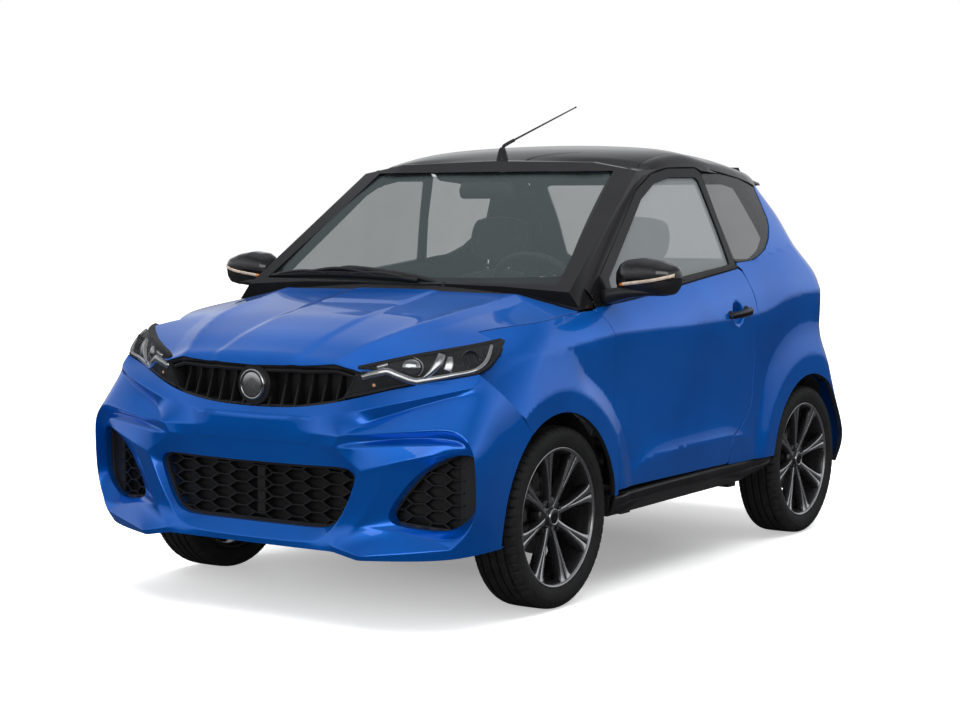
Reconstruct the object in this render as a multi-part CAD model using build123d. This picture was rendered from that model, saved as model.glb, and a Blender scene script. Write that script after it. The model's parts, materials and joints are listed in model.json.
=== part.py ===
"""Two-seat microcar: a hatchback light quadricycle on four 16 inch wheels.

Frame: millimetres, +Z up, +X to the car's left, front of the car at -Y.  Origin on the floor, midway
between the bumpers.  The body is one envelope, lofted through the SECTIONS table with straight edges.
Panels are layers of that envelope (so many millimetres in from the outside), cut along the real shut
lines, which are given as outlines in side view (y, z), front view (x, z) or plan (x, y).
"""
from build123d import *
import math
import os

os.makedirs("parts", exist_ok=True)

# ------------------------------------------------------------------ driving dimensions (mm)
LENGTH = 3006.0
WIDTH = 1500.0
Y_FRONT_AXLE, Y_REAR_AXLE = -876.0, 931.0
X_WHEEL = 647.0            # centre of the tyre
TYRE_R, TYRE_W = 283.0, 160.0
RIM_R = 218.0              # outside of the rim flange
BARREL_R = 196.0           # inside of the rim barrel
SPOKES = 8
SPINDLE_R = 15.0
RUNNING_GAP = 0.05         # radial, spindle in hub carrier
KING_X, KING_LEAN = 593.0, 0.1922   # steering axis at hub height, and how far it leans in per mm of height
Y_FRONT_ARCH, FRONT_ARCH_R = -900.0, 328.0
Y_REAR_ARCH, REAR_ARCH_R = 938.0, 330.0
LINER_T = 5.0
FRONT_INNER_X, REAR_INNER_X, LINER_OUT_X = 415.0, 535.0, 688.0
PANEL_T = 22.0             # outer panels
FRAME_T = 45.0             # pillars and roof rails
DOOR_T = 60.0              # whole door
TAIL_T = 40.0              # whole tailgate
GLASS_T = 5.0
G = 2.5                    # half of a shut line
FLOOR_Z, BOOT_Z = 300.0, 345.0       # top of the cabin floor and of the boot floor
SEAT_X, SEAT_W = 300.0, 450.0
PLATE_HOLE_R, PLATE_PITCH = 3.0, 300.0

# ------------------------------------------------------------------ body envelope
# columns: y | zb, xs: underside height and half width | xw, zw: widest point | xb, zt: waist line
#          | xr, zr: roof or bonnet edge | xm, zm: half way across | zc: centre line
SECTIONS = [
    (-1503, 225, 400, 450, 400, 430, 560, 380, 592, 200, 598, 599),
    (-1474, 207, 540, 600, 440, 566, 640, 405, 752, 220, 763, 766),
    (-1400, 206, 650, 705, 470, 645, 705, 478, 786, 250, 800, 805),
    (-1300, 206, 698, 740, 500, 692, 748, 590, 812, 300, 842, 850),
    (-1100, 212, 714, 749, 590, 704, 848, 640, 872, 350, 893, 900),
    (-722, 240, 712, 746, 700, 692, 914, 650, 964, 400, 977, 982),
    (-145, 245, 708, 740, 800, 690, 968, 572, 1362, 400, 1392, 1402),
    (350, 250, 708, 740, 845, 690, 1022, 584, 1388, 430, 1442, 1468),
    (830, 255, 714, 749, 830, 676, 1065, 562, 1338, 400, 1404, 1424),
    (1200, 262, 700, 738, 620, 668, 900, 604, 960, 400, 1000, 1010),
    (1340, 275, 630, 682, 540, 625, 760, 560, 850, 380, 890, 900),
    (1450, 290, 540, 585, 490, 560, 600, 500, 632, 300, 645, 650),
    (1503, 305, 440, 480, 430, 460, 540, 420, 566, 250, 572, 575),
]


def section_points(row):
    y, zb, xs, xw, zw, xb, zt, xr, zr, xm, zm, zc = row
    right = [(xs, zb), (xw, zw), (xb, zt), (xr, zr), (xm, zm)]
    return right + [(0.0, zc)] + [(-x, z) for x, z in reversed(right)]


def inset(points, t):
    """The same outline (listed anticlockwise) moved in by t, corner for corner."""
    if t == 0:
        return points
    n, out = len(points), []
    for i in range(n):
        (ax, az), (bx, bz), (cx, cz) = points[i - 1], points[i], points[(i + 1) % n]
        ux, uz, vx, vz = bx - ax, bz - az, cx - bx, cz - bz
        lu, lv = math.hypot(ux, uz), math.hypot(vx, vz)
        n1, n2 = (-uz / lu, ux / lu), (-vz / lv, vx / lv)
        k = 1 + n1[0] * n2[0] + n1[1] * n2[1]
        out.append((bx + t * (n1[0] + n2[0]) / k, bz + t * (n1[1] + n2[1]) / k))
    return out


def grow(points, d):
    """Outline moved out by d (in by -d), listed either way round."""
    area = sum(a[0] * b[1] - b[0] * a[1] for a, b in zip(points, points[1:] + points[:1]))
    return inset(points, -d if area > 0 else d)


_layers = {}


def env(t):
    """The body's outside moved in by t on every face."""
    if t not in _layers:
        wires = []
        for row in SECTIONS:
            y = row[0] + (t if row[0] < 0 else -t)
            wires.append(Wire.make_polygon([Vector(x, y, z) for x, z in inset(section_points(row), t)], close=True))
        _layers[t] = Solid.make_loft(wires, ruled=True)
    return _layers[t]


def layer(outer, inner):
    return env(outer) - env(inner)


# ------------------------------------------------------------------ helpers
def side(points, x0, x1):
    """Prism of a side-view outline (y, z) from x0 to x1."""
    return extrude(Face(Wire.make_polygon([Vector(x0, y, z) for y, z in points], close=True)), amount=x1 - x0, dir=(1, 0, 0))


def front(points, y0, y1):
    """Prism of a front-view outline (x, z) from y0 to y1."""
    return extrude(Face(Wire.make_polygon([Vector(x, y0, z) for x, z in points], close=True)), amount=y1 - y0, dir=(0, 1, 0))


def plan(points, z0, z1):
    """Prism of a plan outline (x, y) from z0 to z1."""
    return extrude(Face(Wire.make_polygon([Vector(x, y, z0) for x, y in points], close=True)), amount=z1 - z0, dir=(0, 0, 1))


def box(x0, x1, y0, y1, z0, z1):
    return Pos((x0 + x1) / 2, (y0 + y1) / 2, (z0 + z1) / 2) * Box(x1 - x0, y1 - y0, z1 - z0)


def tube_x(y, z, r, x0, x1):
    return Pos((x0 + x1) / 2, y, z) * Rot(0, 90, 0) * Cylinder(r, x1 - x0)


def rod(a, b, r):
    """Round bar from a to b."""
    a, b = Vector(*a), Vector(*b)
    return Solid.make_cylinder(r, (b - a).length, Plane(origin=a, z_dir=(b - a)))


def mirror_x(shape):
    return shape.mirror(Plane.YZ)


def solids(*shapes):
    out = []
    for s in shapes:
        out += list(s.solids()) if hasattr(s, "solids") else solids(*s)
    return out


def both(shape):
    return solids(shape, mirror_x(shape))


NODES = {}


def keep(name, *parts, smallest=400.0):
    NODES[name] = [s for s in solids(*parts) if s.volume > smallest]


# ------------------------------------------------------------------ shut lines and openings
HOOD_LINE = [(-1456, 770), (-1300, 800), (-1148, 849), (-784, 902), (-723, 912)]
DOOR = [(-545, 336), (-556, 600), (-556, 837), (-556, 926), (-632, 922), (-600, 968), (-548, 1016), (-191, 1292),
        (-60, 1352), (60, 1374), (256, 1380), (290, 1370), (388, 1029), (418, 1020), (464, 908), (464, 850),
        (440, 555), (380, 480), (275, 440), (262, 345)]
DOOR_GLASS = [(-500, 962), (-505, 1012), (-172, 1266), (-52, 1324), (60, 1344), (238, 1348), (258, 1338), (340, 1050)]
QUARTER_GLASS = [(322, 1346), (410, 1044), (540, 1056), (650, 1092), (760, 1200), (738, 1296), (600, 1334)]
SILL = [(-570, 247), (390, 257), (590, 296), (590, 331), (250, 329), (-570, 315)]
WINDSCREEN = [(-592, 990), (592, 990), (492, 1362), (-492, 1362)]
ROOF_PLAN = [(-512, -128), (512, -128), (530, 350), (505, 739), (-505, 739), (-530, 350)]
QUARTER = [(294, 1364), (391, 1034), (423, 1025), (469, 909), (469, 849), (445, 553), (383, 475), (280, 436), (267, 345),
           (267, 336), (938, 336), (938, 560), (1092, 566), (1330, 668), (1420, 800), (1150, 1110), (850, 1322), (600, 1352)]
LOWER_GRILLE = [(-371, 463), (371, 463), (376, 448), (330, 300), (262, 284), (-262, 284), (-330, 300), (-376, 448)]
UPPER_GRILLE = [(-372, 758), (-312, 664), (-150, 640), (150, 640), (312, 664), (372, 758)]
FOG = [(446, 303), (600, 285), (655, 312), (660, 496), (636, 512), (548, 462)]
FOGS = [FOG, [(-x, z) for x, z in FOG]]
TAIL_LAMP = [(1120, 800), (1420, 740), (1420, 900), (1300, 960), (1120, 960)]
GATE_N, GATE_UP = (0.743, 0.669), (-0.669, 0.743)     # (y, z): out of the tailgate, and up along it
GATE = [(-520, -505), (520, -505), (575, -150), (570, -40), (484, 435), (484, 640), (-484, 640), (-484, 435), (-570, -40), (-575, -150)]
REAR_GLASS = [(-470, -40), (470, -40), (430, 330), (395, 380), (-395, 380), (-430, 330)]
Y_GATE_SPLIT, GATE_GAP = 745.0, 6.5


def gate_prism(points, w0=1370.0, w1=1900.0):
    """Prism out through the tailgate of an outline (x, height along the gate)."""
    v = [Vector(x, w0 * GATE_N[0] + s * GATE_UP[0], w0 * GATE_N[1] + s * GATE_UP[1]) for x, s in points]
    return extrude(Face(Wire.make_polygon(v, close=True)), amount=w1 - w0, dir=(0, *GATE_N))


def arch(y, r):
    return solids(tube_x(y, TYRE_R, r, 380, 900), tube_x(y, TYRE_R, r, -900, -380))


FRONT_ARCH, REAR_ARCH = arch(Y_FRONT_ARCH, FRONT_ARCH_R), arch(Y_REAR_ARCH, REAR_ARCH_R)

# ------------------------------------------------------------------ front panels
skin = layer(0, PANEL_T)
hood_cut = [(y, z + G) for y, z in HOOD_LINE]
keep("bonnet", skin & side(hood_cut + [(-723, 1300), (-1456, 1300)], -800, 800))

fender = skin & side([(-1290, 742), (-1150, 844), (-784, 897), (-721, 907), (-640, 910), (-562, 914), (-562, 600), (-552, 340),
                      (-552, 318), (-900, 318), (-900, 565), (-1072, 564)], 400, 800)
keep("front_fenders", both(fender - FRONT_ARCH))

BUMPER_SIDE = [(-1520, 150), (-900, 150), (-900, 561), (-1076, 559), (-1292, 736), (-1300, 790), (-1520, 790)]
BUMPER_TOP = [(800, 736), (720, 734), (518, 707), (312, 658), (150, 634), (-150, 634), (-312, 658), (-518, 707), (-720, 734), (-800, 736)]
front_bumper = (skin & side(BUMPER_SIDE, -800, 800)) - FRONT_ARCH
front_bumper = front_bumper & front([(-800, 100), (800, 100)] + BUMPER_TOP, -1600, -800)
front_bumper = front_bumper - box(-800, 800, -1400, -800, 150, 240) - front(LOWER_GRILLE, -1600, -1250)
front_bumper = front_bumper - front(FOGS[0], -1600, -1250) - front(FOGS[1], -1600, -1250)
for x in (-PLATE_PITCH / 2, PLATE_PITCH / 2):
    front_bumper = front_bumper - rod((x, -1510, 530), (x, -1470, 530), PLATE_HOLE_R)
keep("front_bumper", front_bumper, smallest=5e5)
keep("lower_grilles", [layer(14, 34) & front(grow(o, -1.5), -1600, -1260) for o in [LOWER_GRILLE] + FOGS])
keep("upper_grille", layer(6, 40) & front(UPPER_GRILLE, -1600, -1300))
LAMP_FRONT = [(380, 758), (319, 670), (518, 717), (740, 745), (740, 846), (560, 812), (400, 768)]
LAMP_SIDE = [(-1600, 600), (-1296, 600), (-1296, 748), (-1166, 840), (-1150, 846), (-1300, 795), (-1456, 765), (-1600, 765)]
keep("headlamps", both(layer(2, 58) & front(LAMP_FRONT, -1600, -1160) & side(LAMP_SIDE, 200, 800)))

# ------------------------------------------------------------------ doors and their glass
door_shell = (layer(0, DOOR_T) & side(DOOR, 505, 800)) - side(DOOR_GLASS, 300, 800) - plan(grow(ROOF_PLAN, 6), 1200, 1600)
door_shell = door_shell - front([(300, 300), (645, 300), (640, 600), (622, 1010), (508, 1385), (300, 1385)], -700, 600)
door_glass = layer(9, 9 + GLASS_T) & side(grow(DOOR_GLASS, -1), 300, 800)
keep("door_left", door_shell)
keep("door_right", mirror_x(door_shell))
keep("door_glass_left", door_glass)
keep("door_glass_right", mirror_x(door_glass))
MIRROR_HEAD = [(716, 962), (704, 1030), (735, 1072), (800, 1078), (922, 1046), (928, 990), (895, 956)]
mirror = front(MIRROR_HEAD, -556, -482) + box(682, 720, -580, -515, 950, 992)
mirror = mirror - env(0)
keep("mirror_left", mirror)
keep("mirror_right", mirror_x(mirror))

# ------------------------------------------------------------------ frame, roof and fixed glass
door_hole = solids(side(grow(DOOR, 2 * G), 250, 900), side(grow(DOOR, 2 * G), -900, -250))
tail_hole = gate_prism(grow(GATE, GATE_GAP)) & box(-800, 800, Y_GATE_SPLIT - GATE_GAP, 1700, 400, 1700)
FRAME_SIDE = [(-716, 914), (-632, 918), (-556, 921), (290, 1033), (290, 1372), (600, 1357), (855, 1327), (855, 1500), (-716, 1500)]
frame = (layer(0, FRAME_T) & side(FRAME_SIDE, -800, 800)) - door_hole
frame = frame - front(WINDSCREEN, -900, -60) - plan(ROOF_PLAN, 1200, 1600) - tail_hole
keep("body_frame", frame, smallest=3000)
keep("windscreen", layer(4, 4 + GLASS_T) & front(grow(WINDSCREEN, -2), -900, -80))
keep("roof_panel", layer(0, 24) & plan(grow(ROOF_PLAN, -2), 1200, 1600))

quarter = (layer(0, FRAME_T) & side(QUARTER, 300, 800)) - side(QUARTER_GLASS, 300, 800) - REAR_ARCH
keep("rear_quarters", both(quarter - tail_hole - side(grow(TAIL_LAMP, 2), 300, 800)), smallest=3000)
keep("quarter_windows", both(layer(4, 4 + GLASS_T) & side(grow(QUARTER_GLASS, -1), 300, 800)))
keep("tail_lamps", both((layer(0, FRAME_T) & side(TAIL_LAMP, 300, 800)) - tail_hole))

gate = layer(0, TAIL_T) & gate_prism(GATE) & box(-800, 800, Y_GATE_SPLIT, 1700, 400, 1700)
keep("tailgate", gate - gate_prism(REAR_GLASS))
keep("rear_window", layer(6, 6 + GLASS_T) & gate_prism(grow(REAR_GLASS, -1)))

REAR_BUMPER_SIDE = [(1600, 150), (938, 150), (938, 555), (1094, 561), (1335, 663), (1600, 663)]
rear_bumper = (skin & side(REAR_BUMPER_SIDE, -800, 800)) - REAR_ARCH - gate_prism(grow(GATE, GATE_GAP))
rear_bumper = rear_bumper - box(-800, 800, 900, 1390, 150, 300)
for x in (-PLATE_PITCH / 2, PLATE_PITCH / 2):
    rear_bumper = rear_bumper - rod((x, 1470, 440), (x, 1510, 440), PLATE_HOLE_R)
keep("rear_bumper", rear_bumper, smallest=5e4)

PAD = 30.0                 # half of a jacking pad
JACK_Y, JACK_Z = (-430.0, 350.0), 240.0
sill = (layer(0, 60) & side(SILL, 644, 800)) - tube_x(-893, TYRE_R, 342, 600, LINER_OUT_X + 2)
for y in JACK_Y:
    sill = sill + box(650, 700, y - PAD, y + PAD, JACK_Z, 262)
keep("side_sills", both(sill))

# ------------------------------------------------------------------ floor, bulkhead, wheel houses
floor = box(-642, 642, -622, 560, FLOOR_Z - 15, FLOOR_Z) - box(FRONT_INNER_X - 8, 700, -700, -540, 200, 400)
floor = floor - box(-700, -FRONT_INNER_X + 8, -700, -540, 200, 400)
boot = box(-529, 529, 566, 1440, BOOT_Z - 15, BOOT_Z) & env(PANEL_T + 3)
step = box(-529, 529, 560, 575, FLOOR_Z - 15, BOOT_Z)
keep("floor_pan", (floor + step + boot))
bulk = box(-FRONT_INNER_X + 8, FRONT_INNER_X - 8, -640, -623, FLOOR_Z - 15, 626) + box(-720, 720, -640, -623, 626, 905)
keep("bulkhead", bulk & env(PANEL_T + 4))


def wheel_house(y, r, x_in, z_low, tower=None):
    outer = tube_x(y, TYRE_R, r + LINER_T, x_in - LINER_T, LINER_OUT_X)
    inner = tube_x(y, TYRE_R, r, x_in, LINER_OUT_X + 10)
    if tower:
        outer = outer + Pos(tower, Y_FRONT_AXLE, 660) * Cylinder(67, 130)
        inner = inner + Pos(tower, Y_FRONT_AXLE, 655) * Cylinder(62, 130)
    return (outer - inner) - box(-900, 900, y - 400, y + 400, -100, z_low)


front_house = wheel_house(-893, 335, FRONT_INNER_X, 262, tower=528)
rear_house = wheel_house(935, 336, REAR_INNER_X, 300)
keep("wheel_houses", both(front_house & env(PANEL_T + 2)), both(rear_house & env(FRAME_T + 2)), smallest=5e3)

# ------------------------------------------------------------------ cabin
DASH = [(-618, 620), (-618, 925), (-520, 958), (-440, 955), (-395, 900), (-410, 760), (-480, 640)]
COLUMN = Vector(0, 0.906, 0.423)
WHEEL_C = Vector(SEAT_X, -330, 925)
dash = side(DASH, -568, 568) & plan([(-568, -620), (568, -620), (568, -520), (500, -380), (-500, -380), (-568, -520)], 600, 1000)
dash = dash & front([(-572, 600), (572, 600), (556, 800), (510, 970), (-510, 970), (-556, 800)], -630, -370)
column = rod(tuple(WHEEL_C - COLUMN * 110), tuple(WHEEL_C - COLUMN * 38), 32)
keep("dashboard", dash, column - dash)
RING_R, GRIP_R = 172, 14
ring = Plane(origin=WHEEL_C, z_dir=COLUMN, x_dir=(1, 0, 0))
grip = [(RING_R + GRIP_R * math.cos(math.radians(a)), GRIP_R * math.sin(math.radians(a))) for a in range(15, 375, 30)]
grip = Wire.make_polygon([WHEEL_C + Vector(1, 0, 0) * u + COLUMN * v for u, v in grip], close=True)
steer = revolve(Face(grip), axis=Axis(WHEEL_C, COLUMN), revolution_arc=360)
steer = steer + Solid.make_cylinder(52, 40, Plane(origin=WHEEL_C - COLUMN * 32, z_dir=COLUMN))
for a in (4, 176, 270):
    steer = steer + ring * Rot(0, 0, a) * Pos(105, 0, -8) * Box(120, 30, 12)
keep("steering_wheel", steer)
CUSHION = [(-240, 350), (190, 350), (215, 440), (190, 500), (-220, 515), (-250, 470)]
BACK = [(212, 405), (300, 400), (420, 1150), (390, 1215), (330, 1215), (300, 1130), (200, 560), (196, 510)]
for name, x in (("driver_seat", SEAT_X), ("passenger_seat", -SEAT_X)):
    back = side(BACK, x - SEAT_W / 2 + 10, x + SEAT_W / 2 - 10)
    back = back - front([(x - 400, 1000), (x - 150, 1000), (x - 150, 1250), (x - 400, 1250)], 0, 600)
    back = back - front([(x + 400, 1000), (x + 150, 1000), (x + 150, 1250), (x + 400, 1250)], 0, 600)
    keep(name, side(CUSHION, x - SEAT_W / 2, x + SEAT_W / 2), back - side(grow(CUSHION, 1), x - 400, x + 400))
rails = [box(x + s * 160 - 20, x + s * 160 + 20, -200, 230, FLOOR_Z, 349.5) for x in (SEAT_X, -SEAT_X) for s in (-1, 1)]
keep("seat_frames", rails)

# ------------------------------------------------------------------ engine, suspension, exhaust
keep("engine", box(-230, 250, -1120, -720, 290, 700) & env(60))
BALL_Z = 196.0
BALL_X = KING_X - (BALL_Z - TYRE_R) * KING_LEAN
subframe = box(-320, 320, -980, -770, 222, 262) + box(-380, -300, -960, -790, 228, 252) + box(300, 380, -960, -790, 228, 252)
arms = [rod((s * 386, Y_FRONT_AXLE + d, 238), (s * (BALL_X - 22), Y_FRONT_AXLE + d * 0.12, BALL_Z - 4), 11) for s in (-1, 1) for d in (-60, 60)]
keep("front_subframe", subframe, arms)
knuckle = box(583, 618, Y_FRONT_AXLE - 34, Y_FRONT_AXLE + 34, 214, 372) + rod((BALL_X, Y_FRONT_AXLE, BALL_Z - 8), (BALL_X - 3, Y_FRONT_AXLE, 220), 13)
knuckle = knuckle + box(611, 652, Y_FRONT_AXLE - 46, Y_FRONT_AXLE + 46, TYRE_R + 78, TYRE_R + 136)
knuckle = knuckle - tube_x(Y_FRONT_AXLE, TYRE_R, 125, 619, 643)
knuckle = knuckle + box(533, 590, Y_FRONT_AXLE - 24, Y_FRONT_AXLE + 24, 318, 384)
knuckle = knuckle + rod((548, Y_FRONT_AXLE, 330), (530, Y_FRONT_AXLE, 604), 20) + rod((530, Y_FRONT_AXLE, 600), (524, Y_FRONT_AXLE, 690), 44)
knuckle = knuckle + rod((524, Y_FRONT_AXLE, 690), (523, Y_FRONT_AXLE, 706), 10)
knuckle = knuckle - tube_x(Y_FRONT_AXLE, TYRE_R, SPINDLE_R + RUNNING_GAP, 570, 625)
keep("left_knuckle", knuckle)
keep("right_knuckle", mirror_x(knuckle))
beam = rod((-560, Y_REAR_AXLE, 262), (560, Y_REAR_AXLE, 262), 27)
for s in (-1, 1):
    beam = beam + rod((s * 400, Y_REAR_AXLE, 262), (s * 400, 640, 268), 22) + tube_x(Y_REAR_AXLE, TYRE_R, 40, *sorted((s * 560, s * 585)))

    beam = beam - tube_x(Y_REAR_AXLE, TYRE_R, SPINDLE_R + RUNNING_GAP, *sorted((s * 562, s * 590)))
keep("rear_axle", beam)
PIPE_X, PIPE_Z, PIPE_R = -150.0, 208.0, 19.0
exhaust = rod((PIPE_X, -700, PIPE_Z), (PIPE_X, 1180, PIPE_Z), PIPE_R) + rod((-420, 1210, 256), (60, 1210, 256), 55)
keep("exhaust", exhaust + rod((-360, 1210, 256), (-360, 1470, 256), PIPE_R))

# ------------------------------------------------------------------ wiper and aerial

# one pivot left of the middle, an arm that rises to its elbow, and a blade lying along the foot of the glass
WIPER_PIVOT = (188, -705)
WIPER_ARM = [(188, -703, 1004), (0, -692, 1016), (-150, -676, 1026), (-280, -663, 1031)]
WIPER_BLADE = [(-606, -690, 992), (-450, -700, 998), (-300, -706, 1001), (-150, -707, 1003), (20, -707, 1004)]
wiper = rod((*WIPER_PIVOT, 984), (*WIPER_PIVOT, 1010), 9)
for a, b in zip(WIPER_ARM, WIPER_ARM[1:]):
    wiper = wiper + rod(a, b, 5.5)
for a, b in zip(WIPER_BLADE, WIPER_BLADE[1:]):
    wiper = wiper + rod(a, b, 5)
wiper = wiper + rod((-280, -663, 1031), (-290, -704, 1000), 5)
keep("wiper", wiper - env(-0.0))
aerial = rod((0, -121, 1402), (0, -22, 1480), 9) + rod((0, -22, 1480), (0, 412, 1619), 2.5)
keep("aerial", aerial - env(0))

# ------------------------------------------------------------------ wheels
# tyre outline: (across the wheel, radius)
TYRE = [(-61, 201), (-61, 219), (-77, 234), (-80, 250), (-77, 266), (-62, 283), (62, 283), (77, 266), (80, 250), (77, 234), (61, 219), (61, 201)]
RIM = [(-68, 196), (-68, 218), (-62, 218), (-62, 200.5), (62, 200.5), (62, 218), (68, 218), (68, 196)]


def turned(points, x, y):
    """Ring turned about the wheel's axle from (across, radius) points."""
    f = Face(Wire.make_polygon([Vector(x + a, y, TYRE_R + r) for a, r in points], close=True))
    return revolve(f, axis=Axis((x, y, TYRE_R), (1, 0, 0)), revolution_arc=360)


def wheel(y, spindle_end):
    rim = turned(RIM, X_WHEEL, y)
    for i in range(SPOKES):
        spoke = Rot(360 / SPOKES * i, 0, 0) * Pos(50, 0, 120) * Box(22, 34, 160)
        rim = rim + Pos(X_WHEEL, y, TYRE_R) * spoke
    rim = rim & tube_x(y, TYRE_R, RIM_R, X_WHEEL - 68, X_WHEEL + 68)
    rim = rim + tube_x(y, TYRE_R, 62, X_WHEEL + 4, X_WHEEL + 61) + tube_x(y, TYRE_R, 36, X_WHEEL - 12, X_WHEEL + 6)
    rim = rim + tube_x(y, TYRE_R, 118, X_WHEEL - 22, X_WHEEL - 10) + tube_x(y, TYRE_R, SPINDLE_R, spindle_end, X_WHEEL - 20)
    return rim, turned(TYRE, X_WHEEL, y)


for end, y, spindle_end in (("front", Y_FRONT_AXLE, 588), ("rear", Y_REAR_AXLE, 566)):
    rim, tyre = wheel(y, spindle_end)
    keep(f"{end}_left_wheel", rim)
    keep(f"{end}_right_wheel", mirror_x(rim))
    keep(f"{end}_left_tyre", tyre)
    keep(f"{end}_right_tyre", mirror_x(tyre))

for name, parts in NODES.items():
    print(name, [round(s.volume / 1000) for s in parts], all(s.is_valid for s in parts))
    export_step(Compound(parts) if len(parts) > 1 else parts[0], f"parts/{name}.step")
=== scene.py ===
"""Looks of the microcar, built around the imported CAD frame.

Lengths in this file are millimetres (x to the car's left, y to the rear, z up) and become metres
when a mesh is made.  Body panels are outlines in side, plan or front view, meshed finely and laid
on smooth surface functions; the front bumper is a creased subdivision cage.
"""

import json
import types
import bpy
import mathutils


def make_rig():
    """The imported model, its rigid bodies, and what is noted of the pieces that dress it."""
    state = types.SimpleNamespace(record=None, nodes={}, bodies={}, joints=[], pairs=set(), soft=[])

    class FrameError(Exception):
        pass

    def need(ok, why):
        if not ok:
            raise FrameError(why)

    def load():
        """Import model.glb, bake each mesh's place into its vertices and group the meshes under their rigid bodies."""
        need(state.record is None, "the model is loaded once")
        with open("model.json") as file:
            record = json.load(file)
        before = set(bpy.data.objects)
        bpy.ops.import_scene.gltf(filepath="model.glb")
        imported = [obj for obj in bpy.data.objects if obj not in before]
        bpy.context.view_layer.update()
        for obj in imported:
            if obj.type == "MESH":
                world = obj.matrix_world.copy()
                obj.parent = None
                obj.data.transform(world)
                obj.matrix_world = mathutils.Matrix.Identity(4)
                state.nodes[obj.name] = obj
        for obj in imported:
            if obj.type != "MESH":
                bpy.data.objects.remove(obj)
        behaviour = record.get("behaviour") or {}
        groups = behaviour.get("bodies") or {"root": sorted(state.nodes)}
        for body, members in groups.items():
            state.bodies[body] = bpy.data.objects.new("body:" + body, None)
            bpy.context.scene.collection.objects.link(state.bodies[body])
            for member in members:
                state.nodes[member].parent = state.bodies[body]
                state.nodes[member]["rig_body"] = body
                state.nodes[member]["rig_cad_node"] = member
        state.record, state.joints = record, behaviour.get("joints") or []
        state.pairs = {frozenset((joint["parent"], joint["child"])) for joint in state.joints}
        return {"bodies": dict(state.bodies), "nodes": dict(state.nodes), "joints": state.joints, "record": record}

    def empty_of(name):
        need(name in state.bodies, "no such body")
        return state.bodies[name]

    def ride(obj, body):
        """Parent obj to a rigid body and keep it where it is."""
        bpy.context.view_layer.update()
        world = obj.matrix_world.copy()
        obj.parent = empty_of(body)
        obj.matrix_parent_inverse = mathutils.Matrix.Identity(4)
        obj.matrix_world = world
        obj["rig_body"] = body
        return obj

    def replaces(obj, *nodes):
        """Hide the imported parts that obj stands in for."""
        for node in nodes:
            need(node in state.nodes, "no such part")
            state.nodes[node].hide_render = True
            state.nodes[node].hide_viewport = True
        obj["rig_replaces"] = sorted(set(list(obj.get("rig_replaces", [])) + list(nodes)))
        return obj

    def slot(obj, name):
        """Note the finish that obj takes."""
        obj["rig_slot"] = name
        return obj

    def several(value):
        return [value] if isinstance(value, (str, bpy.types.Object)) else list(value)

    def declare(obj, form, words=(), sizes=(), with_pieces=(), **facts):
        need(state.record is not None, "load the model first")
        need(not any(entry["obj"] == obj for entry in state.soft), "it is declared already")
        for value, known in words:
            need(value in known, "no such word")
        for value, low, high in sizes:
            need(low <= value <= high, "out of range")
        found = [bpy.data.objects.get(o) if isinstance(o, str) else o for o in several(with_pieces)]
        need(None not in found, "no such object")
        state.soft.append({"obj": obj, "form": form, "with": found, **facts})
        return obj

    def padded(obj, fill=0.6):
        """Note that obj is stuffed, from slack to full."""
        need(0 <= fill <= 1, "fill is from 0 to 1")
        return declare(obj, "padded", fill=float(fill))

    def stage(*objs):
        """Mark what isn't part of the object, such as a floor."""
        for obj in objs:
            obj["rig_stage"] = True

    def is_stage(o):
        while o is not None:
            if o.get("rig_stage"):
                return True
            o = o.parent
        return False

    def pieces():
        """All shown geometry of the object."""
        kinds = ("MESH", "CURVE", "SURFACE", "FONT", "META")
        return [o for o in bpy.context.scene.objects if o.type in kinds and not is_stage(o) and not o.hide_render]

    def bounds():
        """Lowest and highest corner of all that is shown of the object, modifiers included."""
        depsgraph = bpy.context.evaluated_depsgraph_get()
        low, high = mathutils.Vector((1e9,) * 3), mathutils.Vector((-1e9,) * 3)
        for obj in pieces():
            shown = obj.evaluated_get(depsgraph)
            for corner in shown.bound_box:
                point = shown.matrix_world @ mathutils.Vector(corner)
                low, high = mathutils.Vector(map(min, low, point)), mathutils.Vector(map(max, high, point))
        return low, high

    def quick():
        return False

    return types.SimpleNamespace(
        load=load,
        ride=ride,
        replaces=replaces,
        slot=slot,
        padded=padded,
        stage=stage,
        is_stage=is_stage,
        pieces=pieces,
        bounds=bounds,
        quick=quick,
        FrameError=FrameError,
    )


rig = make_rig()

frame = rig.load()

import json
import math
import bpy
import bmesh
import numpy as np
from mathutils import Vector, Matrix
from mathutils.geometry import delaunay_2d_cdt

CAD_BOX = [[float(c) for c in corner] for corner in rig.bounds()]
K = 0.001

# ================================================================= curves in numbers
def curve(pts):
    """Smooth curve through (u, v) points, natural cubic, straight outside them."""
    u = np.array([p[0] for p in pts], float); v = np.array([p[1] for p in pts], float)
    n = len(u); h = np.diff(u)
    A = np.zeros((n, n)); b = np.zeros(n)
    A[0, 0] = A[-1, -1] = 1
    for i in range(1, n - 1):
        A[i, i - 1], A[i, i], A[i, i + 1] = h[i - 1], 2 * (h[i - 1] + h[i]), h[i]
        b[i] = 3 * ((v[i + 1] - v[i]) / h[i] - (v[i] - v[i - 1]) / h[i - 1])
    c = np.linalg.solve(A, b)
    d = np.diff(c) / (3 * h); s = np.diff(v) / h - h * (2 * c[:-1] + c[1:]) / 3
    s_end = s[-1] + 2 * c[-2] * h[-1] + 3 * d[-1] * h[-1] ** 2
    def f(q):
        q = np.asarray(q, float)
        i = np.clip(np.searchsorted(u, q) - 1, 0, n - 2)
        t = q - u[i]
        r = v[i] + s[i] * t + c[i] * t * t + d[i] * t ** 3
        r = np.where(q < u[0], v[0] + s[0] * (q - u[0]), r)
        return np.where(q > u[-1], v[-1] + s_end * (q - u[-1]), r)
    return f


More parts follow.
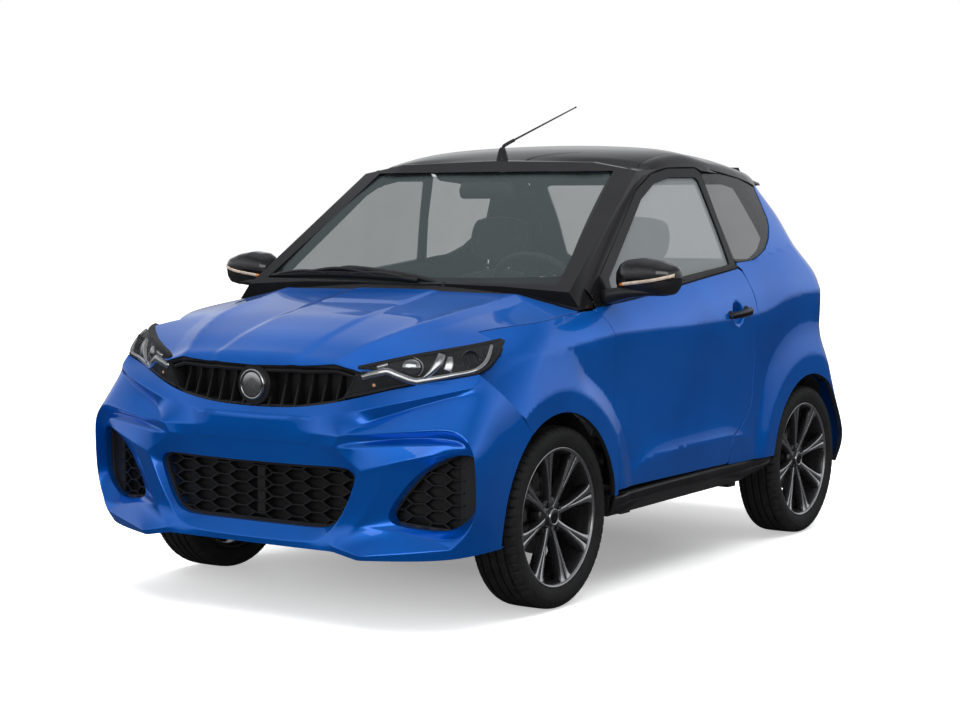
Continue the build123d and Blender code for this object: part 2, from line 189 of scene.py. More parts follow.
def mono(pts):
    """Curve through (u, v) points that never overshoots, flat outside them."""
    u = np.array([p[0] for p in pts], float); v = np.array([p[1] for p in pts], float)
    h = np.diff(u); s = np.diff(v) / h
    m = np.zeros(len(u)); m[0], m[-1] = s[0], s[-1]
    for i in range(1, len(u) - 1):
        if s[i - 1] * s[i] > 0:
            w1, w2 = 2 * h[i] + h[i - 1], h[i] + 2 * h[i - 1]
            m[i] = (w1 + w2) / (w1 / s[i - 1] + w2 / s[i])
    def f(q):
        q = np.clip(np.asarray(q, float), u[0], u[-1])
        i = np.clip(np.searchsorted(u, q) - 1, 0, len(u) - 2)
        t = (q - u[i]) / h[i]
        return ((2 * t ** 3 - 3 * t ** 2 + 1) * v[i] + (t ** 3 - 2 * t ** 2 + t) * h[i] * m[i]
                + (-2 * t ** 3 + 3 * t ** 2) * v[i + 1] + (t ** 3 - t ** 2) * h[i] * m[i + 1])
    return f


def step(q, a, b):
    t = np.clip((np.asarray(q, float) - a) / (b - a), 0, 1)
    return t * t * t * (t * (6 * t - 15) + 10)


def soft_ramp(t, k):
    """max(t, 0) with its corner rounded over +-k."""
    t = np.asarray(t, float)
    return np.where(t > k, t, np.where(t < -k, 0.0, (t + k) ** 2 / (4 * k)))


# ================================================================= materials
def inp(node, *names):
    for n in names:
        if n in node.inputs:
            return node.inputs[n]
    raise KeyError(names)


class Mat:
    """A node material: helper around one Principled shader."""
    def __init__(self, name, color=(0.5, 0.5, 0.5), rough=0.5, metal=0.0, coat=0.0, coat_rough=0.03, ior=1.5, spec=None):
        self.m = bpy.data.materials.new(name)
        self.m.use_nodes = True
        self.nt = self.m.node_tree
        self.b = self.nt.nodes["Principled BSDF"]
        self.b.inputs["Base Color"].default_value = (*color, 1)
        self.b.inputs["Roughness"].default_value = rough
        self.b.inputs["Metallic"].default_value = metal
        inp(self.b, "Coat Weight", "Clearcoat").default_value = coat
        inp(self.b, "Coat Roughness", "Clearcoat Roughness").default_value = coat_rough
        self.b.inputs["IOR"].default_value = ior
        if spec is not None:
            inp(self.b, "Specular IOR Level", "Specular").default_value = spec
        self.m.diffuse_color = (*color, 1)

    def new(self, kind, **vals):
        n = self.nt.nodes.new(kind)
        for k, v in vals.items():
            if k in n.inputs:
                n.inputs[k].default_value = v
            else:
                setattr(n, k, v)
        return n

    def link(self, a, b):
        self.nt.links.new(a, b)

    def coords(self):
        return self.new("ShaderNodeTexCoord").outputs["Object"]

    def noise(self, scale, detail=3.0, rough=0.5, vec=None, stretch=None):
        n = self.new("ShaderNodeTexNoise")
        n.inputs["Scale"].default_value = scale
        n.inputs["Detail"].default_value = detail
        n.inputs["Roughness"].default_value = rough
        v = vec or self.coords()
        if stretch:
            mp = self.new("ShaderNodeMapping")
            mp.inputs["Scale"].default_value = stretch
            self.link(v, mp.inputs["Vector"]); v = mp.outputs["Vector"]
        self.link(v, n.inputs["Vector"])
        return n.outputs["Fac"] if "Fac" in n.outputs else n.outputs[0]

    def ramp(self, fac, stops):
        r = self.new("ShaderNodeValToRGB")
        cr = r.color_ramp
        cr.elements[0].position, cr.elements[0].color = stops[0][0], (*stops[0][1], 1)
        cr.elements[1].position, cr.elements[1].color = stops[-1][0], (*stops[-1][1], 1)
        for p, c in stops[1:-1]:
            e = cr.elements.new(p); e.color = (*c, 1)
        self.link(fac, r.inputs["Fac"])
        return r.outputs["Color"]

    def range(self, fac, lo, hi, a=0.0, b=1.0):
        r = self.new("ShaderNodeMapRange")
        r.inputs["From Min"].default_value, r.inputs["From Max"].default_value = a, b
        r.inputs["To Min"].default_value, r.inputs["To Max"].default_value = lo, hi
        self.link(fac, r.inputs["Value"])
        return r.outputs["Result"]

    def bump(self, fac, strength=0.2, distance=0.001, to="Normal", after=None):
        b = self.new("ShaderNodeBump")
        b.inputs["Strength"].default_value = strength
        b.inputs["Distance"].default_value = distance
        self.link(fac, b.inputs["Height"])
        if after is not None:
            self.link(after, b.inputs["Normal"])
        if to:
            self.link(b.outputs["Normal"], self.b.inputs[to])
        return b.outputs["Normal"]

    def math(self, op, a, b=None):
        n = self.new("ShaderNodeMath", operation=op)
        for i, v in enumerate((a, b)):
            if v is None:
                continue
            if isinstance(v, (int, float)):
                n.inputs[i].default_value = v
            else:
                self.link(v, n.inputs[i])
        return n.outputs[0]

    def done(self):
        return self.m


def paint(name, deep, mid, flake_scale=2600.0):
    """Metallic base coat with fine flakes under a clear coat, its tone mottled at random."""
    m = Mat(name, mid, rough=0.36, metal=0.74, coat=1.0, coat_rough=0.03, spec=0.0)
    big = m.noise(2.5, 2.0, 0.5)
    m.link(m.ramp(big, [(0.30, deep), (0.72, mid)]), m.b.inputs["Base Color"])
    v = m.new("ShaderNodeTexVoronoi")
    v.inputs["Scale"].default_value = flake_scale
    m.link(m.coords(), v.inputs["Vector"])
    flake = v.outputs["Distance"]
    m.bump(flake, 0.045, 0.0002)
    peel = m.noise(140.0, 2.0, 0.5)
    m.bump(peel, 0.010, 0.0006, to=None)
    bb = [n for n in m.nt.nodes if n.type == "BUMP"][-1]
    m.link(bb.outputs["Normal"], inp(m.b, "Coat Normal", "Clearcoat Normal"))
    m.link(m.range(m.noise(9.0, 4.0, 0.6), 0.27, 0.34), m.b.inputs["Roughness"])
    return m.done()


def gloss(name, color=(0.006, 0.006, 0.007), rough=0.10, coat=0.35, spec=0.5):
    m = Mat(name, color, rough=rough, coat=coat, coat_rough=0.02, spec=spec)
    m.link(m.ramp(m.noise(3.0, 3.0, 0.5), [(0.3, tuple(c * 0.8 for c in color)), (0.75, tuple(c * 1.5 for c in color))]), m.b.inputs["Base Color"])
    m.link(m.range(m.noise(30.0, 5.0, 0.6), rough * 0.7, rough * 1.5), m.b.inputs["Roughness"])
    m.bump(m.noise(160.0, 2.0), 0.012, 0.0005)
    return m.done()


def grain(name, color=(0.012, 0.012, 0.013), rough=0.48, scale=900.0, strength=0.35):
    """Moulded plastic with a fine leather grain."""
    m = Mat(name, color, rough=rough)
    m.link(m.ramp(m.noise(6.0, 4.0, 0.6), [(0.3, tuple(c * 0.75 for c in color)), (0.75, tuple(c * 1.35 for c in color))]), m.b.inputs["Base Color"])
    v = m.new("ShaderNodeTexVoronoi"); v.inputs["Scale"].default_value = scale
    m.link(m.coords(), v.inputs["Vector"])
    m.bump(v.outputs["Distance"], strength, 0.0004)
    m.link(m.range(m.noise(14.0, 5.0, 0.65), rough - 0.06, rough + 0.10), m.b.inputs["Roughness"])
    return m.done()


def metal(name, color=(0.55, 0.55, 0.56), rough=0.28, brushed=None, wear=None):
    m = Mat(name, color, rough=rough, metal=1.0)
    stretch = brushed or (1, 1, 1)
    n = m.noise(120.0, 4.0, 0.6, stretch=stretch)
    m.link(m.ramp(n, [(0.25, tuple(c * 0.82 for c in color)), (0.8, tuple(min(1, c * 1.12) for c in color))]), m.b.inputs["Base Color"])
    m.link(m.range(n, rough * 0.8, rough * 1.3), m.b.inputs["Roughness"])
    m.bump(n, 0.05, 0.0003)
    return m.done()


def rusty(name, color=(0.10, 0.095, 0.09)):
    m = Mat(name, color, rough=0.55, metal=0.7)
    n = m.noise(18.0, 6.0, 0.65)
    m.link(m.ramp(n, [(0.35, color), (0.55, tuple(c * 1.6 for c in color)), (0.74, (0.16, 0.085, 0.05))]), m.b.inputs["Base Color"])
    m.link(m.range(n, 0.4, 0.8), m.b.inputs["Roughness"])
    m.bump(m.noise(300.0, 4.0), 0.25, 0.0006)
    return m.done()


def rubber(name, color=(0.0095, 0.0095, 0.010), rough=0.62):
    m = Mat(name, color, rough=rough, spec=0.35)
    n = m.noise(26.0, 5.0, 0.65)
    m.link(m.ramp(n, [(0.3, tuple(c * 0.8 for c in color)), (0.8, tuple(c * 1.7 for c in color))]), m.b.inputs["Base Color"])
    m.link(m.range(n, rough - 0.08, rough + 0.1), m.b.inputs["Roughness"])
    m.bump(m.noise(700.0, 3.0, 0.6), 0.22, 0.0005)
    return m.done()


def glass(name, tint=(0.62, 0.66, 0.66), alpha=0.35, rough=0.0):
    """Thin car glass: mostly see-through, tinted, with a clear reflection."""
    m = Mat(name, tint, rough=rough, spec=0.5)
    nt = m.nt
    out = [n for n in nt.nodes if n.type == "OUTPUT_MATERIAL"][0]
    m.b.inputs["Base Color"].default_value = (*tint, 1)
    m.b.inputs["Roughness"].default_value = 0.02
    inp(m.b, "Coat Weight", "Clearcoat").default_value = 0.0
    m.bump(m.noise(2.2, 1.0, 0.4), 0.006, 0.002)
    # faint dust keeps the pane from being one flat value
    dust = m.range(m.noise(7.0, 5.0, 0.6), alpha * 0.94, alpha * 1.06)
    m.link(dust, m.b.inputs["Alpha"])
    return m.done()


def cloth(name, a, b, scale=1400.0, rough=0.88, strength=0.5):
    """Woven seat cloth: two crossed sets of yarns and a slow mottling."""
    m = Mat(name, a, rough=rough)
    try:
        m.b.inputs["Sheen Weight"].default_value = 0.25
    except KeyError:
        pass
    co = m.coords()
    sep = m.new("ShaderNodeSeparateXYZ"); m.link(co, sep.inputs[0])
    s1 = m.math("SINE", m.math("MULTIPLY", m.math("ADD", sep.outputs[0], m.math("MULTIPLY", sep.outputs[1], 0.35)), scale * 2))
    s2 = m.math("SINE", m.math("MULTIPLY", m.math("ADD", sep.outputs[2], m.math("MULTIPLY", sep.outputs[1], 0.8)), scale * 2))
    w = m.math("MULTIPLY", s1, s2)
    fac = m.range(w, 0, 1, -1, 1)
    m.link(m.ramp(fac, [(0.15, a), (0.85, b)]), m.b.inputs["Base Color"])
    m.bump(fac, strength, 0.0005)
    m.link(m.range(m.noise(12.0, 4.0), rough - 0.08, min(1, rough + 0.08)), m.b.inputs["Roughness"])
    return m.done()


def leather(name, color=(0.018, 0.018, 0.019), rough=0.5, scale=320.0):
    m = Mat(name, color, rough=rough)
    v = m.new("ShaderNodeTexVoronoi", feature="DISTANCE_TO_EDGE"); v.inputs["Scale"].default_value = scale
    m.link(m.coords(), v.inputs["Vector"])
    edge = m.range(v.outputs["Distance"], 0, 1, 0.0, 0.12)
    m.link(m.ramp(edge, [(0.0, tuple(c * 0.6 for c in color)), (0.6, tuple(c * 1.15 for c in color))]), m.b.inputs["Base Color"])
    m.bump(edge, 0.3, 0.0004)
    m.link(m.range(m.noise(10.0, 4.0), rough - 0.08, rough + 0.1), m.b.inputs["Roughness"])
    return m.done()


M = {}
M["paint"] = paint("blue_paint", (0.0012, 0.138, 0.65), (0.0018, 0.185, 0.82))
M["gloss"] = gloss("gloss_black")
M["frame"] = gloss("frame_black", (0.005, 0.005, 0.006), 0.14, coat=0.16, spec=0.22)
M["shell"] = gloss("shell_black", (0.006, 0.006, 0.007), 0.05, coat=1.0)
M["piano"] = gloss("piano_black", (0.017, 0.017, 0.018), 0.20)
M["plastic"] = grain("black_plastic")
M["satin"] = grain("satin_black", (0.010, 0.010, 0.011), 0.34, 1500.0, 0.12)
M["mesh"] = grain("grille_black", (0.009, 0.009, 0.010), 0.36, 1100.0, 0.15)
M["trim"] = grain("cabin_trim", (0.022, 0.023, 0.025), 0.55, 700.0, 0.4)
M["rubber"] = rubber("tyre_rubber")
# dark rubber: the wiper blade's edge, and also painted shade on the turned-in flanges of painted panels
M["seal"] = rubber("seal_rubber", (0.008, 0.008, 0.008), 0.5)
M["steel"] = rusty("chassis_steel")
M["disc"] = metal("brake_disc", (0.42, 0.42, 0.42), 0.34, (1, 1, 1))
M["machined"] = metal("machined_alloy", (0.72, 0.72, 0.735), 0.22, (1, 1, 1))
M["wheel_black"] = gloss("wheel_black", (0.012, 0.012, 0.013), 0.26)
M["silver"] = metal("lamp_silver", (0.68, 0.69, 0.70), 0.22)
M["chrome"] = metal("bright_trim", (0.80, 0.80, 0.80), 0.10)
M["dark_chrome"] = metal("dark_bright_trim", (0.10, 0.10, 0.11), 0.18)
M["lamp_black"] = gloss("lamp_black", (0.007, 0.007, 0.008), 0.42, coat=0.05, spec=0.25)
M["glass"] = glass("cabin_glass", (0.088, 0.112, 0.114), 0.40)
# door panes: pale grey and mostly opaque, painted brightness standing in for the bright backdrop seen through the glass
M["door_glass"] = glass("door_glass", (0.25, 0.275, 0.28), 0.68)
M["privacy"] = glass("privacy_glass", (0.060, 0.064, 0.066), 0.62)
M["lens"] = glass("clear_lens", (0.10, 0.11, 0.12), 0.07)
M["frit"] = gloss("glass_frit", (0.012, 0.015, 0.016), 0.06)
M["cloth"] = cloth("seat_cloth", (0.016, 0.017, 0.020), (0.045, 0.048, 0.055))
M["leather"] = leather("seat_leather")
M["carpet"] = cloth("boot_carpet", (0.010, 0.010, 0.011), (0.030, 0.030, 0.032), 500.0, 0.95, 0.8)
M["engine"] = metal("engine_alloy", (0.30, 0.30, 0.31), 0.42)


def lamp_glass(name, color, alpha):
    m = Mat(name, color, rough=0.06, coat=1.0)
    v = m.new("ShaderNodeTexVoronoi"); v.inputs["Scale"].default_value = 240.0
    m.link(m.coords(), v.inputs["Vector"])
    m.bump(v.outputs["Distance"], 0.25, 0.0006)
    m.link(m.range(m.noise(40.0, 2.0), alpha * 0.9, min(1.0, alpha * 1.05)), m.b.inputs["Alpha"])
    m.link(m.ramp(m.noise(60.0), [(0.3, tuple(c * 0.75 for c in color)), (0.8, tuple(min(1, c * 1.2) for c in color))]), m.b.inputs["Base Color"])
    return m.done()


M["red"] = lamp_glass("red_lens", (0.42, 0.006, 0.008), 0.96)
M["amber"] = lamp_glass("amber_lens", (0.85, 0.26, 0.03), 0.9)
M["bulb"] = lamp_glass("bulb_amber", (0.90, 0.42, 0.22), 1.0)


# ================================================================= meshes
def obj_from(name, verts, faces, mats, idx=None, normals=None, smooth=True):
    """Mesh object from millimetre vertices."""
    me = bpy.data.meshes.new(name)
    v = np.asarray(verts, float) * K
    me.from_pydata([tuple(p) for p in v], [], [tuple(int(i) for i in f) for f in faces])
    for m in (mats if isinstance(mats, (list, tuple)) else [mats]):
        me.materials.append(M[m] if isinstance(m, str) else m)
    if idx is not None:
        me.polygons.foreach_set("material_index", np.asarray(idx, np.int32))
    me.polygons.foreach_set("use_smooth", np.full(len(me.polygons), smooth))
    me.update()
    if normals is not None:
        me.normals_split_custom_set_from_vertices([tuple(n) for n in normals])
    o = bpy.data.objects.new(name, me)
    bpy.context.scene.collection.objects.link(o)
    return o


def apply_mods(o):
    bpy.context.view_layer.update()
    dg = bpy.context.evaluated_depsgraph_get()
    me = bpy.data.meshes.new_from_object(o.evaluated_get(dg), preserve_all_data_layers=True, depsgraph=dg)
    old = o.data
    o.modifiers.clear()
    o.data = me
    me.name = o.name
    return o


def join(name, objs):
    """One object of several, materials kept."""
    bm_v, bm_f, bm_m, mats, smooth = [], [], [], [], []
    for o in objs:
        base = len(bm_v)
        slots = []
        for m in o.data.materials:
            if m not in mats:
                mats.append(m)
            slots.append(mats.index(m))
        mw = o.matrix_world
        bm_v += [tuple(mw @ v.co) for v in o.data.vertices]
        flip = mw.determinant() < 0
        for p in o.data.polygons:
            vs = [base + i for i in p.vertices]
            bm_f.append(vs[::-1] if flip else vs)
            bm_m.append(slots[p.material_index] if slots else 0)
            smooth.append(p.use_smooth)
    me = bpy.data.meshes.new(name)
    me.from_pydata(bm_v, [], bm_f)
    for m in mats:
        me.materials.append(m)
    me.polygons.foreach_set("material_index", np.array(bm_m, np.int32))
    me.polygons.foreach_set("use_smooth", np.array(smooth))
    me.update()
    for o in objs:
        bpy.data.objects.remove(o)
    o = bpy.data.objects.new(name, me)
    bpy.context.scene.collection.objects.link(o)
    return o


def sharpen(o, angle=35):
    """Edges sharper than angle are shaded sharp."""
    me = o.data
    bm = bmesh.new(); bm.from_mesh(me)
    lim = math.radians(angle)
    for e in bm.edges:
        e.smooth = not (len(e.link_faces) == 2 and e.calc_face_angle(0) > lim)
    bm.to_mesh(me); bm.free()
    return o


def mirrored(o, name):
    """The same piece on the other side of the car."""
    me = o.data.copy(); me.name = name
    n = len(me.vertices)
    co = np.empty(n * 3); me.vertices.foreach_get("co", co)
    co = co.reshape(-1, 3); co[:, 0] *= -1
    me.vertices.foreach_set("co", co.ravel())
    me.flip_normals()
    me.update()
    q = bpy.data.objects.new(name, me)
    bpy.context.scene.collection.objects.link(q)
    return q


PIECES = []


def put(o, body="root", slot=None, replaces=(), padded=None):
    """The piece rides on its body and stands for its CAD nodes."""
    if replaces:
        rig.replaces(o, *replaces)
    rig.ride(o, body)
    if slot:
        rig.slot(o, slot)
    if padded is not None:
        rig.padded(o, fill=padded)
    PIECES.append(o)
    return o


def inside(px, py, poly):
    """Which points are in the polygon."""
    poly = np.asarray(poly, float)
    x1, y1 = poly[:, 0], poly[:, 1]
    x2, y2 = np.roll(x1, -1), np.roll(y1, -1)
    r = np.zeros(len(px), bool)
    for a, b, c, d in zip(x1, y1, x2, y2):
        m = ((b > py) != (d > py))
        if m.any():
            xx = (c - a) * (py - b) / (d - b + 1e-12) + a
            r ^= m & (px < xx)
    return r


def refine(pts, h, closed=True):
    """Polygon or line with its edges cut to at most h."""
    out = []
    n = len(pts)
    for i in range(n if closed else n - 1):
        a, b = np.array(pts[i], float), np.array(pts[(i + 1) % n], float)
        k = max(1, int(math.ceil(np.hypot(*(b - a)) / h)))
        out += [tuple(a + (b - a) * j / k) for j in range(k)]
    if not closed:
        out.append(tuple(pts[-1]))
    return out


def rounded(pts, r, n=5, closed=True):
    """Polygon with its corners rounded; r is one radius or one per corner."""
    out = []
    m = len(pts)
    for i in range(m):
        p = np.array(pts[i], float)
        if not closed and i in (0, m - 1):
            out.append(tuple(p)); continue
        a, b = np.array(pts[i - 1], float), np.array(pts[(i + 1) % m], float)
        rr = r[i] if isinstance(r, (list, tuple)) else r
        da, db = a - p, b - p
        la, lb = np.hypot(*da), np.hypot(*db)
        if rr <= 0 or la < 1e-6 or lb < 1e-6:
            out.append(tuple(p)); continue
        cosang = np.clip(np.dot(da, db) / la / lb, -1, 1)
        ang = math.acos(cosang)
        if ang > math.radians(176):
            out.append(tuple(p)); continue
        t = min(rr / math.tan(ang / 2), 0.45 * la, 0.45 * lb)
        p0, p1 = p + da / la * t, p + db / lb * t
        for j in range(n + 1):
            s = j / n
            out.append(tuple((1 - s) ** 2 * p0 + 2 * s * (1 - s) * p + s * s * p1))
    return out


def offset_loop(loop, d):
    """Closed loop moved outwards by d (to its right when it runs anticlockwise)."""
    p = np.asarray(loop, float)
    area = 0.5 * np.sum(p[:, 0] * np.roll(p[:, 1], -1) - np.roll(p[:, 0], -1) * p[:, 1])
    e1 = p - np.roll(p, 1, 0); e2 = np.roll(p, -1, 0) - p
    e1 /= np.maximum(np.hypot(e1[:, 0], e1[:, 1]), 1e-9)[:, None]
    e2 /= np.maximum(np.hypot(e2[:, 0], e2[:, 1]), 1e-9)[:, None]
    n = np.stack([e1[:, 1] + e2[:, 1], -(e1[:, 0] + e2[:, 0])], 1)
    l = np.maximum(np.hypot(n[:, 0], n[:, 1]), 0.6)
    n = 2 * n / (l ** 2)[:, None]
    sgn = 1 if area > 0 else -1
    return p + n * d * sgn


def panel(name, outline, surf, holes=(), creases=(), h=14.0, depth=14.0, edge=1.6, inset=0.0,
          mats="paint", flip=False, back=None):
    """A sheet-metal panel: outline (u, v) laid on surf(u, v) -> points (n, 3) and unit normals (n, 3),
    with rolled-in edges.  creases are open lines that the mesh edges follow."""
    outer = refine(outline, h)
    if inset:
        outer = [tuple(p) for p in offset_loop(outer, -inset)]
    loops = [outer] + [refine(q, h) if len(q) < 400 else q for q in holes]
    pts, edges, walls = [], [], []
    spans = []
    for L in loops:
        b = len(pts)
        pts += L
        edges += [(b + i, b + (i + 1) % len(L)) for i in range(len(L))]
        spans.append((b, len(L)))
    for c in creases:
        c = refine(c, h, closed=False)
        cx = np.array([p[0] for p in c]); cy = np.array([p[1] for p in c])
        ok = inside(cx, cy, outer)
        for hole in loops[1:]:
            ok &= ~inside(cx, cy, hole)
        b = len(pts)
        pts += c
        edges += [(b + i, b + i + 1) for i in range(len(c) - 1) if ok[i] and ok[i + 1]]
    o = np.array(outer)
    lo, hi = o.min(0), o.max(0)
    gx = np.arange(lo[0], hi[0] + h, h); gy = np.arange(lo[1], hi[1] + h * 0.866, h * 0.866)
    G = np.array([(x + (h / 2 if j % 2 else 0), y) for j, y in enumerate(gy) for x in gx])
    ok = inside(G[:, 0], G[:, 1], outer)
    for hole in loops[1:]:
        ok &= ~inside(G[:, 0], G[:, 1], hole)
    G = G[ok]
    P = np.array(pts)
    keep = np.ones(len(G), bool)
    for s in range(0, len(P), 400):
        q = P[s:s + 400]
        d = np.hypot(G[:, None, 0] - q[None, :, 0], G[:, None, 1] - q[None, :, 1]).min(1)
        keep &= d > h * 0.55
    pts = pts + [tuple(g) for g in G[keep]]
    V, E, F, ov, oe, of_ = delaunay_2d_cdt([Vector(p) for p in pts], edges, [], 0, 1e-4)
    V = np.array([tuple(v) for v in V])
    F = np.array([f for f in F if len(f) == 3])
    c = V[F].mean(1)
    ok = inside(c[:, 0], c[:, 1], outer)
    for hole in loops[1:]:
        ok &= ~inside(c[:, 0], c[:, 1], hole)
    F = F[ok]
    # drop slivers outside the area rule
    used = np.unique(F)
    remap = -np.ones(len(V), int); remap[used] = np.arange(len(used))
    V = V[used]; F = remap[F]
    # where each input point went
    where = {}
    for new, olds in enumerate(ov):
        for q in olds:
            where[q] = remap[new]
    p3, nrm = surf(V[:, 0], V[:, 1])
    verts = [p3]; normals = [nrm]
    faces = [list(f) for f in F]
    # orientation: triangles face along nrm
    t = p3[F]
    fn = np.cross(t[:, 1] - t[:, 0], t[:, 2] - t[:, 0])
    flipmask = (fn * nrm[F[:, 0]]).sum(1) < 0
    faces = [f[::-1] if m else f for f, m in zip(faces, flipmask)]
    total = len(V)
    for li, (b, n) in enumerate(spans):
        L = np.array(loops[li])
        ids = [where.get(b + i, -1) for i in range(n)]
        if min(ids) < 0:
            keepi = [i for i in range(n) if ids[i] >= 0]
            if len(keepi) < 3:
                continue
            L = L[keepi]; ids = [ids[i] for i in keepi]; n = len(ids)
        sgn = 1 if li == 0 else -1
        rings = [ids]
        for off, dep in ((edge * 0.62, edge * 0.25), (edge, edge * 0.95), (edge, depth)):
            q = offset_loop(L, off * sgn)
            a, na = surf(L[:, 0], L[:, 1])
            a2, na2 = surf(q[:, 0], q[:, 1])
            ring = a2 - na * dep
            verts.append(ring); normals.append(np.zeros_like(ring))
            rings.append(list(range(total, total + n)))
            total += n
        area = 0.5 * np.sum(L[:, 0] * np.roll(L[:, 1], -1) - np.roll(L[:, 0], -1) * L[:, 1])
        for r0, r1 in zip(rings, rings[1:]):
            for i in range(n):
                j = (i + 1) % n
                if r1 is rings[-1]:
                    walls.append(len(faces))
                faces.append([r0[i], r1[i], r1[j], r0[j]])
    verts = np.concatenate(verts); normals = np.concatenate(normals)
    # painted panels turn dark rubber on the turned-in flange: painted shade in the gaps and lips round each panel,
    # where shade falls
    if mats == "paint":
        gap_shade_walls = set(walls)
        o = obj_from(name, verts, faces, ["paint", "seal"], idx=[1 if k in gap_shade_walls else 0 for k in range(len(faces))])
    else:
        o = obj_from(name, verts, faces, mats)
    bm = bmesh.new(); bm.from_mesh(o.data)
    bmesh.ops.recalc_face_normals(bm, faces=bm.faces)
    bm.faces.ensure_lookup_table()
    f0 = bm.faces[0]
    want = Vector(nrm[F[0][0]])
    if f0.normal.dot(want) < 0:
        bmesh.ops.reverse_faces(bm, faces=bm.faces)
    bm.to_mesh(o.data); bm.free()
    sharp_normals = normals.copy()
    o.data.polygons.foreach_set("use_smooth", np.full(len(o.data.polygons), True))
    o.data.normals_split_custom_set_from_vertices([tuple(n) for n in sharp_normals])
    return o


def surface(f, kind, eps=1.5, side=1):
    """Surface function with normals from a height function: kind 'side' x = f(y, z), 'top' z = f(x, y), 'front' y = f(x, z)."""
    def s(u, v):
        u = np.asarray(u, float); v = np.asarray(v, float)
        a = f(u, v)
        du = (f(u + eps, v) - f(u - eps, v)) / (2 * eps)
        dv = (f(u, v + eps) - f(u, v - eps)) / (2 * eps)
        one = np.ones_like(a)
        if kind == "side":
            p = np.stack([a, u, v], 1); n = np.stack([one, -du, -dv], 1)
        elif kind == "top":
            p = np.stack([u, v, a], 1); n = np.stack([-du, -dv, one], 1)
        elif kind == "front":
            p = np.stack([u, a, v], 1); n = np.stack([du, -one, dv], 1)
        else:
            p = np.stack([u, a, v], 1); n = np.stack([-du, one, -dv], 1)
        n /= np.linalg.norm(n, axis=1)[:, None]
        return p, n
    return s

# ================================================================= outside surfaces (mm)
Z_CREASE = curve([(-1300, 800), (-1000, 790), (-700, 817), (-560, 833), (-456, 837), (-90, 838), (228, 844), (449, 854), (573, 869), (755, 912), (888, 926), (1050, 930), (1300, 915), (1500, 880)])
X_CREASE = curve([(-1300, 700), (-1148, 710), (-1000, 719), (-876, 724), (-700, 730), (-560, 736), (-300, 739), (100, 740), (500, 739), (755, 737), (931, 735), (1500, 728)])
Z_BELT = curve([(-1300, 838), (-1148, 862), (-836, 893), (-709, 911), (-578, 924), (-400, 938), (-25, 979), (156, 1000), (388, 1026), (544, 1048), (700, 1070), (900, 1090), (1100, 1080), (1300, 1040), (1500, 1000)])
X_BELT = curve([(-1300, 672), (-1148, 688), (-836, 694), (-578, 694), (-25, 692), (388, 691), (700, 685), (900, 674), (1100, 660), (1500, 630)])
Z_LEDGE = curve([(-560, 335), (-510, 352), (-371, 403), (-225, 420), (-74, 425), (115, 431), (280, 430), (418, 410), (498, 385)])
LEDGE = mono([(-575, 0), (-470, 2.5), (-330, 9), (-150, 11), (200, 11), (360, 8), (470, 0)])
SLOPE = mono([(-700, 0.25), (350, 0.25), (600, 0.30), (830, 0.40), (1000, 0.52), (1200, 0.60)])
TAIL_Y0 = mono([(250, 1215), (355, 1205), (524, 1115), (680, 1035), (760, 1003), (850, 1000), (983, 985), (1093, 900), (1205, 850), (1334, 720), (1400, 690)])
FRONT_Y0 = mono([(150, -1060), (300, -1120), (500, -1150), (620, -1120), (700, -1060), (800, -960), (900, -860)])


def W(y, z):
    """Half width of the body side at (y, z)."""
    y = np.asarray(y, float); z = np.asarray(z, float)
    zc, xc, zb, xb = Z_CREASE(y), X_CREASE(y), Z_BELT(y), X_BELT(y)
    t = np.clip((z - zc) / np.maximum(zb - zc, 30.0), -1, 1)
    up = xc - (xc - xb) * (0.62 * t + 0.38 * t * t)
    tb = np.maximum(z - zb, 0)
    up = up - SLOPE(y) * tb - 0.00011 * tb * tb - 2.0 * step(tb, 0, 12)
    # below the shoulder crease
    d = np.maximum(zc - z, 0)
    low = xc - 9.5 * step(d, -40, 250)
    zl = Z_LEDGE(y); a = LEDGE(y)
    over = z - zl
    low = low + a * np.where(over > 0, np.exp(-np.abs(over) / 52.0), 1 - 0.0135 * np.abs(over))
    low = low - 0.13 * soft_ramp(340 - z, 12)
    w = np.where(z > zc, up, low)
    # wheel arch flares
    for yc, amp, d1, d2, lo, hi in ((-900.0, 19.0, 66.0, 158.0, 0.9, 1.25), (938.0, 19.0, 75.0, 208.0, 1.0, 1.05)):
        r = np.hypot(y - yc, z - 283.0) - 328.0
        ang = np.arctan2(z - 283.0, y - yc)                      # 0 to the rear, pi to the front
        if yc < 0:
            side_y = y - yc
            target = 746.0
            dd2 = 132 + 60 * step(ang, math.radians(65), math.radians(85))
        else:
            target = 746.0
            dd2 = 205 - 60 * step(ang, math.radians(120), math.radians(165)) - 50 * (1 - step(ang, math.radians(20), math.radians(60)))
        raise_ = np.maximum(target - w, 0) * step(z, 180, 380)
        if yc < 0:
            raise_ = raise_ * (1 - step(z, 780, 850)) * (1 - 0.0 * side_y)
        else:
            raise_ = raise_ * (1 - step(z, 800, 880))
        q = np.clip((r - d1) / (dd2 - d1), 0, 1)
        prof = np.where(r < d1, 1.0, 1 - (0.88 * q + 0.12 * (q * q * (3 - 2 * q))))
        w = w + raise_ * prof
    # corners in plan
    ty = y - TAIL_Y0(z)
    tau = 169.0
    w = w - np.where(ty > 0, 1.15 * (ty - tau * (1 - np.exp(-np.maximum(ty, 0) / tau))), 0)
    tf = FRONT_Y0(z) - y
    amount = mono([(200, 0.30), (500, 0.34), (640, 0.5), (740, 1.0), (850, 1.15)])(z)
    w = w - np.where(tf > 0, amount * (tf - 260.0 * (1 - np.exp(-np.maximum(tf, 0) / 260.0))), 0)
    return w


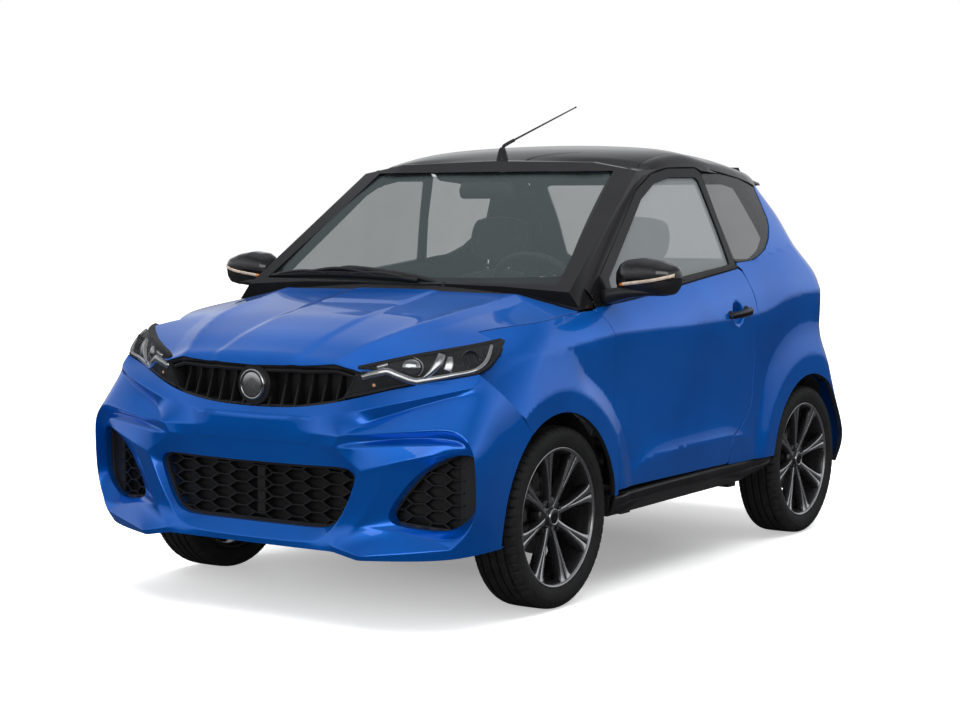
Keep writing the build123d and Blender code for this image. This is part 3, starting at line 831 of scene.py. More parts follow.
HOOD_C = curve([(-1480, 764), (-1455, 784), (-1420, 800), (-1350, 828), (-1250, 860), (-1148, 887), (-1000, 917), (-876, 940), (-748, 964), (-700, 972)])
X_CREASE_A = curve([(-1480, 290), (-1399, 312), (-1292, 359), (-1206, 388), (-1101, 420), (-950, 438), (-813, 455), (-700, 470)])
HOOD_DROP = curve([(-1480, 60), (-1419, 52), (-1300, 46), (-1148, 38), (-1000, 44), (-784, 56), (-700, 60)])   # at x = 690
X_HOOD = curve([(-1480, 420), (-1419, 430), (-1300, 560), (-1148, 690), (-700, 693)])


def hood(x, y):
    x = np.abs(np.asarray(x, float)); y = np.asarray(y, float)
    xa = X_CREASE_A(y)
    s = x / X_HOOD(y)
    z = HOOD_C(y) - 0.30 * HOOD_DROP(y) * s * s
    z = z - 0.70 * HOOD_DROP(y) * soft_ramp(x - xa, 5.0) / np.maximum(X_HOOD(y) - xa, 60)
    ridge = step(y, -1470, -1300) * (1 - 0.45 * step(y, -1000, -850))
    z = z + 5.0 * ridge * np.exp(-((np.maximum(xa - x, 0)) / 46.0)) * (x < xa) + 5.0 * ridge * (1 - np.clip((x - xa) / 70, 0, 1)) * (x >= xa)
    # the middle stands a little above two long hollows
    mid = 4.5 * (1 - step(x, 140, 186)) * (0.35 + 0.65 * (1 - step(y, -1180, -1050)) + 0.65 * step(y, -960, -900))
    z = z + mid - 4.5 * 0.35
    # rolls over at the nose
    z = z - 0.010 * np.maximum(-1440 - y, 0) ** 2
    return z


ROOF_C = curve([(-160, 1386), (-114, 1400), (0, 1433), (150, 1459), (300, 1469), (450, 1467), (600, 1457), (745, 1441), (860, 1424), (900, 1416)])


def roof(x, y):
    x = np.abs(np.asarray(x, float))
    k = 1 + 0.0006 * np.maximum(y - 500, 0)
    y = np.asarray(y, float)
    lift = step(y, -118, -30) * (1 - step(y, 180, 460))
    return ROOF_C(y) - ((27 - 13 * lift) * (x / 430) ** 2 + 32 * (x / 584) ** 8) * k


def screen_y(x, z):
    """Windscreen: y at (x, z)."""
    x = np.abs(np.asarray(x, float)); z = np.asarray(z, float)
    t = (z - 984.0) / (1399.0 - 984.0)
    return -722 + 606 * t - 22 * np.sin(np.pi * np.clip(t, 0, 1)) + (52 - 8 * t) * (x / 600) ** 2.4


# the tail: middle line, then how far the sides sweep forward
TAIL_C = mono([(240, 1478), (300, 1496), (440, 1500), (575, 1500), (600, 1496), (650, 1462), (735, 1448), (840, 1424), (900, 1382), (935, 1338), (1010, 1236), (1200, 1064), (1330, 932), (1400, 858), (1440, 810)])


def tail_y(x, z):
    x = np.abs(np.asarray(x, float)); z = np.asarray(z, float)
    bow = mono([(240, 60), (500, 64), (640, 78), (760, 86), (900, 82), (1010, 70), (1200, 62), (1400, 66)])(z)
    return TAIL_C(z) - bow * (x / 560) ** 2.6


FRONT_C = mono([(200, -1498), (240, -1488), (300, -1464), (459, -1461), (566, -1477), (600, -1478), (634, -1466), (699, -1470), (770, -1470)])
BOW_LOW = mono([(0, 0), (200, 3), (350, 10), (450, 26), (550, 48), (650, 76), (720, 100), (760, 140)])
BOW_HIGH = mono([(0, 0), (200, 6), (310, 18), (376, 34), (450, 70), (518, 112), (600, 165), (674, 222), (720, 262), (760, 300)])


def front_y(x, z):
    x = np.abs(np.asarray(x, float)); z = np.asarray(z, float)
    k = step(z, 590, 715)
    return FRONT_C(z) + BOW_LOW(x) * (1 - k) + BOW_HIGH(x) * k


SIDE = surface(W, "side")
HOOD = surface(hood, "top")
ROOF = surface(roof, "top")
TAIL = surface(tail_y, "rear")
SCREEN = surface(screen_y, "front")
FRONT = surface(front_y, "front")


def solve(f, lo, hi, n=40):
    """Root of f between lo and hi for arrays, by bisection."""
    lo = np.array(lo, float) * np.ones(1); hi = np.array(hi, float) * np.ones(1)
    lo, hi = np.broadcast_arrays(lo, hi); lo = lo.copy(); hi = hi.copy()
    flo = f(lo)
    for _ in range(n):
        mid = (lo + hi) / 2
        fm = f(mid)
        same = np.sign(fm) == np.sign(flo)
        lo = np.where(same, mid, lo); flo = np.where(same, fm, flo)
        hi = np.where(same, hi, mid)
    return (lo + hi) / 2


def side_tail_edge(z):
    """Where the side and the tail meet at height z: (x, y)."""
    z = np.atleast_1d(np.asarray(z, float))
    x = solve(lambda x: W(tail_y(x, z), z) - x, np.full(len(z), 250.0), np.full(len(z), 745.0))
    return x, tail_y(x, z)


def side_roof_edge(y):
    y = np.atleast_1d(np.asarray(y, float))
    x = solve(lambda x: W(y, roof(x, y)) - x, np.full(len(y), 400.0), np.full(len(y), 690.0))
    return x, roof(x, y)


def side_hood_edge(y):
    y = np.atleast_1d(np.asarray(y, float))
    x = solve(lambda x: W(y, hood(x, y)) - x, np.full(len(y), 300.0), np.full(len(y), 740.0))
    return x, hood(x, y)


def side_screen_edge(z):
    z = np.atleast_1d(np.asarray(z, float))
    x = solve(lambda x: W(screen_y(x, z), z) - x, np.full(len(z), 400.0), np.full(len(z), 700.0))
    return x, screen_y(x, z)


# ----------------------------------------------------------------- shut lines
DOOR = [(-552, 336), (-556, 600), (-566, 833), (-587, 874), (-636, 919), (-604, 968), (-550, 1020), (-191, 1292), (-60, 1350), (60, 1372), (256, 1378),
        (290, 1368), (330, 1200), (384, 1029), (418, 1012), (457, 938), (467, 850), (451, 640), (443, 557), (383, 480), (278, 440), (265, 345)]
DOOR_GLASS = [(-500, 953), (-505, 1006), (-172, 1266), (-52, 1324), (60, 1344), (238, 1348), (258, 1338), (343, 1037)]
QUARTER_GLASS = [(322, 1346), (410, 1044), (540, 1056), (650, 1092), (760, 1200), (738, 1296), (600, 1334)]


def arc(yc, r, a0, a1, n=40):
    return [(yc + r * math.cos(math.radians(a0 + (a1 - a0) * i / n)), 283 + r * math.sin(math.radians(a0 + (a1 - a0) * i / n))) for i in range(n + 1)]


def both_sides(o, name_r, **kw):
    return o, mirrored(o, name_r)


# front fender: side view, from the hood edge down to the arch
yy = np.linspace(-1146, -640, 34)
hx, hz = side_hood_edge(yy)
hood_side = [(float(y), float(z)) for y, z in zip(yy, hz)]
seam = [(-1284, 752), (-1238, 703), (-1178, 656), (-1122, 613), (-1078, 560)]
fender_outline = (seam[::-1] + [(-1238, 785), (-1198, 813), (-1152, 842)] + [(y, z - 3) for y, z in hood_side]
                  + [(-640, 913), (-592, 873), (-571, 833), (-561, 671), (-561, 600), (-556, 340), (-556, 318)]
                  + arc(-900, 329, 6.0, 120.5, 46))
door_crease = [(float(y), float(Z_CREASE(y))) for y in np.linspace(-640, 470, 60)]
ledge_line = [(float(y), float(Z_LEDGE(y))) for y in np.linspace(-510, 490, 50)]
belt_line = [(float(y), float(Z_BELT(y))) for y in np.linspace(-640, 1000, 70)]
flare_f = arc(-900, 394, 10, 110, 40)
flare_r = arc(938, 403, 30, 175, 50)
fender = panel("front_fender_left", fender_outline, SIDE, creases=[flare_f, [(float(y), float(Z_CREASE(y))) for y in np.linspace(-1000, -575, 30)]], h=13, depth=16)
side_r = mirrored(fender, "front_fender_right")
for o in (fender, side_r):
    put(o, "root", "body_paint", ["front_fenders"])

# doors: skin up to the belt, then the black window frame
belt_low = [(float(y), float(Z_BELT(y)) - 4) for y in np.linspace(-640, 420, 60)]
d_low = [p for p in DOOR if p[1] < 1015]
door_skin_outline = [(-552, 336), (-556, 600), (-562, 740), (-567, 833), (-588, 874), (-632, 912)] + [(y, z) for y, z in belt_low if -628 < y < 390] + \
    [(392, 1022), (418, 1010), (440, 975), (457, 938), (465, 900), (467, 850), (461, 740), (451, 640), (443, 557), (418, 515), (383, 482), (330, 455), (278, 434), (268, 400), (265, 345), (250, 336)]
HANDLE = rounded([(232, 905), (232, 838), (300, 822), (352, 828), (368, 866), (352, 905), (300, 916)], 26, 6)
HANDLE_C = (312.0, 870.0)


def door_side(y, z):
    """Door skin with the round finger recess behind the handle."""
    r = np.hypot((y - 312) / 1.0, (z - 866) / 1.0)
    dish = 26.0 * (1 - step(r, 12, 47))
    return W(y, z) - dish


DOORS = surface(door_side, "side")
door = panel("door_skin_left", door_skin_outline, DOORS, creases=[door_crease, ledge_line], h=12, depth=16)
door_r = mirrored(door, "door_skin_right")
put(door, "left_door", "body_paint", ["door_left"])
put(door_r, "right_door", "body_paint", ["door_right"])

frame_outline = [(y, z + 5) for y, z in belt_low if -628 < y < 386] + [(384, 1036), (330, 1200), (300, 1330), (290, 1362), (270, 1374), (256, 1378), (60, 1372), (-60, 1350), (-191, 1292), (-550, 1020), (-604, 968)]
glass_hole = rounded(DOOR_GLASS, [6, 18, 30, 30, 30, 14, 14, 10], 6)
door_frame = panel("door_frame_left", frame_outline, SIDE, holes=[glass_hole], h=13, depth=18, edge=2.2, mats="frame")
door_frame_r = mirrored(door_frame, "door_frame_right")
put(door_frame, "left_door", "gloss_black")
put(door_frame_r, "right_door", "gloss_black")


def inset_side(dx):
    return surface(lambda y, z: W(y, z) - dx, "side")


def pane(name, outline, surf, mat, h=30.0, thick=4.0):
    """Glass: two skins and an edge, so light goes in and out."""
    return panel(name, outline, surf, h=h, depth=thick, edge=0.8, mats=mat)


gl = pane("door_pane_left", [tuple(p) for p in offset_loop(glass_hole, 4)], inset_side(7), "door_glass")
gr = mirrored(gl, "door_pane_right")
put(gl, "left_door", "glass", ["door_glass_left"])
put(gr, "right_door", "glass", ["door_glass_right"])

# ----------------------------------------------------------------- the tail, wrapped from side to side
def cubic_max(a, b, k):
    h = np.clip(k - np.abs(a - b), 0, None) / k
    return np.maximum(a, b) + h * h * h * k / 6


TAIL_CY = mono([(100, 1000), (900, 1000), (1010, 850), (1200, 650), (1400, 430), (1500, 400)])
CX, CR = 330.0, 300.0
S1, S2 = CX, CX + CR * math.pi / 2


def wrap_ray(s, z):
    """Start and direction of the ray that finds the surface: s runs from the middle of the tail round to the side."""
    a = np.abs(s); sg = np.where(s < 0, -1.0, 1.0)
    cy = TAIL_CY(z)
    th = np.clip((a - S1) / CR, 0, math.pi / 2)
    ox = np.where(a < S1, a, CX)
    oy = cy - np.maximum(a - S2, 0)
    return ox * sg, oy, np.sin(th) * sg, np.cos(th)


def tail_solid(x, y, z, extra):
    ax = np.abs(x)
    return cubic_max(ax - W(y, z), y - tail_y(ax, z) - extra(ax, z), 46.0)


def wrap_tail(extra=lambda x, z: 0.0, lift=0.0):
    def pos(s, z):
        ox, oy, dx, dy = wrap_ray(s, z)
        r = solve(lambda r: tail_solid(ox + dx * r, oy + dy * r, z, extra), np.full(len(s), 5.0), np.full(len(s), 1150.0), 34)
        return np.stack([ox + dx * (r + lift), oy + dy * (r + lift), z], 1)
    def surf(s, z):
        s = np.asarray(s, float); z = np.asarray(z, float)
        p = pos(s, z); e = 1.5
        n = np.cross(pos(s, z + e) - pos(s, z - e), pos(s + e, z) - pos(s - e, z))
        n /= np.linalg.norm(n, axis=1)[:, None]
        return p, n
    return surf


def s_side(y, z):
    """Wrap coordinate of a point of the side at (y, z)."""
    cy = float(TAIL_CY(z))
    if y <= cy:
        return S2 + (cy - y)
    x = float(W(y, z))
    return S1 + CR * (math.pi / 2 - math.atan2(y - cy, x - CX))


def s_tail(x, z):
    cy = float(TAIL_CY(z))
    if x <= CX:
        return x
    y = float(tail_y(x, z))
    return S1 + CR * (math.pi / 2 - math.atan2(y - cy, x - CX))


GATE_X = mono([(662, 520), (800, 548), (962, 575), (1034, 570), (1378, 486), (1450, 486)])
LAMP_IN = [(962, 0)]
gz = np.linspace(680, 1392, 40)
gate_edge = [(s_tail(float(GATE_X(z)) + 3, z), float(z)) for z in gz]
# tail lamp in (s, z): from the gate edge round on to the side
LAMP_Z0, LAMP_Z1 = 752.0, 958.0
lamp_side = [(1150, 905), (1175, 948)]
LAMP = [(s_tail(float(GATE_X(756)) + 4, 756), 756), (s_side(1222, 798), 798), (s_side(1142, 872), 872), (s_side(1128, 928), 928),
        (s_side(1165, 953), 953), (s_tail(float(GATE_X(958)) + 4, 958), 958)]
TAILWRAP = wrap_tail()


def side_pts(pts):
    return [(s_side(y, z), z) for y, z in pts]


def dense(pts, h=20):
    return refine(pts, h, closed=False)


q_front = [(423, 1019), (463, 940), (472, 898), (473, 850), (467, 740), (457, 640), (449, 555), (424, 512), (388, 478), (336, 450), (284, 430), (273, 398), (270, 345), (270, 331)]
q_low = [(270, 331), (606, 331)]
q_arch = arc(938, 331, 171.3, 61, 56)
q_bump = [(1098, 574), (1180, 600), (1260, 632), (1330, 664)]
bump_top = [(s_side(1330, 664), 664)] + [(s_tail(x, 672), 672) for x in (600, 560, 530)]
gate_low = [(s, z) for s, z in gate_edge if z < 750]
gate_up = [(s, z) for s, z in gate_edge if z > 962]
q_glass = [(741, 1300), (752, 1262), (763, 1205), (752, 1172), (712, 1126), (655, 1088), (600, 1068), (540, 1052), (470, 1046), (400, 1042), (397, 1034)]
quarter_outline = (side_pts(dense(q_front)) + side_pts(dense(q_low))[1:] + side_pts(q_arch)[1:] + side_pts(dense(q_bump)) + bump_top[1:-1]
                   + [(s_tail(524, 672), 672)] + [p for p in gate_low if p[1] > 676]
                   + [(LAMP[0][0], LAMP[0][1] - 6), (LAMP[1][0] + 2, LAMP[1][1] - 7), (LAMP[2][0] + 6, LAMP[2][1] - 4), (LAMP[3][0] + 6, LAMP[3][1] + 4), (LAMP[4][0], LAMP[4][1] + 6), (LAMP[5][0], LAMP[5][1] + 6)]
                   + gate_up[1:-3] + side_pts([(790, 1318), (760, 1322), (741, 1326)]) + side_pts(dense(q_glass, 16)))
crease_q = [(s_side(y, float(Z_CREASE(y))), float(Z_CREASE(y))) for y in np.linspace(476, 1130, 50)]
flare_q = [(s_side(y, z), z) for y, z in flare_r]
quarter = panel("rear_quarter_left", quarter_outline, TAILWRAP, creases=[flare_q, crease_q], h=13, depth=16)
quarter_r = mirrored(quarter, "rear_quarter_right")
for o in (quarter, quarter_r):
    put(o, "root", "body_paint", ["rear_quarters"])

q_pane = side_pts(dense(rounded([(302, 1360), (340, 1200), (396, 1047), (470, 1049), (540, 1056), (600, 1072), (650, 1092), (708, 1132), (748, 1177), (758, 1206), (746, 1268), (736, 1318), (600, 1348), (450, 1362)], 8, 3), 22))
qp = panel("quarter_pane_left", q_pane, wrap_tail(lift=-3.0), h=24, depth=4, edge=1.0, mats="privacy")
qpr = mirrored(qp, "quarter_pane_right")
for o in (qp, qpr):
    put(o, "root", "glass", ["quarter_windows"])


# bonnet: plan outline
hx, hz = side_hood_edge(np.linspace(-1285, -728, 40))
hood_out = [(float(x) - 4.0, float(y)) for x, y in zip(hx, np.linspace(-1285, -728, 40))]
nose = [(0, -1474), (120, -1471), (250, -1460), (330, -1449), (376, -1440), (392, -1428), (440, -1404), (520, -1352), (600, -1285), (660, -1212)]
lamp_edge = [(392, -1428), (452, -1398), (520, -1352), (590, -1296), (640, -1240), (676, -1180)]
tip_y = -1150.0
hood_out2 = [p for p in hood_out if p[1] > tip_y]
back = [(686, -728), (600, -731), (450, -738), (300, -744), (150, -748), (0, -749)]
half = nose[:5] + lamp_edge + hood_out2 + back
half = half[:-1]
hood_outline = half + [(0, -749)] + [(-x, y) for x, y in half[::-1] if x > 1]
cA = [(float(X_CREASE_A(y)), float(y)) for y in np.linspace(-1440, -752, 60)]
hood_p = panel("bonnet_skin", hood_outline, HOOD, creases=[cA, [(-x, y) for x, y in cA]], h=12, depth=16)
put(hood_p, "bonnet_body", "body_paint", ["bonnet"])

# roof
rf = []
for y in np.linspace(-112, 741, 50):
    x, z = side_roof_edge(y)
    rf.append((min(float(x[0]) - 52, 541.0), float(y)))
roof_half = [(0, -121)] + [(x, -121 + 9 * (x / 500) ** 2) for x in (120, 240, 360, 440)] + rf
roof_outline = roof_half + [(0, 741)] + [(-x, y) for x, y in roof_half[::-1] if x > 1]
roof_p = panel("roof_skin", roof_outline, ROOF, h=22, depth=20, mats="gloss")
put(roof_p, "root", "gloss_black", ["roof_panel"])


# windscreen
def scr_pt(x, z):
    return (x, z)
sz = np.linspace(990, 1374, 24)
sx, sy = side_screen_edge(sz)
scr_edge = [(float(x) - 34, float(z)) for x, z in zip(sx, sz)]
top_row = [(x, 1399 - 25 * (x / 520) ** 2) for x in (500, 420, 300, 150, 0)]
low_row = [(x, 984 + 4 * (x / 600)) for x in (0, 150, 300, 450, 600)]
scr_half = low_row + scr_edge + [p for p in top_row if p[0] < scr_edge[-1][0] - 6]
scr_outline = scr_half + [(-x, z) for x, z in scr_half[::-1] if x > 1]
inner = rounded([(582, 1014), (480, 1358), (300, 1380), (120, 1388), (-120, 1388), (-300, 1380), (-480, 1358), (-582, 1014), (-300, 1006), (0, 1002), (300, 1006)], [22, 34, 10, 10, 10, 10, 34, 22, 10, 10, 10], 6)
ws = panel("windscreen_pane", scr_outline, surface(lambda x, z: screen_y(x, z) + 2, "front"), h=34, depth=4, edge=0.8, mats="glass")
put(ws, "root", "glass", ["windscreen"])
fr = panel("windscreen_frit", scr_outline, surface(lambda x, z: screen_y(x, z) + 1.2, "front"), holes=[inner], h=22, depth=1.5, edge=0.4, mats="frit")
put(fr, "root", "glass")


# ----------------------------------------------------------------- pillars and roof rails, crowned strips
def strip(name, A, B, mats, crown=0.22, n=10, outward=None, body="root", tuck=14.0, normal=None):
    """Surface between two curves A and B (n, 3) with a rounded back; the edges turn in."""
    A = np.asarray(A, float); B = np.asarray(B, float)
    m = len(A)
    T = np.gradient((A + B) / 2, axis=0)
    D = B - A
    N = np.cross(D, T)
    N /= np.linalg.norm(N, axis=1)[:, None]
    ref = np.array(outward if outward is not None else (1, 0, 1.0))
    sgn = np.sign((N * ref).sum(1))
    N = N * sgn[:, None]
    L = np.linalg.norm(D, axis=1)[:, None]
    rows = [A - N * tuck]
    c = crown if np.ndim(crown) else np.full(m, crown)
    for i in range(n + 1):
        t = i / n
        rows.append(A * (1 - t) + B * t + N * (L * np.asarray(c)[:, None] * 4 * t * (1 - t)) ** 1.0)
    rows.append(B - N * tuck)
    R = len(rows)
    V = np.concatenate(rows)
    F = [[r * m + i, r * m + i + 1, (r + 1) * m + i + 1, (r + 1) * m + i] for r in range(R - 1) for i in range(m - 1)]
    o = obj_from(name, V, F, mats)
    bm = bmesh.new(); bm.from_mesh(o.data)
    bmesh.ops.recalc_face_normals(bm, faces=bm.faces)
    bm.faces.ensure_lookup_table()
    k = (R // 2) * (m - 1) + m // 2
    if bm.faces[k].normal.dot(Vector(ref)) < 0:
        bmesh.ops.reverse_faces(bm, faces=bm.faces)
    bm.to_mesh(o.data); bm.free()
    return sharpen(o, 50)


def lerp_rows(pts, n):
    """n points evenly along a polyline."""
    p = np.asarray(pts, float)
    d = np.r_[0, np.cumsum(np.linalg.norm(np.diff(p, axis=0), axis=1))]
    q = np.linspace(0, d[-1], n)
    return np.stack([np.interp(q, d, p[:, k]) for k in range(p.shape[1])], 1)


# inner curve: beside the windscreen then beside the roof; outer curve: over the door and the quarter window
innerA = [(float(x) - 30, float(y) + 1, float(z)) for x, y, z in zip(sx, sy, sz)]
innerB = [(min(float(side_roof_edge(y)[0][0]) - 49, 544.0), float(y), 0.0) for y in np.linspace(-100, 752, 40)]
innerB = [(x, y, float(roof(x, y))) for x, y, z in innerB]
inner_curve = innerA + innerB[1:]
outer_yz = [(-632, 926), (-604, 974), (-550, 1026), (-370, 1160), (-191, 1298), (-125, 1328), (-60, 1356), (0, 1368), (60, 1378), (150, 1382), (256, 1384), (290, 1382), (380, 1376), (450, 1370), (600, 1353), (700, 1336), (768, 1322)]
outer_curve = [(float(W(y, z)), y, z) for y, z in outer_yz]
ia = lerp_rows(inner_curve, 400)
oa = lerp_rows(outer_curve, 400)
# pair the two curves by distance along the car, so that each rib runs straight across
key_i = ia[:, 1] + 0.35 * ia[:, 2]
key_o = oa[:, 1] + 0.35 * oa[:, 2]
kk = np.linspace(max(key_i[0], key_o[0]), min(key_i[-1], key_o[-1]), 90)
Ai = np.stack([np.interp(kk, key_i, ia[:, k]) for k in range(3)], 1)
Bo = np.stack([np.interp(kk, key_o, oa[:, k]) for k in range(3)], 1)
rail = strip("roof_rail_left", Ai, Bo, "gloss", crown=0.13, outward=(0.8, -0.15, 0.6), tuck=10)
rail_r = mirrored(rail, "roof_rail_right")
put(rail, "root", "gloss_black"); put(rail_r, "root", "gloss_black")

# ================================================================= front bumper: a creased subdivision cage, left half
CV = {
    # upper edge, beside the grille and the lamp
    "t0": (0, -1466, 631), "t1": (160, -1465, 635), "t2": (300, -1458, 657), "t3": (400, -1427, 683), "t4": (470, -1395, 702),
    "t5": (545, -1352, 719), "t6": (618, -1312, 732), "t7": (690, -1284, 748),
    # first crease
    "c0": (0, -1478, 602), "c1": (181, -1475, 610), "c2": (289, -1467, 620), "c3": (390, -1453, 639), "c4": (480, -1427, 662),
    "c5": (565, -1394, 682), "c6": (644, -1352, 701), "c7": (702, -1305, 715),
    # middle band
    "b0": (0, -1478, 562), "b1": (181, -1476, 564), "b2": (268, -1480, 566),
    "e0": (0, -1476, 520), "e1": (181, -1474, 522), "e2": (258, -1480, 530),
    "h0": (0, -1471, 467), "h1": (171, -1469, 468), "h2": (285, -1470, 471), "h3": (350, -1470, 473),
    # canopy over the side intake: upper crease, lower edge
    "d0": (347, -1499, 568), "d1": (409, -1440, 607), "d2a": (470, -1421, 627), "d2": (540, -1396, 652), "d3": (612, -1362, 675), "d4": (700, -1310, 702),
    "k1": (465, -1480, 578), "k2": (556, -1457, 588), "k3": (650, -1422, 597), "k4": (687, -1407, 593), "k5": (716, -1397, 574),
    "k6": (736, -1391, 545), "k7": (744, -1386, 510), "k8": (745, -1381, 405), "k9": (741, -1375, 344),
    # slot under the canopy
    "o1": (465, -1448, 563), "o2": (556, -1425, 568), "o3": (650, -1386, 572), "w4": (684, -1370, 564), "w5": (706, -1360, 548),
    "w6": (722, -1354, 526), "w7": (728, -1350, 495), "w8": (729, -1345, 405), "w9": (722, -1344, 352),
    # blade
    "n0": (319, -1495, 534), "n1": (372, -1493, 534), "n2": (502, -1456, 544), "n2b": (600, -1424, 550), "n3": (690, -1392, 554),
    "m0": (413, -1491, 466), "m1a": (490, -1473, 488), "m1": (564, -1450, 508), "m2": (664, -1410, 531),
    # side intake opening
    "f0": (655, -1388, 520), "f2": (566, -1414, 470), "f3": (508, -1427, 400), "f4": (450, -1441, 313), "f4b": (553, -1404, 300), "f5": (655, -1362, 291),
    # pillar
    "p1": (401, -1489, 447), "p2": (363, -1484, 362), "p3": (328, -1482, 314), "p4": (292, -1486, 271), "p5": (249, -1489, 248), "p6": (170, -1491, 240), "p7": (0, -1491, 239),
    "q1": (480, -1464, 457), "q2": (428, -1471, 350), "q3": (390, -1478, 302),
    # lower grille opening
    "g1": (381, -1463, 451), "g2": (368, -1463, 410), "g3": (321, -1465, 307), "g4": (272, -1465, 286), "g5": (200, -1465, 283), "g5b": (100, -1465, 283), "g6": (0, -1465, 283),
    # lip
    "x1": (322, -1500, 240), "y1": (505, -1434, 296), "y2": (626, -1400, 273),
    "l1": (711, -1386, 288), "l2": (674, -1401, 251), "l3": (554, -1451, 235), "l4": (428, -1504, 222),
    "v0": (0, -1486, 222), "v1": (170, -1487, 222), "v2": (316, -1496, 225), "v3": (412, -1499, 208), "v4": (560, -1442, 211), "v5": (680, -1388, 220),
    # side
    "s1": (722, -1238, 704), "s2": (737, -1180, 657), "s3": (743, -1124, 613), "s4": (746, -1080, 559),
    "u1": (738, -1296, 640), "u2": (747, -1300, 565), "u3": (749, -1300, 500), "u4": (748, -1300, 410), "u5": (745, -1300, 340), "u6": (737, -1300, 280), "u7": (722, -1300, 232),
    "a1": (747, -1133, 516), "a2": (746, -1185, 447), "a3": (744, -1218, 368), "a4": (738, -1229, 283), "a5": (731, -1226, 236),
}
CF = """t0 t1 c1 c0;t1 t2 c2 c1;t2 t3 c3 c2;t3 t4 c4 c3;t4 t5 c5 c4;t5 t6 c6 c5;t6 t7 c7 c6;t7 s1 c7
c0 c1 b1 b0;c1 c2 b2 b1;c2 c3 d1 d0;c2 d0 b2;c3 c4 d2a d1;c4 c5 d2 d2a;c5 c6 d3 d2;c6 c7 d4 d3
b0 b1 e1 e0;b1 b2 e2 e1;b2 d0 n0 e2;e0 e1 h1 h0;e1 e2 h2 h1;e2 n0 h3 h2;n0 m0 h3
d1 d2a k1 d0;d2a d2 k2 k1;d2 d3 k3 k2;d3 d4 k4 k3;c7 s1 u1 d4;d4 u1 k5 k4;u1 u2 k6 k5;u2 u3 k7 k6;u3 u4 k8 k7;u4 u5 k9 k8
s1 s2 u2 u1;s2 s3 a1 u2;s3 s4 a1;u2 a1 a2 u3;u3 a2 a3 u4;u4 a3 a4 u5;u5 a4 a5 u6;u6 a5 u7
k1 k2 o2 o1;k2 k3 o3 o2;k3 k4 w4 o3;d0 k1 o1;d0 o1 n1 n0;o1 n2 n1;o1 o2 n2b n2;o2 o3 n3 n2b;o3 w4 w5 n3
k4 k5 w5 w4;k5 k6 w6 w5;k6 k7 w7 w6;k7 k8 w8 w7;k8 k9 w9 w8
n0 n1 m0;n1 n2 m1a m0;n2 n2b m1 m1a;n2b n3 m2 m1;n3 w5 w6 m2;m2 w6 f0
m1a m1 f2 q1;m1 m2 f0 f2;q1 f2 f3 q2;q2 f3 f4 q3;m0 m1a q1 p1;p1 q1 q2 p2;p2 q2 q3 p3;p3 q3 x1 p4
m0 p1 g1 h3;p1 p2 g2 g1;p2 p3 g3 g2;p3 p4 g4 g3;p4 p5 g5 g4;p5 p6 g5b g5;p6 p7 g6 g5b
q3 f4 f4b y1;y1 f4b f5 y2;f5 w9 k9 l1;y2 f5 l1;y2 l1 l2;x1 q3 y1 l4;l4 y1 l3;y1 y2 l2 l3
x1 l4 v3 v2;p4 x1 v2 p5;p5 v2 v1 p6;p6 v1 v0 p7;l4 l3 v4 v3;l3 l2 v5 v4;l2 l1 v5;l1 u6 u7 v5;u5 u6 l1 k9"""
CREASES = {
    0.93: "c0 c1 c2 c3 c4 c5 c6 c7|d0 d1 d2a d2 d3 d4|d0 k1 k2 k3 k4 k5 k6 k7 k8 k9|n0 n1 n2 n2b n3|n0 m0 m1a m1 m2|m0 p1 p2 p3 p4 p5 p6 p7|k9 l1|d0 n0",
    0.80: "l1 l2 l3 l4|x1 l4|q3 y1 y2 l2|q3 x1|o1 o2 o3|x1 v2|l4 v3|q1 q2 q3|m1a q1|o1 n1|b2 d0|e2 n0|b1 b2|t7 c7",
    1.00: "t0 t1 t2 t3 t4 t5 t6 t7 s1 s2 s3 s4 a1 a2 a3 a4 a5 u7 v5 v4 v3 v2 v1 v0|h0 h1 h2 h3 g1 g2 g3 g4 g5 g5b g6|f0 f2 f3 f4 f4b f5 w9 w8 w7 w6 f0",
}
RIM_MOVES = (   # boundary lines that turn in, and by how much
    ("t0 t1 t2 t3 t4 t5 t6 t7", (0, 22, -3)),
    ("t7 s1 s2 s3 s4", (-16, 4, 0)),
    ("s4 a1 a2 a3 a4 a5", (-26, 0, 0)),
    ("a5 u7 v5 v4 v3 v2 v1 v0", (-4, 26, 5)),
    ("h0 h1 h2 h3 g1 g2 g3 g4 g5 g5b g6", (0, 46, 0)),
    ("f0 f2 f3 f4 f4b f5 w9 w8 w7 w6 f0", (0, 42, 0)),
)


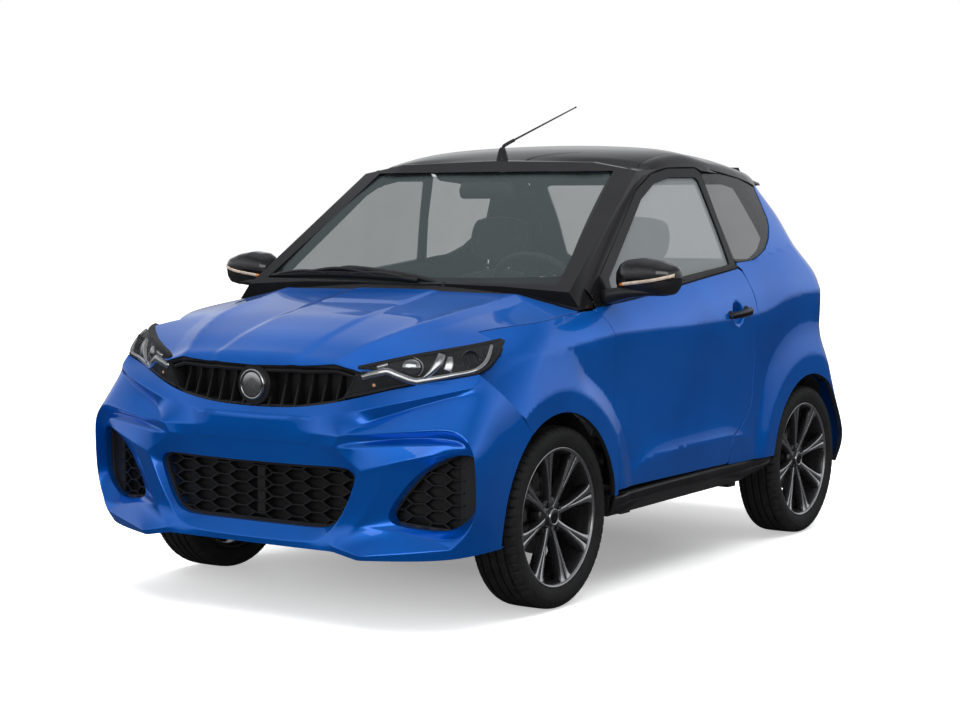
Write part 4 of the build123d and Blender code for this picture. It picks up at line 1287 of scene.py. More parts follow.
def build_bumper():
    bm = bmesh.new()
    cr = bm.edges.layers.float.get("crease_edge") or bm.edges.layers.float.new("crease_edge")
    vs = {}
    for k, (x, y, z) in CV.items():
        vs[k, 1] = bm.verts.new((x * K, y * K, z * K))
        vs[k, -1] = vs[k, 1] if x == 0 else bm.verts.new((-x * K, y * K, z * K))
    for f in CF.replace("\n", ";").split(";"):
        names = f.split()
        for sg in (1, -1):
            ring = [vs[n, sg] for n in (names if sg == 1 else names[::-1])]
            bm.faces.new(ring)
    def crease(a, b, v):
        e = bm.edges.get((a, b))
        if e is not None:
            e[cr] = v
    for val, lines in CREASES.items():
        for line in lines.split("|"):
            n = line.split()
            for a, b in zip(n, n[1:]):
                for sg in (1, -1):
                    crease(vs[a, sg], vs[b, sg], val)
    for line, (dx, dy, dz) in RIM_MOVES:
        n = line.split()
        for sg in (1, -1):
            made = {}
            for q in n:
                v = vs[q, sg]
                if (q, sg) not in made:
                    if CV[q][0] == 0 and (q, "c") in vs:
                        made[q, sg] = vs[q, "c"]
                    else:
                        made[q, sg] = bm.verts.new(v.co + Vector((dx * sg * K if CV[q][0] else 0, dy * K, dz * K)))
                        if CV[q][0] == 0:
                            vs[q, "c"] = made[q, sg]
            for a, b in zip(n, n[1:]):
                ring = [vs[a, sg], vs[b, sg], made[b, sg], made[a, sg]]
                try:
                    f = bm.faces.new(ring)
                except ValueError:
                    continue
                crease(made[a, sg], made[b, sg], 1.0)
    bmesh.ops.recalc_face_normals(bm, faces=bm.faces)
    bm.faces.ensure_lookup_table()
    if bm.faces[0].normal.y > 0:
        bmesh.ops.reverse_faces(bm, faces=bm.faces)
    me = bpy.data.meshes.new("bumper_skin")
    bm.to_mesh(me); bm.free()
    me.materials.append(M["paint"])
    me.polygons.foreach_set("use_smooth", np.full(len(me.polygons), True))
    o = bpy.data.objects.new("bumper_skin", me)
    bpy.context.scene.collection.objects.link(o)
    m = o.modifiers.new("subdivision", "SUBSURF")
    m.levels = m.render_levels = 4
    m.boundary_smooth = "PRESERVE_CORNERS"
    apply_mods(o)
    return sharpen(o, 48)


bumper = build_bumper()
put(bumper, "root", "body_paint", ["front_bumper"])


# ----------------------------------------------------------------- grilles
def rib(bm, a, b, w, y0f, depth):
    """A thin wall between two points of a front view (x, z)."""
    a = np.array(a, float); b = np.array(b, float)
    d = b - a; l = np.hypot(*d)
    if l < 1e-6:
        return
    n = np.array([-d[1], d[0]]) / l * w / 2
    ext = d / l * w * 0.28
    c = [a - n - ext, b - n + ext, b + n + ext, a + n - ext]
    front = [bm.verts.new((p[0] * K, (y0f(p[0], p[1]) + (1.6 if 0 else 0)) * K, p[1] * K)) for p in c]
    back = [bm.verts.new((p[0] * K, (y0f(p[0], p[1]) + depth) * K, p[1] * K)) for p in c]
    mid = [(a + b) / 2]
    bm.faces.new(front)
    for i in range(4):
        j = (i + 1) % 4
        bm.faces.new([front[j], front[i], back[i], back[j]])


def hex_mesh(name, poly, px, pz, flat, w, y0f, depth, mats="mesh", skip=lambda x, z: False, x_off=0.0):
    """Honeycomb of long cells inside a polygon, walls only."""
    bm = bmesh.new()
    P = np.array(poly)
    x0, z0 = P.min(0) - 100; x1, z1 = P.max(0) + 100
    done = set()
    cols = int((x1 - x0) / px) + 2
    c0 = round(x0 / px)
    for i in range(c0, c0 + cols):
        x = i * px + x_off
        for j in range(int(z0 / pz) - 1, int(z1 / pz) + 2):
            z = j * pz + (pz / 2 if i % 2 else 0)
            pts = [(x - flat / 2, z + pz / 2), (x + flat / 2, z + pz / 2), (x + px - flat / 2, z), (x + flat / 2, z - pz / 2), (x - flat / 2, z - pz / 2), (x - px + flat / 2, z)]
            for a, b in zip(pts, pts[1:] + pts[:1]):
                key = tuple(sorted(((round(a[0]), round(a[1])), (round(b[0]), round(b[1])))))
                if key in done:
                    continue
                done.add(key)
                # clip to the opening
                t = np.linspace(0, 1, 25)
                xs = a[0] + (b[0] - a[0]) * t; zs = a[1] + (b[1] - a[1]) * t
                ok = inside(xs, zs, P)
                if not ok.any():
                    continue
                i0, i1 = np.argmax(ok), len(ok) - 1 - np.argmax(ok[::-1])
                if i1 - i0 < 3 or skip((xs[i0] + xs[i1]) / 2, (zs[i0] + zs[i1]) / 2):
                    continue
                rib(bm, (xs[i0], zs[i0]), (xs[i1], zs[i1]), w, y0f, depth)
    bmesh.ops.recalc_face_normals(bm, faces=bm.faces)
    me = bpy.data.meshes.new(name)
    bm.to_mesh(me); bm.free()
    me.materials.append(M[mats])
    o = bpy.data.objects.new(name, me)
    bpy.context.scene.collection.objects.link(o)
    m = o.modifiers.new("bevel", "BEVEL"); m.width = 0.0009; m.segments = 2; m.limit_method = "ANGLE"
    return apply_mods(o)


LOW = [(0, 467), (171, 468), (285, 471), (350, 473), (381, 451), (368, 410), (321, 307), (272, 286), (200, 283), (0, 283)]
LOW = [(x, z) for x, z in LOW] + [(-x, z) for x, z in LOW[::-1] if x > 0]
def low_y(x, z):
    return -1444.0 + 30 * (x / 380) ** 2 * 0.2
low_mesh = hex_mesh("lower_mesh", LOW, 72.0, 36.0, 40.0, 4.6, low_y, 20)
low_back = panel("lower_mesh_back", LOW, surface(lambda x, z: -1418.0 + 0 * x, "front"), h=40, depth=3, mats="mesh")
rim_l = [tuple(p) for p in offset_loop(refine(LOW, 60), -9)]
low_rim = panel("lower_mesh_rim", [tuple(p) for p in offset_loop(refine(LOW, 60), 1)], surface(lambda x, z: -1449.0 + 0 * x, "front"), holes=[rim_l], h=24, depth=16, edge=1.0, mats="plastic")
strut = panel("lower_strut", rounded([(-13, 300), (13, 300), (13, 452), (-13, 452)], 4, 3), surface(lambda x, z: -1436.0 + 0 * x, "front"), h=12, depth=14, edge=2, mats="plastic")
for o in (low_mesh, low_back, low_rim, strut):
    put(o, "root", "black_plastic", ["lower_grilles"])

FOGP = [(655, 520), (566, 470), (508, 400), (450, 313), (553, 300), (655, 291), (722, 352), (729, 405), (728, 495), (722, 526)]
def fog_y(x, z):
    x = np.asarray(x, float)
    return -1414.0 + 0.30 * (x - 450) + 12
def fog_s(dy):
    return surface(lambda x, z: fog_y(x, z) + dy + 0 * z, "front")
fog_split = 662.0
fm_ = hex_mesh("side_mesh_left", [p for p in refine(FOGP, 12)], 58.0, 37.0, 34.0, 4.4, lambda x, z: float(fog_y(x, z)), 18, skip=lambda x, z: x > fog_split, x_off=18)
fback = panel("side_mesh_back_left", FOGP, fog_s(26), h=30, depth=3, mats="mesh")
fplate = panel("side_mesh_plate_left", [(fog_split, 300), (724, 356), (729, 405), (728, 495), (720, 524), (fog_split, 519)], fog_s(4), h=24, depth=10, edge=1.5, mats="plastic")
frim = panel("side_mesh_rim_left", [tuple(p) for p in offset_loop(refine(FOGP, 40), 1)], fog_s(-5), holes=[[tuple(p) for p in offset_loop(refine(FOGP, 40), -7)]], h=20, depth=14, edge=1.0, mats="plastic")
fog_l = join("side_intake_left", [fm_, fback, fplate, frim])
fog_r = mirrored(fog_l, "side_intake_right")
for o in (fog_l, fog_r):
    put(o, "root", "black_plastic", ["lower_grilles"])

# upper grille: deep slats with a kink, a thin frame and a plain badge
UP = [(0, 770), (200, 768), (374, 760), (368, 735), (326, 668), (300, 657), (160, 635), (0, 631)]
UP = UP + [(-x, z) for x, z in UP[::-1] if x > 0]
up_back = panel("grille_back", [tuple(p) for p in offset_loop(refine(UP, 50), 4)], surface(lambda x, z: front_y(x, z) + 52, "front"), h=30, depth=3, mats="mesh")
top_z = lambda x: 768.0 - 8 * (abs(x) / 374) ** 2
bot_z = lambda x: float(np.interp(abs(x), [0, 160, 300, 330, 374], [631, 635, 657, 676, 752]))


def slat(name, x):
    """One upright slat: its front edge drops straight, then kinks forward at half height."""
    zt, zb = top_z(x) + 4, bot_z(x) - 4
    zk = zb + 0.52 * (zt - zb)
    f = float(front_y(x, 700.0))
    prof = [(f + 36, zt), (f + 33, zk + 8), (f + 27, zk - 2), (f + 5, zb + 6), (f + 4, zb)]
    back = f + 66
    n = len(prof)
    w = 3.2
    V, F = [], []
    for sx in (-1, 1):
        for (y, z) in prof:
            V.append((x + sx * w * 0.55, y, z))
        for (y, z) in prof:
            V.append((x + sx * w * 1.2, y + 5, z))
        for (y, z) in prof:
            V.append((x + sx * w * 1.2 + sx * 1.0, back, z))
    m = 3 * n
    for b, s in ((0, 1), (m, -1)):
        for r in range(2):
            for i in range(n - 1):
                q = [b + r * n + i, b + r * n + i + 1, b + (r + 1) * n + i + 1, b + (r + 1) * n + i]
                F.append(q if s == 1 else q[::-1])
    for i in range(n - 1):
        F.append([i, m + i, m + i + 1, i + 1])
    o = obj_from(name, V, F, "satin", smooth=False)
    return o


slats = [slat("s%d" % i, i * 49.0) for i in range(-7, 8) if i != 0]
frame_loop = refine(UP, 40)
up_frame = panel("g_frame", [tuple(p) for p in offset_loop(frame_loop, 1.0)], surface(lambda x, z: front_y(x, z) + 5, "front"), holes=[[tuple(p) for p in offset_loop(frame_loop, -7.0)]], h=18, depth=40, edge=1.2, mats="satin")
grille = join("upper_slats", slats + [up_frame, up_back])
bmq = bmesh.new(); bmq.from_mesh(grille.data); bmesh.ops.recalc_face_normals(bmq, faces=bmq.faces); bmq.to_mesh(grille.data); bmq.free()
put(grille, "root", "black_plastic", ["upper_grille"])


def lathe(name, prof, mats, axis="x", centre=(0, 0, 0), n=64, sharp=38, idx=None):
    """Turned part: profile (along the axis, radius) spun about the axis."""
    V, F, I = [], [], []
    c = np.array(centre, float)
    for (a, r) in prof:
        for k in range(n):
            t = 2 * math.pi * k / n
            if axis == "x":
                V.append((c[0] + a, c[1] + r * math.cos(t), c[2] + r * math.sin(t)))
            elif axis == "y":
                V.append((c[0] + r * math.cos(t), c[1] + a, c[2] + r * math.sin(t)))
            else:
                V.append((c[0] + r * math.cos(t), c[1] + r * math.sin(t), c[2] + a))
    for i in range(len(prof) - 1):
        for k in range(n):
            q = [i * n + k, i * n + (k + 1) % n, (i + 1) * n + (k + 1) % n, (i + 1) * n + k]
            F.append(q)
            I.append(idx[i] if idx else 0)
    o = obj_from(name, V, F, mats, idx=I)
    bm = bmesh.new(); bm.from_mesh(o.data)
    bmesh.ops.remove_doubles(bm, verts=bm.verts, dist=1e-6)
    bmesh.ops.recalc_face_normals(bm, faces=bm.faces)
    bm.to_mesh(o.data); bm.free()
    return sharpen(o, sharp)


ry = float(FRONT_C(699.0))
badge = lathe("badge", [(12, 0.01), (-3, 0.01), (-3, 16), (-2, 36), (-1.2, 38), (-3.0, 40), (-4.0, 42.5), (-3.4, 45), (-1, 47), (6, 48), (6.5, 60), (9, 62), (40, 62)], ["silver", "chrome", "satin"], "y", (0, ry - 6, 699), 72,
              idx=[0, 0, 0, 2, 2, 1, 1, 1, 1, 2, 2, 2])
put(badge, "root", "alloy")


# ================================================================= headlamps
LU = [(372, -1440, 766), (452, -1402, 786), (520, -1357, 803), (590, -1300, 819), (640, -1244, 832), (676, -1190, 842), (693, -1150, 848)]
LL = [(328, -1452, 672), (400, -1428, 688), (470, -1396, 707), (545, -1353, 724), (618, -1313, 737), (688, -1285, 752), (707, -1240, 780), (706, -1200, 808), (697, -1153, 845)]


def spline3(pts):
    p = np.array(pts, float)
    d = np.r_[0, np.cumsum(np.linalg.norm(np.diff(p, axis=0), axis=1))]; d /= d[-1]
    fs = [mono(list(zip(d, p[:, k]))) for k in range(3)]
    return lambda u: np.stack([f(u) for f in fs], -1)


SU, SL = spline3(LU), spline3(LL)
OUTW = np.array([0.50, -0.84, 0.20]); OUTW /= np.linalg.norm(OUTW)


def lamp(u, v, d=0.0):
    """Point of the lamp: u along, v up, d inwards."""
    u = np.asarray(u, float); v = np.asarray(v, float)
    p = SL(u) * (1 - v)[..., None] + SU(u) * v[..., None]
    e = 1e-3
    tu = (SL(np.clip(u + e, 0, 1)) - SL(np.clip(u - e, 0, 1))) * (1 - v)[..., None] + (SU(np.clip(u + e, 0, 1)) - SU(np.clip(u - e, 0, 1))) * v[..., None]
    tv = SU(u) - SL(u)
    n = np.cross(tu, tv)
    n /= np.maximum(np.linalg.norm(n, axis=-1), 1e-9)[..., None]
    n = np.where((n * OUTW).sum(-1)[..., None] < 0, -n, n)
    n = 0.5 * n + 0.5 * OUTW
    n /= np.linalg.norm(n, axis=-1)[..., None]
    bulge = 10.0 * 4 * v * (1 - v) * np.clip(np.minimum(u * 6, (1 - u) * 6), 0, 1)
    return p + n * (bulge - d)[..., None] if np.ndim(d) else p + n * (bulge - d)[..., None]


def lamp_grid(name, u0, u1, v0, v1, nu, nv, d, mats, wall=0.0, closed=True):
    """A sheet of the lamp between two u and two v limits (functions or numbers) at depth d, with side walls going in."""
    us = np.linspace(0, 1, nu); vs_ = np.linspace(0, 1, nv)
    rows = []
    f = lambda q, t: q(t) if callable(q) else q + 0 * t
    U = u0 + (u1 - u0) * us
    for t in vs_:
        a, b = f(v0, U), f(v1, U)
        rows.append(lamp(U, a + (b - a) * t, np.full(nu, float(d)) if not callable(d) else d(U, a + (b - a) * t)))
    V = np.concatenate(rows)
    F = [[r * nu + i, r * nu + i + 1, (r + 1) * nu + i + 1, (r + 1) * nu + i] for r in range(nv - 1) for i in range(nu - 1)]
    if wall:
        ring = [i for i in range(nu)] + [r * nu + nu - 1 for r in range(1, nv)] + [(nv - 1) * nu + i for i in range(nu - 2, -1, -1)] + [r * nu for r in range(nv - 2, 0, -1)]
        base = len(V)
        cen = V[ring]
        V = np.concatenate([V, cen - OUTW * wall])
        n = len(ring)
        F += [[ring[i], base + i, base + (i + 1) % n, ring[(i + 1) % n]] for i in range(n)]
    o = obj_from(name, V, F, mats)
    bm = bmesh.new(); bm.from_mesh(o.data)
    bmesh.ops.remove_doubles(bm, verts=bm.verts, dist=1e-6)
    bmesh.ops.recalc_face_normals(bm, faces=bm.faces)
    bm.faces.ensure_lookup_table()
    fc = bm.faces[len(bm.faces) // 3]
    c = sum((f_.normal.dot(Vector(OUTW)) for f_ in list(bm.faces)[:(nu - 1) * (nv - 1)]), 0.0)
    if c < 0:
        bmesh.ops.reverse_faces(bm, faces=bm.faces)
    bm.to_mesh(o.data); bm.free()
    return sharpen(o, 40)


def lamp_bar(name, path, width, d, mats, wall=14.0, raise_mid=3.0, n=60):
    """A raised bar along a path of (u, v) points, width in mm."""
    p = np.array(path, float)
    t = np.r_[0, np.cumsum(np.hypot(np.diff(p[:, 0]) * 460, np.diff(p[:, 1]) * 90))]; t /= t[-1]
    q = np.linspace(0, 1, n)
    fu, fv = mono(list(zip(t, p[:, 0]))), mono(list(zip(t, p[:, 1])))
    wd = np.interp(q, np.linspace(0, 1, len(width)), width) if np.ndim(width) else np.full(n, float(width))
    c = lamp(fu(q), fv(q), np.full(n, float(d)))
    tan = np.gradient(c, axis=0); tan /= np.linalg.norm(tan, axis=1)[:, None]
    nn = OUTW[None, :] - tan * (tan * OUTW).sum(1)[:, None]; nn /= np.linalg.norm(nn, axis=1)[:, None]
    sd = np.cross(nn, tan)
    rows = []
    for off, up in ((-0.5, -wall), (-0.5, 0.0), (-0.36, raise_mid * 0.8), (0, raise_mid), (0.36, raise_mid * 0.8), (0.5, 0.0), (0.5, -wall)):
        rows.append(c + sd * (off * wd)[:, None] + nn * up)
    V = np.concatenate(rows); R = len(rows)
    F = [[r * n + i, r * n + i + 1, (r + 1) * n + i + 1, (r + 1) * n + i] for r in range(R - 1) for i in range(n - 1)]
    F += [[r * n for r in range(R)], [r * n + n - 1 for r in range(R)][::-1]]
    o = obj_from(name, V, F, mats)
    bm = bmesh.new(); bm.from_mesh(o.data); bmesh.ops.recalc_face_normals(bm, faces=bm.faces)
    bm.to_mesh(o.data); bm.free()
    return sharpen(o, 40)


def ball(name, centre, axis_n, prof, mats, n=40, idx=None):
    """Turned part whose axis points along axis_n."""
    o = lathe(name, prof, mats, "z", (0, 0, 0), n, idx=idx)
    q = Vector(axis_n).to_track_quat("Z", "Y").to_matrix().to_4x4()
    o.data.transform(Matrix.Translation(Vector(centre) * K) @ q)
    return o


def headlamp():
    parts = []
    lens = lamp_grid("lens", 0.0, 0.995, 0.0, 1.0, 70, 16, 1.0, "lens", wall=0)
    bowl = lamp_grid("bowl", 0.0, 0.99, 0.02, 0.98, 60, 12, lambda u, v: 6 + 6 * np.clip(4 * v * (1 - v), 0, 1) ** 0.5 * np.clip(np.minimum(u * 9, (1 - u) * 7), 0, 1), "lamp_black")
    skirt = lamp_grid("skirt", 0.0, 0.992, 0.0, 1.0, 60, 8, lambda u, v: 3.0 + 12 * np.clip(np.minimum(np.minimum(v, 1 - v) * 12, 1), 0, 1), "lamp_black", wall=34)
    parts += [bowl]
    # rim of the bowl
    parts.append(lamp_bar("rim_low", [(0.0, 0.03), (0.3, 0.03), (0.6, 0.04), (0.8, 0.05), (0.93, 0.08)], 11, 6, "lamp_black", wall=30))
    parts.append(lamp_bar("rim_top", [(0.0, 0.97), (0.3, 0.97), (0.6, 0.97), (0.8, 0.96), (0.97, 0.93)], 11, 6, "lamp_black", wall=30, raise_mid=1.5))
    parts.append(lamp_bar("rim_in", [(0.015, 0.04), (0.015, 0.96)], 8, 9, "lamp_black", wall=30, n=12))
    # running light: silver bar that dips under the projector and climbs the outer edge
    parts.append(lamp_bar("drl", [(0.055, 0.60), (0.12, 0.64), (0.195, 0.64), (0.28, 0.40), (0.355, 0.15), (0.395, 0.07), (0.47, 0.07), (0.58, 0.09), (0.69, 0.12), (0.76, 0.18), (0.81, 0.33), (0.85, 0.54), (0.872, 0.70)], [18, 21, 22, 22, 21, 17, 15, 13, 12, 11], 5, "silver", wall=12, raise_mid=3.0, n=120))
    parts.append(lamp_bar("drl_in", [(0.135, 0.84), (0.205, 0.86)], 11, 6, "silver", wall=10, n=14))
    parts.append(lamp_bar("divider", [(0.425, 0.14), (0.475, 0.34), (0.52, 0.62), (0.545, 0.86)], [9, 18, 25, 24], 5, "silver", wall=12, raise_mid=3, n=40))
    parts.append(lamp_bar("facet", [(0.555, 0.26), (0.575, 0.46), (0.592, 0.72)], [26, 24, 14], 8, "silver", wall=10, raise_mid=1, n=20))
    # projector
    c = lamp(np.array(0.345), np.array(0.60), np.array(17.0))
    pj = ball("projector", c, (0.42, -0.90, 0.06), [(-14, 33), (-6, 33), (1, 32), (2, 30.5), (-1, 29), (-4, 28), (-1, 27), (3, 23), (7, 15), (9, 8), (9.5, 0.01)], ["silver", "chrome", "lens_glass"], 48, idx=[0, 0, 0, 0, 1, 1, 1, 2, 2, 2])
    # the bowl round the lens is wider than it is high
    side_ = np.array([0.90, 0.42, 0.0]); side_ /= np.linalg.norm(side_)
    c_ = np.asarray(c, float).reshape(3) * K
    co_ = np.array([v.co[:] for v in pj.data.vertices])
    co_ += ((co_ - c_) @ side_)[:, None] * side_ * 0.28
    pj.data.vertices.foreach_set("co", co_.ravel())
    parts.append(pj)
    # main reflector and its bulb cap
    c2 = lamp(np.array(0.705), np.array(0.55), np.array(21.0))
    parts.append(ball("reflector", c2, (0.50, -0.85, 0.08), [(9, 27), (8, 25), (2, 22), (-5, 15), (-8, 9), (-8, 5), (3, 5), (6, 3.5), (7, 0.01)], ["dark_chrome", "chrome"], 36, idx=[1, 0, 0, 0, 0, 1, 1, 1]))
    for k in range(5):
        uu = 0.645 + 0.038 * k
        parts.append(lamp_bar("fin%d" % k, [(uu, 0.30), (uu + 0.010, 0.70)], 4, 9, "dark_chrome", wall=6, raise_mid=1, n=8))
    # turn signal bulb in the lower inner corner
    c3 = lamp(np.array(0.15), np.array(0.26), np.array(15.0))
    parts.append(ball("signal", c3, (0.3, -0.95, 0.0), [(-8, 15), (0, 15), (2, 13.5), (-4, 9), (-5, 6), (-1, 6), (3, 5.5), (6, 3), (6.5, 0.01)], ["dark_chrome", "bulb"], 28, idx=[0, 0, 0, 0, 1, 1, 1, 1]))
    inner = join("headlamp_inside_left", parts)
    lens.name = "headlamp_lens_left"; lens.data.name = lens.name
    bpy.data.objects.remove(skirt)
    return lens, inner


M["lens_glass"] = metal("projector_glass", (0.55, 0.57, 0.59), 0.05)
lens_l, in_l = headlamp()
lens_r, in_r = mirrored(lens_l, "headlamp_lens_right"), mirrored(in_l, "headlamp_inside_right")
for o in (lens_l, lens_r, in_l, in_r):
    put(o, "root", "lamp_lens", ["headlamps"])


# blank plate field of the front bumper: a faint raised rectangle laid on the moulded skin
from mathutils.bvhtree import BVHTree
bskin = bpy.data.objects["bumper_skin"]
tree = BVHTree.FromPolygons([v.co for v in bskin.data.vertices], [list(p_.vertices) for p_ in bskin.data.polygons])


def front_hit(x, z):
    h = tree.ray_cast(Vector((x, -3000.0, z)) * K, Vector((0, 1, 0)))
    return h[0].y / K if h[0] is not None else None


V, F = [], []
nx, nz = 44, 12
ok_field = True
for i in range(nx):
    for j in range(nz):
        x = -228 + 456 * i / (nx - 1); z = 522 + 98 * j / (nz - 1)
        y = front_hit(x, z)
        if y is None:
            ok_field = False; y = -1470.0
        edge_ = 0.0 if (i in (0, nx - 1) or j in (0, nz - 1)) else 1.0
        V.append((x, y + 2.0 - 3.6 * edge_, z))
F = [[i * nz + j, (i + 1) * nz + j, (i + 1) * nz + j + 1, i * nz + j + 1] for i in range(nx - 1) for j in range(nz - 1)]
if ok_field:
    pf = obj_from("front_plate_field", V, F, "paint")
    bm = bmesh.new(); bm.from_mesh(pf.data); bmesh.ops.recalc_face_normals(bm, faces=bm.faces)
    bm.faces.ensure_lookup_table()
    if bm.faces[200].normal.y > 0:
        bmesh.ops.reverse_faces(bm, faces=bm.faces)
    bm.to_mesh(pf.data); bm.free()
    put(sharpen(pf, 30), "root", "body_paint")

# ================================================================= wheels
def rim(name, cx, cy, cz=283.0, side=1):
    """Eight-spoke rim: machined faces on black, each spoke split by a groove towards the rim.  side 1 faces +x."""
    parts = []
    prof = [(66, 217.5), (69.5, 217), (70.5, 215), (70, 211.5), (67.5, 208.5), (65, 207), (63.5, 205.5), (58, 203.5), (40, 201.5), (0, 199.5), (-40, 198.5), (-58, 201), (-64, 205), (-68, 212), (-69, 217), (-66, 218), (-60, 217), (-56, 206), (-40, 203), (0, 203), (40, 204.5), (54, 207), (58, 216.5), (66, 217.5)]
    ix = [1, 1, 1, 1, 1, 0, 0] + [0] * 16
    parts.append(lathe("r", prof, ["wheel_black", "machined"], "x", (0, 0, 0), 120, idx=ix, sharp=30))
    R = [30, 44, 58, 72, 92, 112, 122, 136, 152, 168, 182, 193, 200, 206.5]
    wf = mono([(30, 12), (58, 9.5), (92, 10), (122, 12.5), (152, 16.5), (182, 22), (193, 25.5), (200, 30), (207, 38)])
    gf = mono([(112, 0), (122, 0.9), (150, 1.8), (207, 2.9)])
    xf = mono([(30, 42), (58, 45), (92, 50), (152, 57.5), (193, 62.5), (207, 65)])
    for k in range(8):
        a = 2 * math.pi * (k + 0.32) / 8
        V, F, I = [], [], []
        m = 12
        for r in R:
            w, g, x = float(wf(r)), float(gf(r)), float(xf(r))
            dep = 30 if r < 190 else 22
            g = max(g, 0.05)
            row = [(-w - 4.5, x - dep), (-w, x - 2.4), (-w + 1.8, x - 0.2), (-g - 0.8, x), (-g, x - 0.9), (-g, x - 4.5), (g, x - 4.5), (g, x - 0.9), (g + 0.8, x), (w - 1.8, x - 0.2), (w, x - 2.4), (w + 4.5, x - dep)]
            if r < 112:
                row = [(t, (x - 0.05 if abs(t) < 1.2 else q)) for t, q in row]
            for t, q in row:
                V.append((q, r * math.cos(a) - t * math.sin(a), r * math.sin(a) + t * math.cos(a)))
        seg = [0, 0, 1, 1, 0, 0, 0, 1, 1, 0, 0]
        for i in range(len(R) - 1):
            for j in range(m - 1):
                F.append([i * m + j, (i + 1) * m + j, (i + 1) * m + j + 1, i * m + j + 1])
                mid_join = R[i] < 112 and j in (4, 5, 6)
                I.append(1 if (seg[j] or mid_join) else 0)
            F.append([i * m + m - 1, (i + 1) * m + m - 1, (i + 1) * m, i * m]); I.append(0)
        o = obj_from("sp%d" % k, V, F, ["wheel_black", "machined"], idx=I)
        bm = bmesh.new(); bm.from_mesh(o.data); bmesh.ops.recalc_face_normals(bm, faces=bm.faces); bm.to_mesh(o.data); bm.free()
        parts.append(sharpen(o, 28))
    # hub with its plain cap
    parts.append(lathe("h", [(54, 0.01), (54.2, 12), (53.6, 19), (52.6, 21), (53.8, 22), (54.4, 24), (53.6, 26), (50, 27.5), (44, 29), (42, 31), (41.5, 40), (41, 58), (38, 62), (12, 66), (8, 60), (-24, 58), (-26, 50), (-26, 0.01)],
                       ["wheel_black", "machined", "dark_chrome"], "x", (0, 0, 0), 72, idx=[2, 2, 2, 1, 1, 1, 1, 0, 0, 0, 0, 0, 0, 0, 0, 0, 0], sharp=30))
    for k in range(4):
        a = 2 * math.pi * (k + 0.36) / 4
        c = (0, 45.5 * math.cos(a), 45.5 * math.sin(a))
        parts.append(lathe("b", [(40, 10.5), (43.5, 10.2), (44.5, 9), (38.5, 8.6)], "wheel_black", "x", c, 24))
        parts.append(lathe("n", [(38, 6.6), (50, 6.6), (51.5, 5.4), (51.5, 3.4), (48, 3.0), (48, 0.01)], "dark_chrome", "x", c, 6, sharp=20))
    a = 2 * math.pi * 0.19
    parts.append(lathe("v", [(48, 3.4), (60, 3.0), (66, 2.6), (67, 0.01)], "satin", "x", (0, 196 * math.cos(a), 196 * math.sin(a)), 12))
    # brake disc with its hat, turning with the wheel
    parts.append(lathe("d", [(-9, 60), (-9, 62), (-9.2, 70), (-10, 72), (-10, 117), (-10.8, 118), (-15, 118), (-15, 112), (-18, 112), (-18, 118), (-22, 118), (-22.6, 117), (-22.6, 62)], ["disc"], "x", (0, 0, 0), 80, sharp=25))
    o = join(name, parts)
    if side < 0:
        o.data.transform(Matrix.Scale(-1, 4, Vector((1, 0, 0))))
        o.data.flip_normals()
    o.data.transform(Matrix.Translation(Vector((cx, cy, cz)) * K))
    return o


def tyre(name, cx, cy, cz=283.0, side=1):
    """Road tyre: rounded sidewalls with bead and rim-guard lines, four ribs and siped shoulders."""
    half = [(57, 206, 0), (62, 208, 0), (66.5, 213, 0), (69.5, 218.5, 0), (71.5, 219.5, 0), (73.6, 222.5, 0), (74.6, 223.2, 0), (76.6, 230, 0), (77.8, 233.6, 0), (78.6, 234, 0), (79.6, 240, 0), (80.3, 249, 0), (79.8, 256.5, 0),
            (79.2, 257.2, 0), (78.6, 261, 0), (77.2, 265.6, 1), (75.4, 269.6, 2), (73.0, 273.2, 2), (70, 276.3, 2), (66, 278.8, 2), (61, 280.6, 2), (55, 281.7, 2), (48.6, 282.3, 2), (48, 281.8, 0), (47.2, 275.8, 0), (42, 275.6, 0), (41.2, 282.2, 0), (40.4, 282.6, 0),
            (28, 282.85, 3), (18.2, 282.9, 3), (17.6, 282.4, 0), (16.8, 276, 0), (11.4, 276, 0), (10.6, 282.4, 0), (10, 282.95, 0), (0, 283.0, 3)]
    prof = half + [(-a, r, t) for a, r, t in half[::-1][1:]]
    n = 360
    V = np.zeros((len(prof), n, 3))
    th = np.arange(n) * 2 * math.pi / n
    ph = np.arange(n) % 6
    for i, (a, r, t) in enumerate(prof):
        skew = 0
        if t == 2:
            ph2 = (np.arange(n) + (0 if a > 0 else 3)) % 6
            rr = r - np.where(ph2 >= 5, 4.6, 0.0)
        elif t == 1:
            ph2 = (np.arange(n) + (0 if a > 0 else 3)) % 6
            rr = r - np.where(ph2 >= 5, 2.2, 0.0)
        elif t == 3 and abs(a) > 1:
            ph2 = (np.arange(n) + (2 if a > 0 else 5)) % 12
            rr = r - np.where(ph2 >= 11, 3.0, 0.0)
        else:
            rr = np.full(n, r)
        V[i, :, 0] = a
        V[i, :, 1] = rr * np.cos(th); V[i, :, 2] = rr * np.sin(th)
    m = len(prof)
    ii, kk_ = np.meshgrid(np.arange(m - 1), np.arange(n), indexing="ij")
    k2 = (kk_ + 1) % n
    F = np.stack([ii * n + kk_, (ii + 1) * n + kk_, (ii + 1) * n + k2, ii * n + k2], -1).reshape(-1, 4)
    Vf = V.reshape(-1, 3).copy()
    if side < 0:
        Vf[:, 0] *= -1; F = F[:, ::-1]
    Vf[:, 2] += 0
    Vf += np.array([cx, cy, cz])
    o = obj_from(name, Vf, F, "rubber")
    bm = bmesh.new(); bm.from_mesh(o.data); bmesh.ops.recalc_face_normals(bm, faces=bm.faces); bm.to_mesh(o.data); bm.free()
    return sharpen(o, 32)


